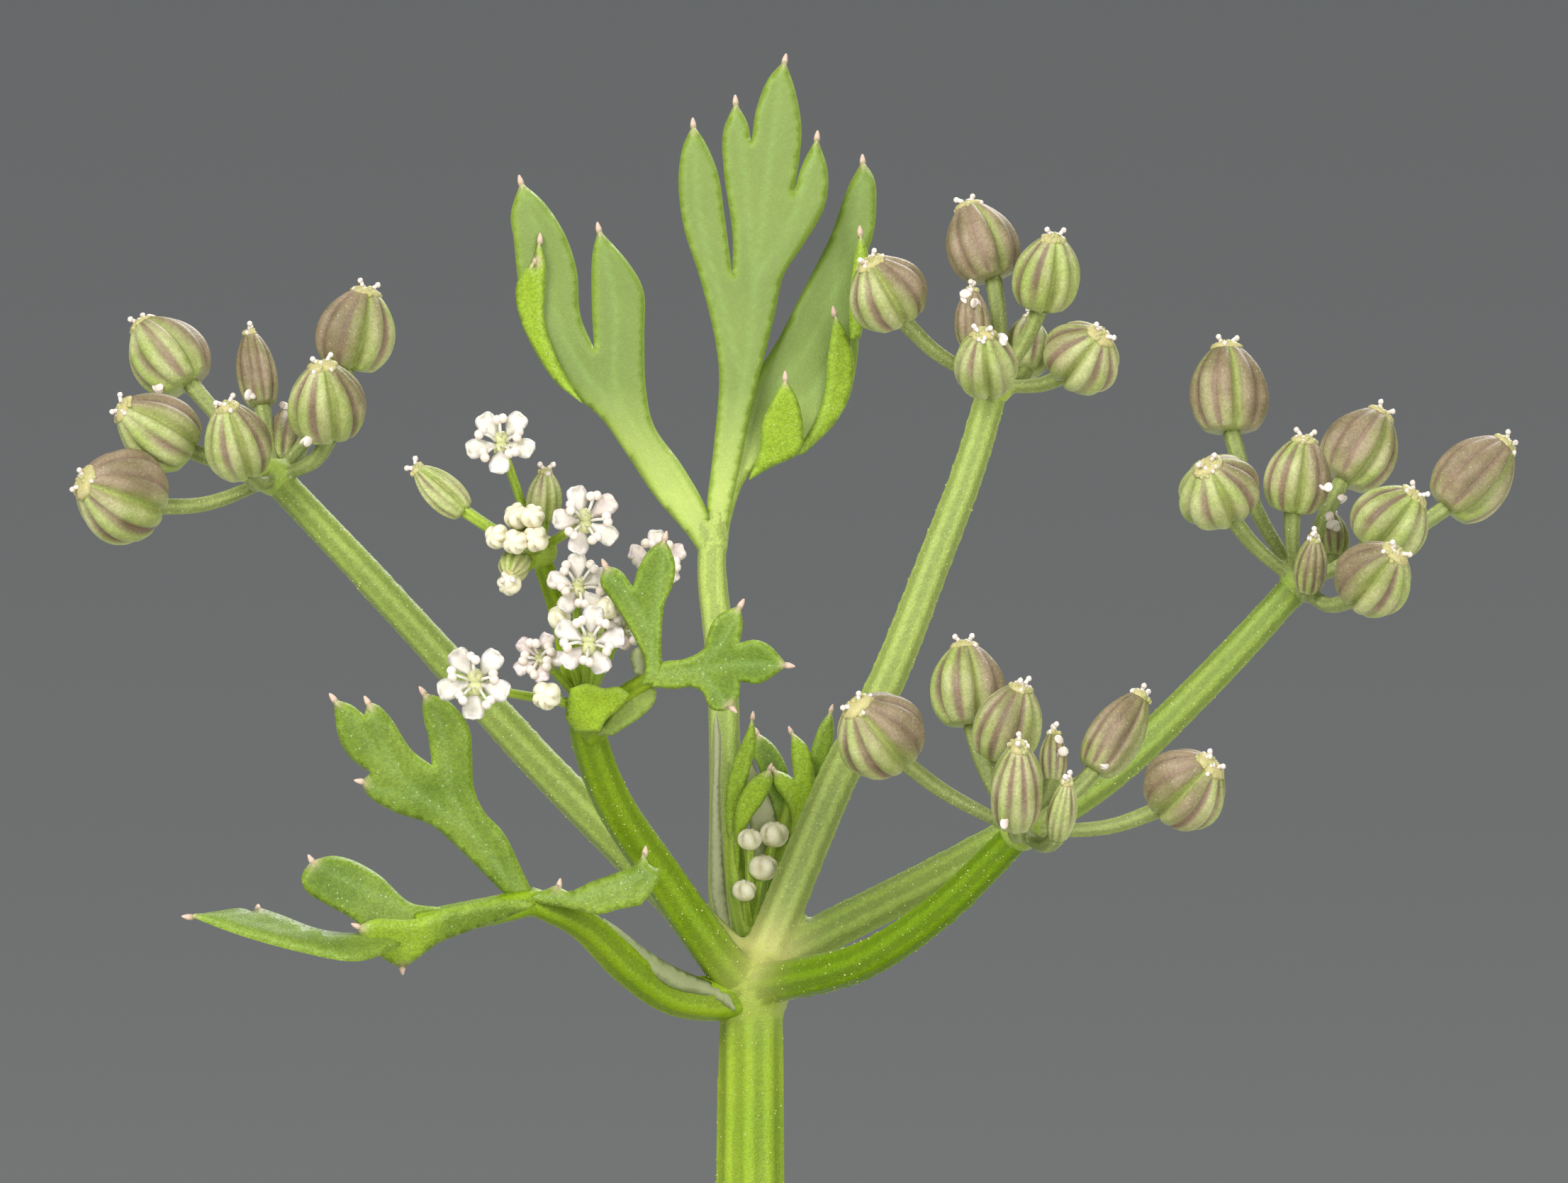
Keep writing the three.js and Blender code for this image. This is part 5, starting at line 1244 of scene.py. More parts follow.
def left_leaf():
    made = []
    upper = facing_place((-5.7, -3.84, 2.1), 0.08, -0.2)
    made += blade(LEFT_UPPER_LEAFLET, upper, veins=LEFT_UPPER_VEINS, cup=0.04, reach=0.35)
    outer = facing_place((-8.4, -4.6, 1.5), 0.04, 0.1, bend=-0.06)
    made += blade(LEFT_OUTER_BLADE, outer, veins=LEFT_OUTER_VEINS, cup=0.05, reach=0.3)
    edgewise = facing_place((-8.5, -4.7, 1.15), 0.44, 1.5)
    made += blade(LEFT_EDGE_LOBE, edgewise, 0.24, veins=LEFT_EDGE_VEINS, cup=0.04, grey=0.25)
    front = facing_place((-7.2, -4.62, 1.7), 0.32, -0.4)
    # the front lobe's fresh green grows towards its end: partly young colour, partly painted light on the lobe that
    # folds forward
    green = {"fresh": lambda flat: np.clip((-7.6 - flat[:, 0]) / 1.2, 0.05, 0.6)}
    made += blade(LEFT_FRONT_LOBE, front, 0.26, cup=0.05, reach=0.3, **green)
    inner = facing_place((-5.45, -4.0, 2.21), -0.45, 0.35)
    veins = [[(-5.4, 2.15), (-4.2, 2.2), (-2.6, 2.8)]]
    made += blade(LEFT_INNER_LEAFLET, inner, veins=veins, cup=0.08, reach=0.25)
    sheath = facing_place((-2.1, -1.95, -0.1), 0.74, 0.3, bend=-0.06)
    made += blade(SHEATH_FOOT, sheath, thickness=0.16, cup=-0.06, reach=0.3, mucro=0, film=0.62, grey=0.6)
    connection = [(-5.6, -3.84, 2.1), (-6.4, -4.05, 1.9), (-7.2, -4.3, 1.75), (-8.5, -4.64, 1.5)]
    paths = [(LEFT_PETIOLE, 0.6, 0.36), (connection, 0.38, 0.36)]
    stems = [stalks(paths, 5, 0.06, 28, pale=0.05, deep=0.45)]
    web = grown_together(stems, LEFT_VOXEL, [(LEFT_JOINT, 0.7)], material=1)
    return placed([*made, web])


make_piece("left_leaf", left_leaf(), [LEAF, STEM], "leaf", "leaf_left")

# %% The outlines of the tall leaf behind the joint
BACK_PETIOLE = [
    (-0.4, 2.2, 0.1), (-0.55, 2.8, 1.0), (-0.68, 3.04, 1.85), (-0.68, 3.36, 5.02), (-0.78, 3.52, 8.04),
    (-1.03, 3.52, 10.5), (-1.0, 3.52, 11.3),
]
BACK_LEFT_LEAFLET = [
    (-0.85, 10.9, NOTCH), (-1.18, 12.1), (-1.8, 13.2), (-2.51, 14.21), (-2.72, 15.18), (-2.76, 16.47),
    (-2.78, 17.68), (-3.12, 18.33), (-3.93, 19.26, TIP), (-4.09, 18.65), (-4.11, 17.28),
    (-4.05, 16.19, NOTCH), (-4.4, 17.04), (-4.49, 18.17), (-4.77, 19.06), (-5.3, 19.9), (-5.93, 20.47, TIP), (-6.19, 19.62),
    (-6.11, 18.97), (-5.99, 17.85), (-5.78, 17.04), (-5.3, 15.99), (-4.65, 15.1), (-3.85, 14.37),
    (-3.28, 13.57), (-2.47, 12.36), (-1.65, 11.4), (-1.25, 10.8, NOTCH),
]
BACK_LEFT_VEINS = [
    [(-1.3, 11.7), (-2.6, 13.6), (-3.5, 15.2), (-3.5, 17.2), (-3.85, 18.9)],
    [(-3.0, 14.2), (-4.4, 15.7), (-5.1, 17.3), (-5.4, 18.8), (-5.85, 20.2)],
]
BACK_MIDDLE_LEAFLET = [
    (-1.2, 10.9, NOTCH), (-1.16, 12.1), (-0.98, 13.65), (-0.84, 15.42), (-0.94, 16.39), (-1.34, 18.01),
    (-1.75, 19.3), (-1.89, 20.51), (-1.78, 21.4), (-1.51, 21.98, TIP), (-1.18, 21.48), (-0.86, 20.67),
    (-0.7, 19.62), (-0.5, 18.1, NOTCH), (-0.5, 19.14), (-0.72, 20.75), (-0.74, 21.8), (-0.42, 22.57, TIP),
    (-0.12, 22.04), (-0.01, 21.52, NOTCH), (0.11, 22.36), (0.43, 23.17), (0.85, 23.64, TIP), (1.12, 22.85),
    (1.28, 21.88), (1.2, 20.91), (1.06, 20.19, NOTCH), (1.32, 20.99), (1.68, 21.65, TIP), (1.96, 20.75),
    (1.88, 19.86), (1.4, 18.97), (0.83, 18.09), (0.59, 17.04), (0.43, 16.39), (-0.05, 14.45), (-0.2, 13.65),
    (-0.5, 12.2), (-0.75, 10.9, NOTCH),
]
BACK_MIDDLE_VEINS = [
    [(-0.9, 11.6), (-0.5, 13.8), (-0.1, 16.0), (0.15, 18.5), (0.45, 21.0), (0.75, 23.2)],
    [(-0.3, 15.6), (-0.85, 17.6), (-1.35, 19.6), (-1.5, 21.6)],
    [(0.05, 17.8), (-0.1, 19.8), (-0.35, 22.1)],
    [(0.1, 18.0), (0.9, 19.2), (1.6, 21.2)],
]
BACK_RIGHT_LEAFLET = [
    (-0.95, 11.0, NOTCH), (-0.7, 12.6), (-0.3, 14.2), (0.08, 15.42), (0.73, 16.54), (1.29, 17.65),
    (2.03, 19.13), (2.49, 20.42), (2.86, 21.07, TIP), (3.16, 20.6), (3.2, 19.7), (3.12, 19.1), (2.95, 18.6),
    (2.85, 18.0), (2.75, 17.0), (2.73, 16.07), (2.55, 15.15), (2.12, 14.41), (1.3, 13.55), (0.6, 13.25),
    (-0.1, 12.9), (-0.75, 11.0, NOTCH),
]
BACK_RIGHT_VEINS = [
    [(-0.6, 12.4), (0.3, 14.6), (1.5, 16.4), (2.4, 18.4), (2.85, 20.5)],
    [(0.3, 14.6), (1.4, 14.9), (2.2, 16.2)],
]
# Edges and lobes that fold forward, painted lighter than the rest as if lit: outline in x and z, start, slopes
BACK_FOLDS = [
    (
        [
            (-4.3, 14.75, NOTCH), (-5.0, 15.3), (-5.55, 16.1), (-5.95, 17.0), (-6.05, 17.7), (-5.85, 18.2),
            (-5.54, 18.45, TIP), (-5.52, 18.2, NOTCH), (-5.55, 18.6), (-5.43, 18.97, TIP), (-5.28, 18.4),
            (-5.3, 17.6), (-5.3, 16.9), (-5.05, 16.1), (-4.7, 15.4),
        ],
        (-5.3, 2.85, 17.0), -0.35, -0.03,
    ),
    (
        [
            (0.95, 13.4, NOTCH), (1.5, 14.1), (1.85, 15.0), (1.95, 16.0), (2.12, 17.12, TIP), (2.42, 16.6),
            (2.62, 15.9), (2.55, 15.1), (2.15, 14.3), (1.35, 13.5, NOTCH),
        ],
        (1.9, 4.35, 15.0), 0.35, -0.05,
    ),
    (
        [
            (-0.1, 12.8, NOTCH), (0.2, 13.6), (0.27, 14.3), (0.6, 15.0), (0.86, 15.44, TIP), (1.17, 14.9),
            (1.32, 14.2), (1.25, 13.55), (0.5, 13.15),
        ],
        (0.6, 3.85, 13.15), 0.1, -0.25,
    ),
    (
        [
            (2.5, 16.4, NOTCH), (2.5, 17.4), (2.62, 18.5), (2.79, 19.2, TIP), (3.0, 18.6), (3.0, 17.6),
            (2.8, 16.5, NOTCH),
        ],
        (2.6, 4.75, 17.0), 0.3, 0.05,
    ),
]


print("the tall leaf has 3 leaflets and", len(BACK_FOLDS), "folds")


# %% The tall leaf
BACK_JOINT, BACK_VOXEL = (-1.0, 3.52, 11.5), 0.09


def middle_place(flat):
    """The middle leaflet stands upright and leans back towards its tip."""
    x, z = flat.T
    y = 3.52 + 0.13 * (z - 11.3)
    return np.column_stack([x, y, z]), np.broadcast_to(unit([0, -1, 0.13]), (len(flat), 3))


def back_leaf():
    made = []
    left = facing_place((-1.0, 3.45, 11.3), 0.08, 0.0)
    more = {"thickness": 0.26, "cup": 0.05, "reach": 0.3, "grey": 0.75}
    more["foot"] = lambda flat: np.clip(1 - (flat[:, 1] - 12.4) / 2.8, 0, 1)
    made += blade(BACK_LEFT_LEAFLET, left, veins=BACK_LEFT_VEINS, **more)
    made += blade(BACK_MIDDLE_LEAFLET, middle_place, veins=BACK_MIDDLE_VEINS, **more)
    right = facing_place((-0.6, 3.75, 12.0), 0.1, 0.23)
    made += blade(BACK_RIGHT_LEAFLET, right, veins=BACK_RIGHT_VEINS, **more)
    for outline, start, slope_x, slope_z in BACK_FOLDS:
        place = facing_place(start, slope_x, slope_z)
        # the folds get fresh green, partly painted light on lobes that face forward
        made += blade(outline, place, 0.2, 0.12, cup=0.04, reach=0.2, fresh=0.75)
    feet = [
        (BACK_PETIOLE, 0.44, 0.38),
        ([(-1.0, 3.5, 11.1), (-1.3, 3.5, 11.6), (-1.6, 3.55, 12.1), (-1.9, 3.65, 12.6)], 0.34, 0.13),
        ([(-0.95, 3.55, 11.1), (-0.9, 3.65, 11.7), (-0.85, 3.75, 12.3), (-0.78, 3.95, 13.0)], 0.36, 0.13),
        ([(-0.9, 3.65, 11.2), (-0.75, 3.8, 11.9), (-0.5, 4.0, 12.6), (-0.3, 4.2, 13.2)], 0.32, 0.13),
    ]
    stems = [stalks(feet, 5, 0.05, 30, pale=0.75)]
    web = grown_together(stems, BACK_VOXEL, [(BACK_JOINT, 1.1)], material=1)
    return placed([*made, web])


make_piece("tall_leaf", back_leaf(), [LEAF, STEM], "leaf", "leaf_back")

# %% The small leaf under the flowers, and its sheath
BRACT_LEFT_LEAFLET = [
    (-2.75, 7.6, NOTCH), (-2.66, 8.15), (-2.88, 8.68), (-3.1, 9.1), (-3.45, 9.65), (-3.79, 10.17),
    (-3.67, 10.61, TIP), (-3.29, 10.49), (-2.96, 10.07, NOTCH), (-2.86, 10.45), (-2.6, 10.94),
    (-2.16, 11.3, TIP), (-1.91, 10.7), (-1.95, 10.13), (-2.16, 9.65), (-2.24, 8.84), (-2.24, 8.15),
    (-2.2, 7.6, NOTCH),
]
BRACT_RIGHT_LEAFLET = [
    (-2.5, 7.55, NOTCH), (-2.3, 8.13), (-1.63, 8.27), (-1.19, 8.52), (-1.03, 9.04), (-0.82, 9.36),
    (-0.26, 9.61, TIP), (-0.2, 9.1), (-0.28, 8.66, NOTCH), (0.1, 8.74), (0.47, 8.6), (0.93, 8.09, TIP),
    (0.51, 7.79), (0.19, 7.63), (-0.26, 7.69, NOTCH), (-0.3, 7.3), (-0.48, 7.02, TIP), (-0.7, 6.94),
    (-1.03, 7.02), (-1.23, 7.42), (-1.51, 7.55), (-1.9, 7.5),
]
BRACT_VEINS = [
    [(-2.45, 7.9), (-2.5, 8.9), (-2.3, 10.0), (-2.15, 11.0)],
    [(-2.5, 8.9), (-3.1, 9.9), (-3.6, 10.4)],
]
BRACT_RIGHT_VEINS = [
    [(-2.3, 7.9), (-1.3, 8.0), (-0.3, 8.15), (0.7, 8.1)],
    [(-1.3, 8.0), (-0.8, 8.6), (-0.35, 9.4)],
    [(-1.3, 8.0), (-0.9, 7.5), (-0.65, 7.15)],
]
# The cup that clasps the top of the branch: outline in x and z, start, slopes, fresh green with painted light, and
# film
BRACT_CUP = [
    (
        [
            (-4.4, 6.45, NOTCH), (-4.65, 6.8), (-4.6, 7.15), (-4.52, 7.55, NOTCH), (-4.1, 7.68),
            (-3.67, 7.56), (-3.3, 7.6), (-3.0, 7.4, NOTCH), (-3.25, 7.05), (-3.62, 6.75), (-3.78, 6.45, NOTCH),
        ],
        (-3.8, -6.75, 7.0), -0.35, -0.5, 0.95, 0.0,
    ),
    (
        [
            (-3.9, 6.35, NOTCH), (-3.5, 6.9), (-3.0, 7.35), (-2.54, 7.66, NOTCH), (-2.36, 7.5),
            (-2.42, 7.15), (-2.74, 6.82), (-3.15, 6.55), (-3.45, 6.35, NOTCH),
        ],
        (-3.0, -6.6, 7.0), -0.3, -0.35, 0.5, 0.2,
    ),
    (
        [
            (-2.95, 7.9, NOTCH), (-3.05, 8.4), (-2.75, 8.6), (-2.3, 8.35), (-2.1, 7.9, NOTCH), (-2.5, 7.7),
        ],
        (-2.6, -7.0, 8.0), 0.1, -0.2, 0.1, 0.65,
    ),
]


def bract_leaf():
    place = facing_place((-2.4, -7.36, 7.9), -0.08, 0)
    more = {"thickness": 0.16, "spacing": 0.11, "cup": 0.04, "reach": 0.25}
    made = blade(BRACT_LEFT_LEAFLET, place, veins=BRACT_VEINS, **more)
    made += blade(BRACT_RIGHT_LEAFLET, place, veins=BRACT_RIGHT_VEINS, **more)
    for outline, start, slope_x, slope_z, fresh, film in BRACT_CUP:
        cup = facing_place(start, slope_x, slope_z, bend=0.25)
        made += blade(outline, cup, 0.16, 0.11, cup=0.1, reach=0.25, mucro=0, fresh=fresh, film=film)
    throat = [(-4.1, -4.75, 6.3), (-3.75, -5.6, 6.75), (-3.1, -6.6, 7.4), (-2.4, -7.2, 7.85)]
    made.append(stalks([(throat, 0.36, 0.2)], 5, 0.06, 20, material=1, pale=0.1, deep=0.3))
    return placed(made)


make_piece("bract_leaf", bract_leaf(), [LEAF, STEM], "leaf", "leaf_under_flowers")

# %% The young shoot between the tall leaf and the upper ray
YOUNG_BLADES = [  # outline in x and z, start, slopes, fresh green with painted light
    (
        [
            (-0.52, 3.0, NOTCH), (-0.66, 4.2), (-0.62, 5.0), (-0.42, 5.7), (-0.15, 6.3), (0.03, 6.75, TIP),
            (0.13, 6.2), (0.0, 5.5), (-0.15, 4.9), (-0.26, 4.2), (-0.24, 3.0, NOTCH),
        ],
        (-0.35, 1.5, 4.4), -0.16, -0.1, 0.6,
    ),
    (
        [
            (-0.44, 2.7, NOTCH), (-0.42, 4.3), (-0.27, 4.8), (0.04, 5.2), (0.47, 5.44, TIP), (0.54, 5.15),
            (0.32, 4.62), (-0.02, 4.15), (-0.24, 3.6), (-0.3, 2.7, NOTCH),
        ],
        (0.0, 1.1, 4.7), 0.1, -0.26, 1.0,
    ),
    (
        [
            (1.1, 3.5, NOTCH), (1.38, 4.1), (1.56, 4.6), (1.6, 5.24), (1.42, 5.98), (1.0, 6.37, TIP),
            (1.0, 5.79), (1.07, 5.15, NOTCH), (0.9, 5.27), (0.55, 5.4, TIP), (0.58, 5.0), (0.9, 4.5),
            (1.02, 4.0), (0.86, 3.5, NOTCH),
        ],
        (1.1, 1.75, 4.7), 0.19, 0.05, 1.0,
    ),
    (
        [
            (0.62, 4.0, NOTCH), (0.4, 4.7), (0.2, 5.36), (0.02, 5.8), (0.14, 6.33, TIP), (0.5, 6.08),
            (0.78, 5.7), (0.92, 5.3), (0.86, 4.0, NOTCH),
        ],
        (0.6, 2.2, 5.2), 0.1, 0.1, 0.0,
    ),
    (
        [
            (1.2, 4.0, NOTCH), (1.38, 5.2), (1.55, 6.0), (1.76, 6.55), (2.04, 6.92, TIP), (2.1, 6.3),
            (1.95, 5.6), (1.7, 4.8), (1.45, 4.0, NOTCH),
        ],
        (1.1, 2.15, 4.7), 0.19, 0.1, 0.3,
    ),
]
YOUNG_FILMS = [  # outline in x and z, start
    (
        [(-0.75, 1.2, NOTCH), (-1.0, 2.0), (-1.05, 3.6), (-1.0, 5.2), (-0.98, 6.5), (-0.9, 6.9, NOTCH),
         (-0.78, 6.2), (-0.8, 5.0), (-0.72, 3.4), (-0.6, 2.0), (-0.5, 1.3, NOTCH)],
        (-0.8, 1.9, 3.0),
    ),
    (
        [(-0.2, 6.0, NOTCH), (-0.3, 5.4), (-0.2, 4.7), (-0.05, 4.0), (0.0, 3.2), (0.1, 2.2, NOTCH),
         (0.45, 2.2, NOTCH), (0.6, 3.2), (0.66, 4.0), (0.5, 4.65), (0.15, 5.3), (-0.05, 5.8)],
        (0.2, 1.9, 4.5),
    ),
]
YOUNG_FOOT = (-0.02, 1.36, 1.1)
YOUNG_BUDS = [  # centre, radius
    ((-0.05, 0.8, 3.62), 0.3), ((0.58, 1.36, 3.74), 0.36), ((0.3, 0.88, 2.9), 0.36),
    ((-0.18, 0.88, 2.31), 0.3),
]
print(len(YOUNG_BLADES), "blades,", len(YOUNG_FILMS), "films and", len(YOUNG_BUDS), "buds in the shoot")

# %% Closed buds, and the whole shoot
BUD_ROWS, BUD_SIDES = 12, 30
BUD_FOLDS, FOLD_DEPTH, BUD_TWIST = 5, 0.34, 0.4


def closed_bud(centre, axis, radius, **painting):
    """Five white petals folded over each other: a ball with five folds that meet in a dimple on top."""
    t = np.linspace(-0.96, 1.0, BUD_ROWS)
    height = 0.92 * np.where(t > 0.8, 0.8 + 0.1 * (t - 0.8), t)
    girth = 1.05 * radius * np.sqrt(np.clip(1.04 - t**2, 0.02, 1))
    rings = rings_on(np.outer(height, unit(axis)) * radius + np.asarray(centre), 1, BUD_SIDES)
    middle = rings.mean(1, keepdims=True)
    turn = np.linspace(0, 2 * np.pi, BUD_SIDES, endpoint=False)[None] + BUD_TWIST * t[:, None]
    turn = turn + 0.45 * np.sin(turn + 40 * centre[0])  # no two petals are equally wide
    crease = (1 - np.abs(np.sin(BUD_FOLDS / 2 * turn))) ** 1.8 * np.clip(0.8 + t, 0, 1)[:, None]
    spread = (rings - middle) * (girth[:, None] * (1 - FOLD_DEPTH * crease))[..., None]
    green = np.broadcast_to(np.clip(-t, 0, 0.7)[:, None], crease.shape)
    # fold paints shade into the creases between the petals
    # the buds' cream is partly their own tint and partly painted light against the shade they lie in
    return loft(middle + spread, green=green, fold=0.8 * crease, cream=0.7, **painting)


def young_shoot():
    made = []
    for outline, start, slope_x, slope_z, fresh in YOUNG_BLADES:
        place = facing_place(start, slope_x, slope_z)
        made += blade(outline, place, 0.22, 0.1, cup=0.06, reach=0.2, mucro=0.15, fresh=fresh)
    for outline, start in YOUNG_FILMS:
        place = facing_place(start, 0.25, 0.02)
        made += blade(outline, place, 0.08, 0.12, mucro=0, film=0.95)
    stems = [
        ([YOUNG_FOOT, (-0.38, 1.68, 2.6), (-0.42, 1.68, 3.6), (-0.3, 1.6, 4.4)], 0.32, 0.22),
        ([YOUNG_FOOT, (0.35, 1.76, 2.6), (0.75, 1.92, 3.6), (1.1, 2.08, 4.7)], 0.32, 0.22),
    ]
    stems += [([YOUNG_FOOT, centre], 0.16, 0.1) for centre, _ in YOUNG_BUDS]
    made.append(stalks(stems, 5, 0.06, 18, spacing=0.15, material=1, pale=0.3))
    made += [closed_bud(centre, (0.1, -0.4, 1), radius, material=2) for centre, radius in YOUNG_BUDS]
    return placed(made)


make_piece("unfolding_shoot", young_shoot(), [LEAF, STEM, PETAL], "leaf", "young_shoot")

# %% [markdown]
# ## Open flowers
# A flower is barely two millimetres across: five white, slightly translucent petals like small paddles
# whose tips bend inward, five stamens that stand between them with round two-lobed anthers, and a pale green
# double cushion in the middle. The petals are blades with a curved face, so they use the same recipe as the
# leaves on a finer net, and the rest are small stalks and eggs.

# %% One flower
PETAL_OUTLINE = [  # half width and distance along, as shares of the flower's radius
    (0.08, 0.14), (0.1, 0.28), (0.2, 0.45), (0.29, 0.64), (0.3, 0.82), (0.23, 1.0), (0.09, 1.12),
]
PETAL_LENGTH = 1.18
PETAL_RISE = 0.26
CURL_FROM, CURL_RADIUS = 0.86, 0.13
FILAMENT = 0.042  # radius
ANTHER_RADIUS = 0.125
CUSHION_RADIUS = 0.19


PETAL_BOW = 0.8  # how much the petal's sides rise


def petal_place(centre, axis, out, radius, rise):
    """The curved face of a petal: hollow, rising towards the viewer, with a tip that curls in."""
    across = np.cross(axis, out)

    def surface(flat):
        u, v = (flat / radius).T
        curl = np.clip(v - CURL_FROM, 0, None) / CURL_RADIUS
        reach = np.minimum(v, CURL_FROM) + CURL_RADIUS * np.sin(curl)
        lift = rise * np.sin(np.minimum(v, CURL_FROM) * 2.2)
        lift = lift + CURL_RADIUS * (1 - np.cos(curl)) + PETAL_BOW * u**2
        return centre + flat[:, :1] * across + radius * (reach[:, None] * out + lift[:, None] * axis)

    def place(flat):
        step = 0.001
        along_u = surface(flat + [step, 0]) - surface(flat - [step, 0])
        along_v = surface(flat + [0, step]) - surface(flat - [0, step])
        return surface(flat), unit(np.cross(along_v, along_u)) * -1

    return place


def two_lobed_anther(middle, axis, side):
    centres = [middle + way * 0.62 * ANTHER_RADIUS * side for way in (-1, 1)]
    return [egg(c, axis, 2.3 * ANTHER_RADIUS, ANTHER_RADIUS, 10, 7, material=1) for c in centres]


def both_halves(half, tip):
    """The outline of a blade from its right half, up from the foot, and the point at its tip."""
    left = [(-point[0], *point[1:]) for point in reversed(half)]
    return [(*half[0], NOTCH), *half[1:], tip, *left[:-1], (*left[-1], NOTCH)]


PETALS = 5


def open_flower(centre, facing, radius, spin, rng, spacing=0.1, purple=0.0):
    """Petals and stamens on PETAL and ANTHER, and the cushion on PETAL."""
    centre = np.asarray(centre, float)
    axis = unit(facing)
    side = unit(np.cross((1, 0, 0), axis))
    up = np.cross(axis, side)
    made = []
    half = [(radius * u, radius * v) for u, v in PETAL_OUTLINE]
    outline = both_halves(half, (0, radius * PETAL_LENGTH))
    veins = [[(0, 0.2 * radius), (0, radius)]]
    # the open petals carry a tenth of that painted fold shade all over
    more = {"thickness": 0.12, "spacing": spacing, "veins": veins, "mucro": 0, "fold": 0.1}
    for i in range(PETALS):
        turn = spin + (i + 0.5) / PETALS * 2 * np.pi
        out = math.cos(turn) * side + math.sin(turn) * up
        rise = PETAL_RISE * rng.uniform(0.5, 1.3)
        place = petal_place(centre, axis, out, radius, rise)
        made += blade(outline, place, **more, blush=purple * rng.uniform(0.1, 0.8))
        turn += np.pi / PETALS + rng.uniform(-0.12, 0.12)
        out = math.cos(turn) * side + math.sin(turn) * up
        reach = radius * rng.uniform(0.5, 0.72)
        top = centre + reach * out + radius * rng.uniform(0.35, 0.6) * axis
        path = [centre + 0.15 * radius * out, centre + 0.5 * reach * out + 0.38 * radius * axis, top]
        made.append(loft(rings_on(curve_through(path, 0.12), FILAMENT, 6), green=0.15))
        side_way = unit(np.cross(axis, out) + rng.uniform(-0.8, 0.8) * out)
        made += two_lobed_anther(top, axis, side_way)
    for way in (-1, 1):
        cushion = centre + way * 0.16 * radius * side + 0.08 * radius * axis
        made.append(egg(cushion, axis, 0.3 * radius, CUSHION_RADIUS * radius / 0.85, 12, 7, green=0.9))
        foot = cushion + 0.12 * radius * axis
        made.append(egg(foot + 0.08 * axis, axis, 0.2, 0.03, 6, 5, green=0.3))
    return made


trial = open_flower((0, 0, 0), UP, 1, 0, np.random.default_rng(1))
print("a flower of radius 1 mm has", sum(len(s["faces"]) for s in trial), "faces")

# %% The eight open flowers
OPEN_FLOWERS = [  # centre, facing, radius, purple tinge, from the upper joint
    ((-6.28, -6.32, 13.65), (-0.1, -1, 0.35), 0.89, 0.0, True),
    ((-4.2, -7.2, 11.71), (0.25, -1, 0.15), 0.89, 0.35, True),
    ((-4.36, -6.24, 10.05), (0.1, -1, 0.25), 0.8, 0.2, False),
    ((-4.07, -7.76, 8.64), (0, -1, 0.3), 0.9, 0.25, False),
    ((-5.3, -6.32, 8.24), (-0.3, -1, 0.25), 0.68, 0.6, False),
    ((-6.91, -7.36, 7.65), (-0.15, -1, 0.15), 0.95, 0.1, False),
    ((-3.15, -6.16, 9.01), (0.4, -1, 0.2), 0.62, 0.6, False),
    ((-2.41, -5.2, 10.71), (0.2, -1, 0.3), 0.75, 0.45, False),
]
rng = np.random.default_rng(23)
for i, (centre, facing, radius, purple, _) in enumerate(OPEN_FLOWERS):
    flower = placed(open_flower(centre, facing, radius, 0.6 + i, rng, purple=purple))
    make_piece(f"open_flower_{i + 1}", flower, [PETAL, ANTHER], "petal", f"flower_{i + 1}")

# %% [markdown]
# ## Seed cases, fruitlets and buds of the flower head
# Under each open flower sits its small ribbed seed case, on a thin stalk from one of the two joints. Between
# them are closed buds, each on a seed case of its own, and three young fruits that have lost their petals.
# All of these are one piece, because they share their stalks.

# %% The green parts of the flower head
FLOWER_JOINT = (-4.2, -4.8, 7.08)
UPPER_JOINT = (-5.36, -5.12, 10.97)
FLOWER_RAY = [FLOWER_JOINT, (-4.55, -4.8, 8.02), (-4.84, -4.88, 9.41), UPPER_JOINT]
CLOSED_BUDS = [  # centre, radius, from the upper joint
    ((-5.88, -6.24, 11.85), 0.34, True), ((-6.4, -6.4, 11.34), 0.31, True),
    ((-5.94, -6.8, 11.2), 0.31, True), ((-5.42, -6.64, 11.28), 0.33, True),
    ((-5.5, -6.7, 11.85), 0.3, True), ((-6.09, -6.4, 10.15), 0.3, True),
    ((-5.14, -7.44, 7.34), 0.36, False), ((-4.85, -6.2, 9.3), 0.3, False),
    ((-3.6, -6.6, 9.55), 0.3, False),
]
FRUITLETS = [  # base, tip, width
    ((-7.24, -4.8, 11.97), (-8.5, -4.8, 13.1), 1.0),
    ((-5.25, -5.36, 11.72), (-5.18, -5.68, 13.03), 0.95),
    ((-5.87, -5.6, 10.89), (-6.11, -6.56, 10.3), 0.8),
]
SEED_CASE = 0.66  # length


def seed_case(top, back, width=0.56):
    """The green ovary right behind a flower, with the ribs of the fruit that it becomes."""
    foot = np.asarray(top) + SEED_CASE * np.asarray(back)
    return fruit_body(foot, np.asarray(top), width, 30, 0.05, 0, per_rib=4, step=0.16)


def refinished(shapes, finishes):
    """Shapes whose finishes get other numbers, from a list in their order."""
    return [{**s, "finish": [finishes[f] for f in s["finish"]]} for s in shapes]


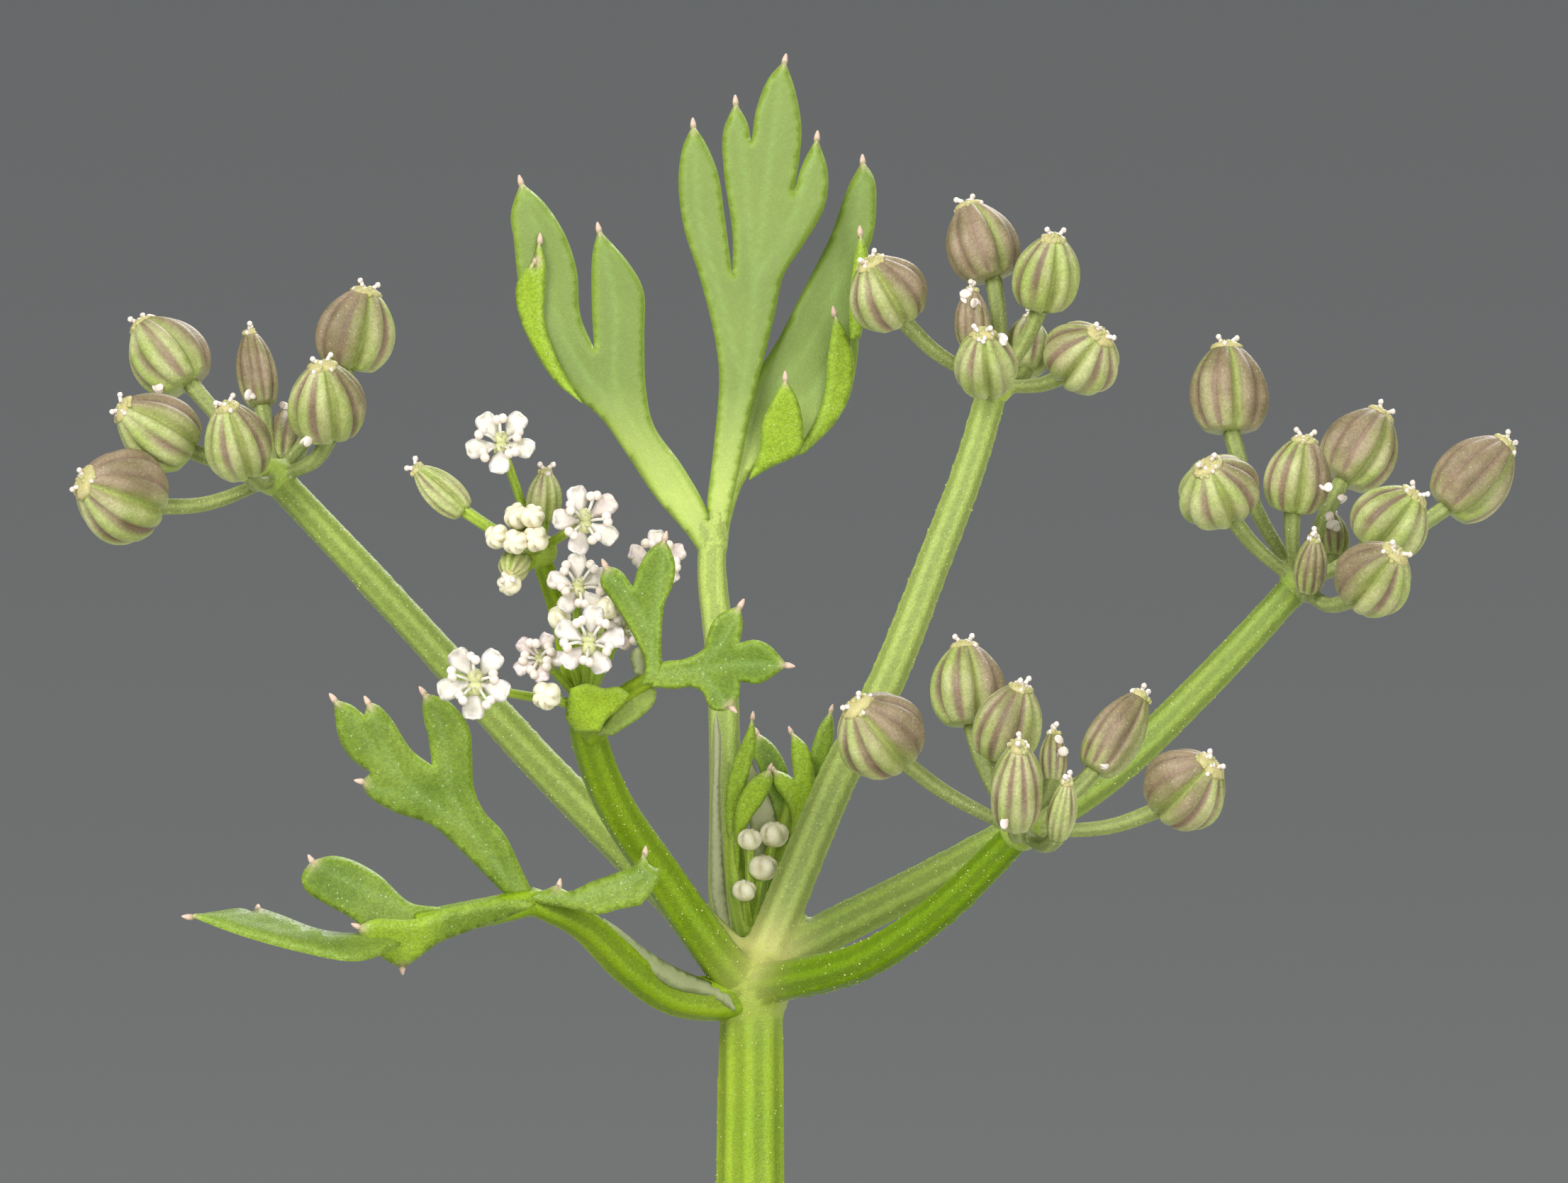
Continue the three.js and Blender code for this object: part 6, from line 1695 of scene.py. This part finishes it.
def flower_head():
    knot = {"material": 1, "pale": 0.3, "ridge": 0.8}
    made = [egg(FLOWER_JOINT, UP, 0.9, 0.45, 14, 9, **knot), egg(UPPER_JOINT, UP, 0.95, 0.47, 14, 9, **knot)]
    paths = []
    for centre, facing, _, _, upper in OPEN_FLOWERS:
        back = -unit(facing)
        top = np.add(centre, 0.06 * back)
        foot = top + SEED_CASE * back
        made.append(seed_case(top, back))
        start = np.array(UPPER_JOINT if upper else FLOWER_JOINT)
        paths.append(([start, start + 0.6 * (foot - start) + 0.2 * back, foot], 0.12, 0.11))
    for centre, radius, upper in CLOSED_BUDS:
        start = np.array(UPPER_JOINT if upper else FLOWER_JOINT)
        along = unit(np.subtract(centre, start))
        made.append(closed_bud(centre, along, radius, material=2))
        made.append(seed_case(centre - 0.5 * radius * along, -along, 0.44))
        middle, end = (start + centre) / 2 - 0.1 * UP, centre - 0.9 * radius * along
        paths.append(([start, middle, end], 0.11, 0.09))
    start = np.array(UPPER_JOINT)
    for base, tip, width in FRUITLETS:
        axis = unit(np.subtract(tip, base))
        made.append(fruit_body(base, tip, width, 20, 0.05, 0))
        made += refinished(fruit_crown(base, tip, width, 20, rng), (0, 3))
        paths.append((pedicel_path(start, base, axis), 0.13, 0.16))
    made.append(stalks([(FLOWER_RAY, 0.29, 0.26)], 6, 0.07, 24, spacing=0.2, material=1, deep=0.2))
    made.append(stalks(paths, 5, 0.07, 14, spacing=0.15, material=1, pale=0.25))
    return placed(made)


head_finishes = [FRUIT, STEM, PETAL, ANTHER]
make_piece("flower_head_stalks", flower_head(), head_finishes, "stem", "flower_stalks")

# %% [markdown]
# ## Leaves that arch over the pot
# The lower leaves are made like those of the shoot, but along a rib: the petiole rises from the soil and
# arches out, and three-lobed leaflets stand in pairs on it with a five-lobed one at the end. One function
# maps a flat outline to the arch, with the blade folded up a little on both sides of the rib. The numbers of
# each leaf are those of the frame, so each finer leaf lies where its plain one is.

# %% A leaf on an arching rib
THREE_LOBED = [  # the right half of a leaflet of length 1, as all of these
    (0.06, 0), (0.26, 0.2), (0.4, 0.36), (0.5, 0.6, TIP), (0.3, 0.56), (0.17, 0.5, NOTCH), (0.25, 0.66),
    (0.22, 0.82), (0.1, 0.97),
]
THREE_VEINS = [[(0, 0), (0, 0.5), (0, 1.0)], [(0, 0.2), (0.25, 0.4), (0.47, 0.57)]]
FIVE_LOBED = [
    (0.05, 0), (0.12, 0.22), (0.3, 0.28), (0.44, 0.38), (0.54, 0.58, TIP), (0.34, 0.55),
    (0.17, 0.47, NOTCH), (0.27, 0.6), (0.35, 0.72), (0.34, 0.88, TIP), (0.24, 0.82), (0.12, 0.7, NOTCH),
    (0.17, 0.82), (0.14, 0.92), (0.07, 1.01),
]
FIVE_VEINS = [[(0, 0), (0, 0.5), (0, 1.0)], [(0, 0.15), (0.3, 0.4), (0.51, 0.56)]]
FIVE_VEINS += [[(0, 0.4), (0.2, 0.65), (0.32, 0.84)]]
LEAFLET_TIP = (0, 1.06, TIP)
SPREAD = math.radians(58)


def turned(line, length, foot, angle, side):
    """A leaflet's outline or vein on the flat leaf, turned away from the rib."""
    cos, sin = math.cos(angle), math.sin(angle)
    return [(side * (foot[0] + length * (x * cos + y * sin)), foot[1] + length * (y * cos - x * sin), *mark)
            for x, y, *mark in line]


def leaflet(half, veins, place, turning, more):
    """A blade and its veins, of which the first is the midrib, turned as said and put in its place."""
    lines = veins + [[(-x, y) for x, y in line] for line in veins[1:]]
    outline = turned(both_halves(half, LEAFLET_TIP), *turning)
    return blade(outline, place, veins=[turned(line, *turning) for line in lines], **more)


def rib_place(rib, start, fold):
    """From the flat leaf to the arch: u across the rib, and v along it from the blade's start."""
    along = np.concatenate([[0], np.cumsum(np.linalg.norm(np.diff(rib, axis=0), axis=1))])
    tangents = unit(np.gradient(rib, axis=0))

    def place(flat):
        v = start + flat[:, 1]
        at = np.column_stack([np.interp(v, along, rib[:, k]) for k in range(3)])
        tangent = unit(np.column_stack([np.interp(v, along, tangents[:, k]) for k in range(3)]))
        beyond = np.clip(v - along[-1], 0, None)[:, None]
        side = unit(np.cross(tangent, UP))
        normal = unit(np.cross(side, tangent))
        rise = fold * np.sqrt(flat[:, :1] ** 2 + 0.09) - fold * 0.3
        return at + beyond * tangent + flat[:, :1] * side + rise * normal, normal

    return place


def arching_leaf(points, before, pairs, terminal, foot, neck, fold, spacing):
    """The blade starts as far before the rib's end as said. A leaflet is its start and its length."""
    rib = curve_through(points, 0.5)
    start = np.linalg.norm(np.diff(rib, axis=0), axis=1).sum() - before
    place = rib_place(rib, start, fold)
    made = []
    more = {"thickness": 0.46, "spacing": spacing, "cup": 0.22, "reach": 0.5}
    for along, size in pairs:
        for side in (-1, 1):
            turning = (size, (0.5 * neck, along), SPREAD, side)
            made += leaflet(THREE_LOBED, THREE_VEINS, place, turning, more)
    along, size = terminal
    made += leaflet(FIVE_LOBED, FIVE_VEINS, place, (size, (0, along), 0, 1), more)
    steps = np.linspace(0, start + along + 0.3 * size, 12)
    middle, _ = place(np.column_stack([0 * steps, steps - start]))
    rod = [(middle, foot, 0.3 * neck)]
    made.append(stalks(rod, 6, 0.07, 22, spacing=0.6, material=1, pale=0.2, deep=0.1))
    return made


print("a five-lobed leaflet has", len(both_halves(FIVE_LOBED, LEAFLET_TIP)), "points in its outline")

# %% The eight leaves in the pot
CROWN_RADIUS = 6
FOOT_DEPTH = 3.5
PAIR_STEP = 0.76
POT_LEAVES = [  # turn, reach, rise, size
    (10, 41, 23, 10.5), (58, 36, 32, 10), (104, 43, 21, 11), (150, 34, 34, 9.5), (196, 42, 22, 10.5),
    (238, 36, 28, 10), (286, 42, 20, 11), (330, 35, 31, 9.5),
]


def out_from(start, turn):
    """Points at a distance and a height from a start, in the direction of a turn about the upright."""
    way = np.array([math.cos(math.radians(turn)), math.sin(math.radians(turn)), 0])
    return lambda distance, height: np.asarray(start, float) + distance * way + height * UP


for i, (turn, reach, rise, size) in enumerate(POT_LEAVES):
    at = out_from((0, 0, SOIL_TOP), turn)
    points = [
        at(CROWN_RADIUS, -FOOT_DEPTH),
        at(CROWN_RADIUS, 3),
        at(CROWN_RADIUS + 0.12 * reach, rise * 0.62),
        at(CROWN_RADIUS + 0.42 * reach, rise * 1.02),
        at(reach - size * 0.6, rise),
    ]
    rows = [(2 + k * PAIR_STEP * size, size * (0.84 - 0.08 * k)) for k in range(2)]
    along = 2 + (2 * PAIR_STEP - 0.12) * size
    shapes = arching_leaf(points, along + 0.35 * size, rows, (along, size), 0.85, 0.5, 0.22, 0.5)
    make_piece(f"arching_leaf_{i + 1}", shapes, [LEAF, STEM], "leaf", f"pot_leaf_{i + 1}")

# %% The three leaves on the stems
SIDE_STEMS = {  # path, radius at the foot and at the top
    "right": ([(3.3, 2.2, 46.5), (4.9, 3.3, 60), (11.0, 4.9, 76), (14.2, 5.6, 83)], 1.1, 0.6),
    "left": ([(-3.4, -2.6, 46.5), (-5.6, -4.2, 58), (-11.6, -6.4, 70), (-14.6, -7.4, 75)], 1.0, 0.55),
}
STEM_LEAVES = [  # stem, height on it, clear of it, turn, reach, rise, size
    (STEM_PATH, 76.5, 2.1, -32, 19, 8, 7.5),
    (SIDE_STEMS["right"][0], 73, 1.5, 24, 18, 6, 7),
    (SIDE_STEMS["left"][0], 66.6, 1.5, 262, 17, 5.2, 7),
]
for i, (path, height, clear, turn, reach, rise, size) in enumerate(STEM_LEAVES):
    stem = curve_through(path, 0.2)
    at = out_from(stem[np.argmax(stem[:, 2] >= height)], turn)
    points = [at(0.4, 0), at(clear, 0.1), at(clear + 0.14 * reach, 0.35 * rise)]
    points += [at(clear + 0.4 * reach, 0.85 * rise), at(reach - 0.6 * size, rise)]
    pair, along = [(1.5, size * 0.85)], 1.5 + size * 0.5
    shapes = arching_leaf(points, along + 0.3 * size, pair, (along, size), 0.55, 0.42, 0.25, 0.4)
    make_piece(f"leaf_on_stem_{i + 1}", shapes, [LEAF, STEM], "leaf", f"stem_leaf_{i + 1}")

# %% [markdown]
# ## Side stems and younger umbels
# Two more stems and the low branch carry umbels that are younger than the one in the photograph: two heads
# are in flower, the others in tight bud. A bud head has dozens of equal buds over a ball, so a tree places
# them on the points of an even sphere, and each bud has only a few dozen faces.

# %% Side stems
for side, (path, foot, top) in SIDE_STEMS.items():
    stem = stalks([(path, foot, top)], 8, 0.07, 56, spacing=0.4, pale=0.15, deep=0.2)
    stem["numbers"]["grainy"] = np.ones(len(stem["points"]))
    beads = grains_on(stem, 1.5, 0.03, 5)
    make_piece(f"stem_{side}", [stem, beads], [STEM], "stem", f"side_stem_{side}")


# %% Geometry Nodes: a head of buds
def bud_head_tree():
    tree, given, out = geometry_tree("bud_head", radius=1.0, bud=0.3, detail=2, seed=1)
    centres = add_node(tree, "GeometryNodeMeshToPoints", {"Mesh": given["Geometry"]}).outputs[0]
    heads = placed_at(tree, centres, ball_of(tree, given["Radius"], given["Detail"]))
    heads = add_node(tree, "GeometryNodeRealizeInstances", {"Geometry": heads}).outputs[0]
    normal = add_node(tree, "GeometryNodeInputNormal").outputs[0]
    turn = add_node(tree, "FunctionNodeAlignRotationToVector", {"Vector": normal}, axis="Z").outputs[0]
    bud = {"Radius": given["Bud"], "Segments": 8, "Rings": 5}
    bud = add_node(tree, "GeometryNodeMeshUVSphere", bud).outputs["Mesh"]
    longer = add_node(tree, "GeometryNodeTransform", {"Geometry": bud, "Scale": (1, 1, 1.35)}).outputs[0]
    buds = placed_at(tree, heads, longer, turn, random_size(tree, given, 0.75, 1.1))
    return end_tree(tree, buds, given, out)


BUD_HEAD = bud_head_tree()


def bud_heads(centres, radius, seed, **painting):
    """Heads of closed buds about their centres, as one shape of small eggs."""
    values = {"Radius": 0.74 * radius, "Bud": 0.3, "Detail": 2, "Seed": seed, "Finish": PETAL}
    made = strewn(BUD_HEAD, shape(np.array(centres), []), values, 2, **painting)
    off = np.min([np.linalg.norm(made["points"] - c, axis=1) for c in centres], axis=0)
    made["numbers"]["green"] = np.clip((1.02 * radius - off) / (0.35 * radius), 0, 1)
    return made


print("the tree", BUD_HEAD.name, "has", len(BUD_HEAD.nodes), "nodes")

# %% The three younger umbels
HEAD_RADIUS = 1.15
RAY_LIFT, RAY_SPREAD = 0.85, 0.62  # how a ray leaves its joint
FLOWERS_IN_HEAD, BUDS_IN_HEAD = 4, 5
YOUNG_UMBELS = {  # path of the stem, rays, their length, heads in flower
    "side_right": (SIDE_STEMS["right"][0], 5, 6.5, 2),
    "side_left": (SIDE_STEMS["left"][0], 5, 5, 0),
    "lower": (LOWER_BRANCH, 4, 4, 0),
}


def young_umbel(stem, rays, ray_length, flowering_heads, rng):
    before, end = np.array(stem[-2]), np.array(stem[-1])
    axis = unit(end - before)
    joint = end + 0.75 * axis
    side = unit(np.cross((0, 1, 0), axis))
    made = [egg(joint, axis, 1.5, 0.62, 16, 10, material=1, pale=0.2, ridge=0.8)]
    paths, bud_centres = [], []
    for i in range(rays):
        out = turned_about(axis, i / rays * 2 * math.pi + 0.4, side)
        direction = unit(RAY_LIFT * axis + RAY_SPREAD * out)
        head = joint + direction * ray_length * (1 - 0.12 * (i % 2))
        paths.append(([joint, (joint + head) / 2 + 0.5 * out, head], 0.27, 0.23))
        if i % 2 or i >= 2 * flowering_heads:
            bud_centres.append(head)
            length, girth = 1.9 * HEAD_RADIUS * 0.72, 0.7 * HEAD_RADIUS
            made.append(egg(head, direction, length, girth, 12, 8, material=2, green=1))
            continue
        made.append(egg(head, direction, 0.85, 0.4, 12, 8, material=1, pale=0.3, ridge=0.8))
        for k in range(FLOWERS_IN_HEAD):
            around = turned_about(direction, k / (FLOWERS_IN_HEAD - 1) * 2 * math.pi + i, out)
            aim = unit(direction + (1.1 if k else 0) * around)
            centre = head + (2.3 if k else 2.7) * aim
            flower = open_flower(centre, aim, 0.9, k + i, rng, spacing=0.16, purple=0.15)
            made += refinished(flower, (2, 3))
            made.append(seed_case(centre - 0.05 * aim, -aim))
            paths.append(([head, head + 0.5 * (centre - head), centre - 0.7 * aim], 0.13, 0.11))
        for k in range(BUDS_IN_HEAD):
            around = turned_about(direction, k / BUDS_IN_HEAD * 2 * math.pi + 0.5, out)
            centre = head + 1.25 * unit(direction + 0.55 * around)
            made.append(closed_bud(centre, centre - head, 0.28, material=2))
            paths.append(([head, centre], 0.1, 0.08))
    made.append(bud_heads(bud_centres, HEAD_RADIUS, 7, blush=0.06))
    made.append(stalks(paths, 5, 0.06, 14, spacing=0.25, material=1, pale=0.3))
    return made


for name, (stem, rays, ray_length, flowering_heads) in YOUNG_UMBELS.items():
    shapes = young_umbel(stem, rays, ray_length, flowering_heads, rng)
    make_piece(f"young_{name}", shapes, head_finishes, "petal", f"umbel_{name}")

# %% [markdown]
# ## Clay and soil
# Fired clay and potting soil are both made of mineral grains, some coarse and some fine, in broad clouds of
# a lighter and a darker tone. One node group gives the grain, the clouds and a height. The clay adds the
# pale bloom of salts that water leaves on a used pot, strongest below the rim and at the foot.

# %% Shader group: mineral grain
def make_mineral_group():
    sizes = {"Grain size": 0.0005, "Cloud size": 0.012}
    tree, given, out = shader_group("mineral_grain", sizes, ("Grain", "Clouds", "Height"))
    place = add_node(tree, "ShaderNodeTexCoord").outputs["Object"]
    scale = combined(tree, "DIVIDE", 1.0, given["Grain size"])
    cells = add_node(tree, "ShaderNodeTexVoronoi", {"Vector": place, "Scale": scale})
    grain = add_node(tree, "ShaderNodeSeparateColor", {0: cells.outputs["Color"]}).outputs[0]
    fine = add_node(tree, "ShaderNodeTexNoise", {"Vector": place, "Scale": scale, "Detail": 4})
    cloud_scale = combined(tree, "DIVIDE", 1.0, given["Cloud size"])
    cloud = add_node(tree, "ShaderNodeTexNoise", {"Vector": place, "Scale": cloud_scale, "Detail": 5})
    results = (grain, ranged(tree, cloud.outputs[0], 0.35, 0.65), fine.outputs[0])
    for socket, result in zip(out, results):
        tree.links.new(result, socket)
    return tree


MINERAL_GRAIN = make_mineral_group()


def clouded(tree, grain_size, cloud_size, dark, light):
    """The outputs of the mineral group, and a colour that drifts between two."""
    sizes = {"Grain size": grain_size, "Cloud size": cloud_size}
    mineral = add_node(tree, "ShaderNodeGroup", sizes, node_tree=MINERAL_GRAIN).outputs
    return mineral, mixed(tree, mineral["Clouds"], dark, light)


print("the group", MINERAL_GRAIN.name, "has", len(MINERAL_GRAIN.nodes), "nodes")

# %% Clay, soil and grit finishes
def clay_finish():
    material, tree = new_finish("fired_clay", 0.86, gloss=0.25)
    mineral, colour = clouded(tree, 0.0007, 0.011, shade(168, 92, 58), shade(190, 112, 74))
    speck = ranged(tree, mineral["Grain"], 0.9, 1.0, 0.0, 0.5)
    bloom = combined(tree, "MULTIPLY", painted(tree, "bloom"), ranged(tree, mineral["Height"], 0.3, 0.85))
    colour = layered(tree, colour, (speck, shade(132, 70, 46)), (bloom, shade(208, 178, 152)))
    colour = layered(tree, colour, ("damp", shade(112, 62, 42)))
    return finished(material, colour, mineral["Height"], 0.5, 0.00012)


def soil_finish():
    material, tree = new_finish("potting_soil", 0.95, gloss=0.2)
    mineral, colour = clouded(tree, 0.0006, 0.004, shade(44, 31, 22), shade(72, 52, 37))
    speck = ranged(tree, mineral["Grain"], 0.8, 1.0, 0.0, 0.7)
    colour = mixed(tree, speck, colour, shade(104, 80, 58))
    return finished(material, colour, mineral["Height"], 0.9, 0.0004)


def grit_finish():
    material, tree = new_finish("pale_grit", 0.9, gloss=0.3)
    mineral, colour = clouded(tree, 0.0003, 0.003, shade(196, 186, 170), shade(226, 220, 208))
    return finished(material, colour, mineral["Height"], 0.6, 0.00015)


CLAY = clay_finish()
SOIL = soil_finish()
GRIT = grit_finish()
print("made", [m.name for m in (CLAY, SOIL, GRIT)])

# %% [markdown]
# ## The pot
# The photograph doesn't show the pot, so it is a plain clay pot of the usual kind, with a deep rim. A pot is
# turned, so a profile is swept round the upright, with soft edges and the faint rings of the turning. The
# three drain holes are cut with a boolean, and the edges of the cut are then marked sharp for the shading.

# %% Profile and turning
POT_HEIGHT = 58
BASE_RADIUS = 23
MOUTH_RADIUS = 31.2
WALL = 3.2
POT_FLOOR = 4
RIM_HEIGHT = 13
RIM_PROUD = 1.8
DRAIN_RADIUS, DRAIN_CIRCLE, DRAIN_COUNT = 2.5, 12, 3
POT_SIDES = 144
TURNING_RING = 0.05


def outer_radius(z):
    return BASE_RADIUS + (MOUTH_RADIUS - BASE_RADIUS) * z / POT_HEIGHT


def rounded_corner(before, corner, after, size, steps=6):
    """Points on a soft corner between two straight runs of a profile."""
    corner = np.asarray(corner, float)
    start = corner + size * unit(np.subtract(before, corner))
    end = corner + size * unit(np.subtract(after, corner))
    t = np.linspace(0, 1, steps)[:, None]
    return (1 - t) ** 2 * start + 2 * t * (1 - t) * corner + t**2 * end


def pot_profile():
    foot = POT_HEIGHT - RIM_HEIGHT
    rim = outer_radius(foot) + RIM_PROUD
    mouth = outer_radius(POT_HEIGHT)
    corners = [  # radius, height, how soft
        (0, 0, 0), (BASE_RADIUS, 0, 0.9), (outer_radius(foot), foot, 0.5), (rim, foot + 0.8, 0.7),
        (mouth + RIM_PROUD, POT_HEIGHT, 0.9), (mouth - WALL, POT_HEIGHT, 1.0),
        (outer_radius(POT_FLOOR) - WALL, POT_FLOOR, 1.2), (0, POT_FLOOR, 0),
    ]
    points = [np.array([corners[0][:2]], float)]
    for before, corner, after in zip(corners, corners[1:], corners[2:]):
        points.append(rounded_corner(before[:2], corner[:2], after[:2], corner[2]))
    points.append(np.array([corners[-1][:2]], float))
    rough = np.vstack(points)
    runs = [rough[:1]]
    for a, b in zip(rough, rough[1:]):
        steps = max(1, round(np.linalg.norm(b - a) / 0.9))
        runs.append(a + (b - a) * (np.arange(1, steps + 1) / steps)[:, None])
    return np.vstack(runs)


def turned_pot():
    profile = pot_profile()
    radius, height = profile[1:-1].T
    side = np.clip((radius - 20) / 2, 0, 1) * np.clip(height / 2, 0, 1)
    side = side * np.clip((POT_HEIGHT - height) / 2, 0, 1)
    turn = np.linspace(0, 2 * np.pi, POT_SIDES, endpoint=False)
    wander = 0.6 * np.sin(height * 1.3 + 0.7)[:, None] * np.cos(turn + 0.4)[None]
    wander = np.sin(height * 2.9)[:, None] + wander
    reach = radius[:, None] - TURNING_RING * side[:, None] * (1 + 0.5 * wander)
    upright = np.broadcast_to(height[:, None], reach.shape)
    rings = np.stack([reach * np.cos(turn), reach * np.sin(turn), upright], 2)
    foot = np.exp(-((height / 5) ** 2)) + np.exp(-(((height - POT_HEIGHT + RIM_HEIGHT - 2) / 4) ** 2))
    lips = 0.7 * np.exp(-(((height - POT_HEIGHT) / 2.5) ** 2))
    inner = radius < outer_radius(height) - 0.6 * WALL
    damp = np.clip((SOIL_TOP + 2.5 - height) / 2, 0, 1) * inner * 0.6
    bloom = np.clip(foot + lips + 0.12, 0, 0.8)
    return loft(rings, bloom=bloom[:, None], damp=damp[:, None])


profile = pot_profile()
print("the profile has", len(profile), "points and reaches", round(profile[:, 0].max(), 1), "mm out")

# %% The drain holes, and the finished pot
def cut_drains(piece):
    """The drain holes, cut with a boolean that is then applied."""
    cutters = []
    for i in range(DRAIN_COUNT):
        turn = i / DRAIN_COUNT * 2 * math.pi
        middle = np.array([DRAIN_CIRCLE * math.cos(turn), DRAIN_CIRCLE * math.sin(turn), 0])
        path = middle + np.outer([-3.0, 7.0], UP)
        cutters.append(loft(rings_on(path, DRAIN_RADIUS, 40)))
    cutter = added("cutter", make_mesh("cutter", joined(cutters), []))
    modifier = piece.modifiers.new("drains", "BOOLEAN")
    modifier.object = cutter
    modifier.solver = "EXACT"
    cut = evaluated(piece)
    piece.modifiers.remove(modifier)
    piece.data = cut
    bpy.data.objects.remove(cutter)
    cut.set_sharp_from_angle(angle=math.radians(40))


make_piece("clay_pot", [turned_pot()], [CLAY], "terracotta", "pot", rework=cut_drains)
print("the pot has", DRAIN_COUNT, "drain holes")

# %% [markdown]
# ## The soil
# Potting soil is crumbs of many sizes with some pale grit in it. The bed is a loft with an uneven top, and
# the crumbs are real shapes, because their shadows are what makes it look like soil. A tree strews them over
# the top, each turned, scaled and misshapen by a fixed seed.

# %% The bed of soil
SOIL_CLEARANCE = 0.35
MOUND = 1.2
SOIL_SIDES = 120
SOIL_ROWS = 26


def soil_bed():
    turn = np.linspace(0, 2 * np.pi, SOIL_SIDES, endpoint=False)
    rings = []

    def ring(radius, height):
        height = np.broadcast_to(height, turn.shape)
        rings.append(np.column_stack([radius * np.cos(turn), radius * np.sin(turn), height]))

    wall = lambda z: outer_radius(z) - WALL - SOIL_CLEARANCE
    ring(wall(POT_FLOOR + 0.3), POT_FLOOR + 0.3)
    ring(wall(SOIL_TOP - 1.6), SOIL_TOP - 1.6)
    for k in range(SOIL_ROWS):
        share = 1 - (k + 0.2) / SOIL_ROWS
        reach = wall(SOIL_TOP) * share
        x, y = reach * np.cos(turn), reach * np.sin(turn)
        lumps = 0.7 * np.sin(2.3 * x - 0.8 * y) * np.sin(1.9 * y + x)
        lumps = np.sin(0.9 * x + 1.3) * np.sin(1.1 * y + 0.4) + lumps
        ring(reach, SOIL_TOP - 1.0 + MOUND * (1 - share**2) + 0.3 * lumps)
    return loft(np.array(rings))


bed = soil_bed()
print("the bed of soil is up to", round(bed["points"][:, 2].max(), 1), "mm high")

# %% Geometry Nodes: crumbs strewn over a surface
def crumb_tree():
    tree, given, out = geometry_tree("strewn_crumbs", density=1.0, size=0.5, unevenness=0.5, seed=1)
    points = strewn_points(tree, given, "top")["Points"]
    turns = {0: (0, 0, 0), 1: (2 * math.pi,) * 3, "Seed": given["Seed"]}
    rotation = add_node(tree, "FunctionNodeRandomValue", turns, data_type="FLOAT_VECTOR").outputs[0]
    scales = {0: (0.35, 0.35, 0.3), 1: (1.25, 1.1, 0.9), "Seed": given["Seed"]}
    scale = add_node(tree, "FunctionNodeRandomValue", scales, data_type="FLOAT_VECTOR").outputs[0]
    crumbs = placed_at(tree, points, ball_of(tree, given["Size"], 2), rotation, scale)
    crumbs = add_node(tree, "GeometryNodeRealizeInstances", {"Geometry": crumbs}).outputs[0]
    noise = {"Vector": add_node(tree, "GeometryNodeInputPosition").outputs[0], "Scale": 1.9, "Detail": 1}
    noise = {0: add_node(tree, "ShaderNodeTexNoise", noise).outputs["Color"], 1: (0.5, 0.5, 0.5)}
    centred = add_node(tree, "ShaderNodeVectorMath", noise, operation="SUBTRACT").outputs[0]
    reach = combined(tree, "MULTIPLY", given["Unevenness"], given["Size"])
    offset = add_node(tree, "ShaderNodeVectorMath", {0: centred, "Scale": reach}, operation="SCALE")
    moved = {"Geometry": crumbs, "Offset": offset.outputs[0]}
    return end_tree(tree, add_node(tree, "GeometryNodeSetPosition", moved).outputs[0], given, out)


STREWN_CRUMBS = crumb_tree()
BED_REACH = 25.6  # the crumbs stay off the wall


def crumbs_on(bed, density, size, seed, finish, material):
    values = {"Density": density, "Size": size, "Unevenness": 2.2, "Seed": seed, "Finish": finish}
    return strewn(STREWN_CRUMBS, bed, values, material)


height, reach = bed["points"][:, 2], np.hypot(*bed["points"][:, :2].T)
bed["numbers"]["top"] = ((height > SOIL_TOP - 1.5) & (reach < BED_REACH)).astype(float)
crumbs = [
    crumbs_on(bed, 0.28, 0.75, 4, SOIL, 0),
    crumbs_on(bed, 0.35, 0.45, 5, SOIL, 0),
    crumbs_on(bed, 0.035, 0.62, 6, GRIT, 1),
]
make_piece("soil_and_grit", [bed, *crumbs], [SOIL, GRIT], "soil", "soil")
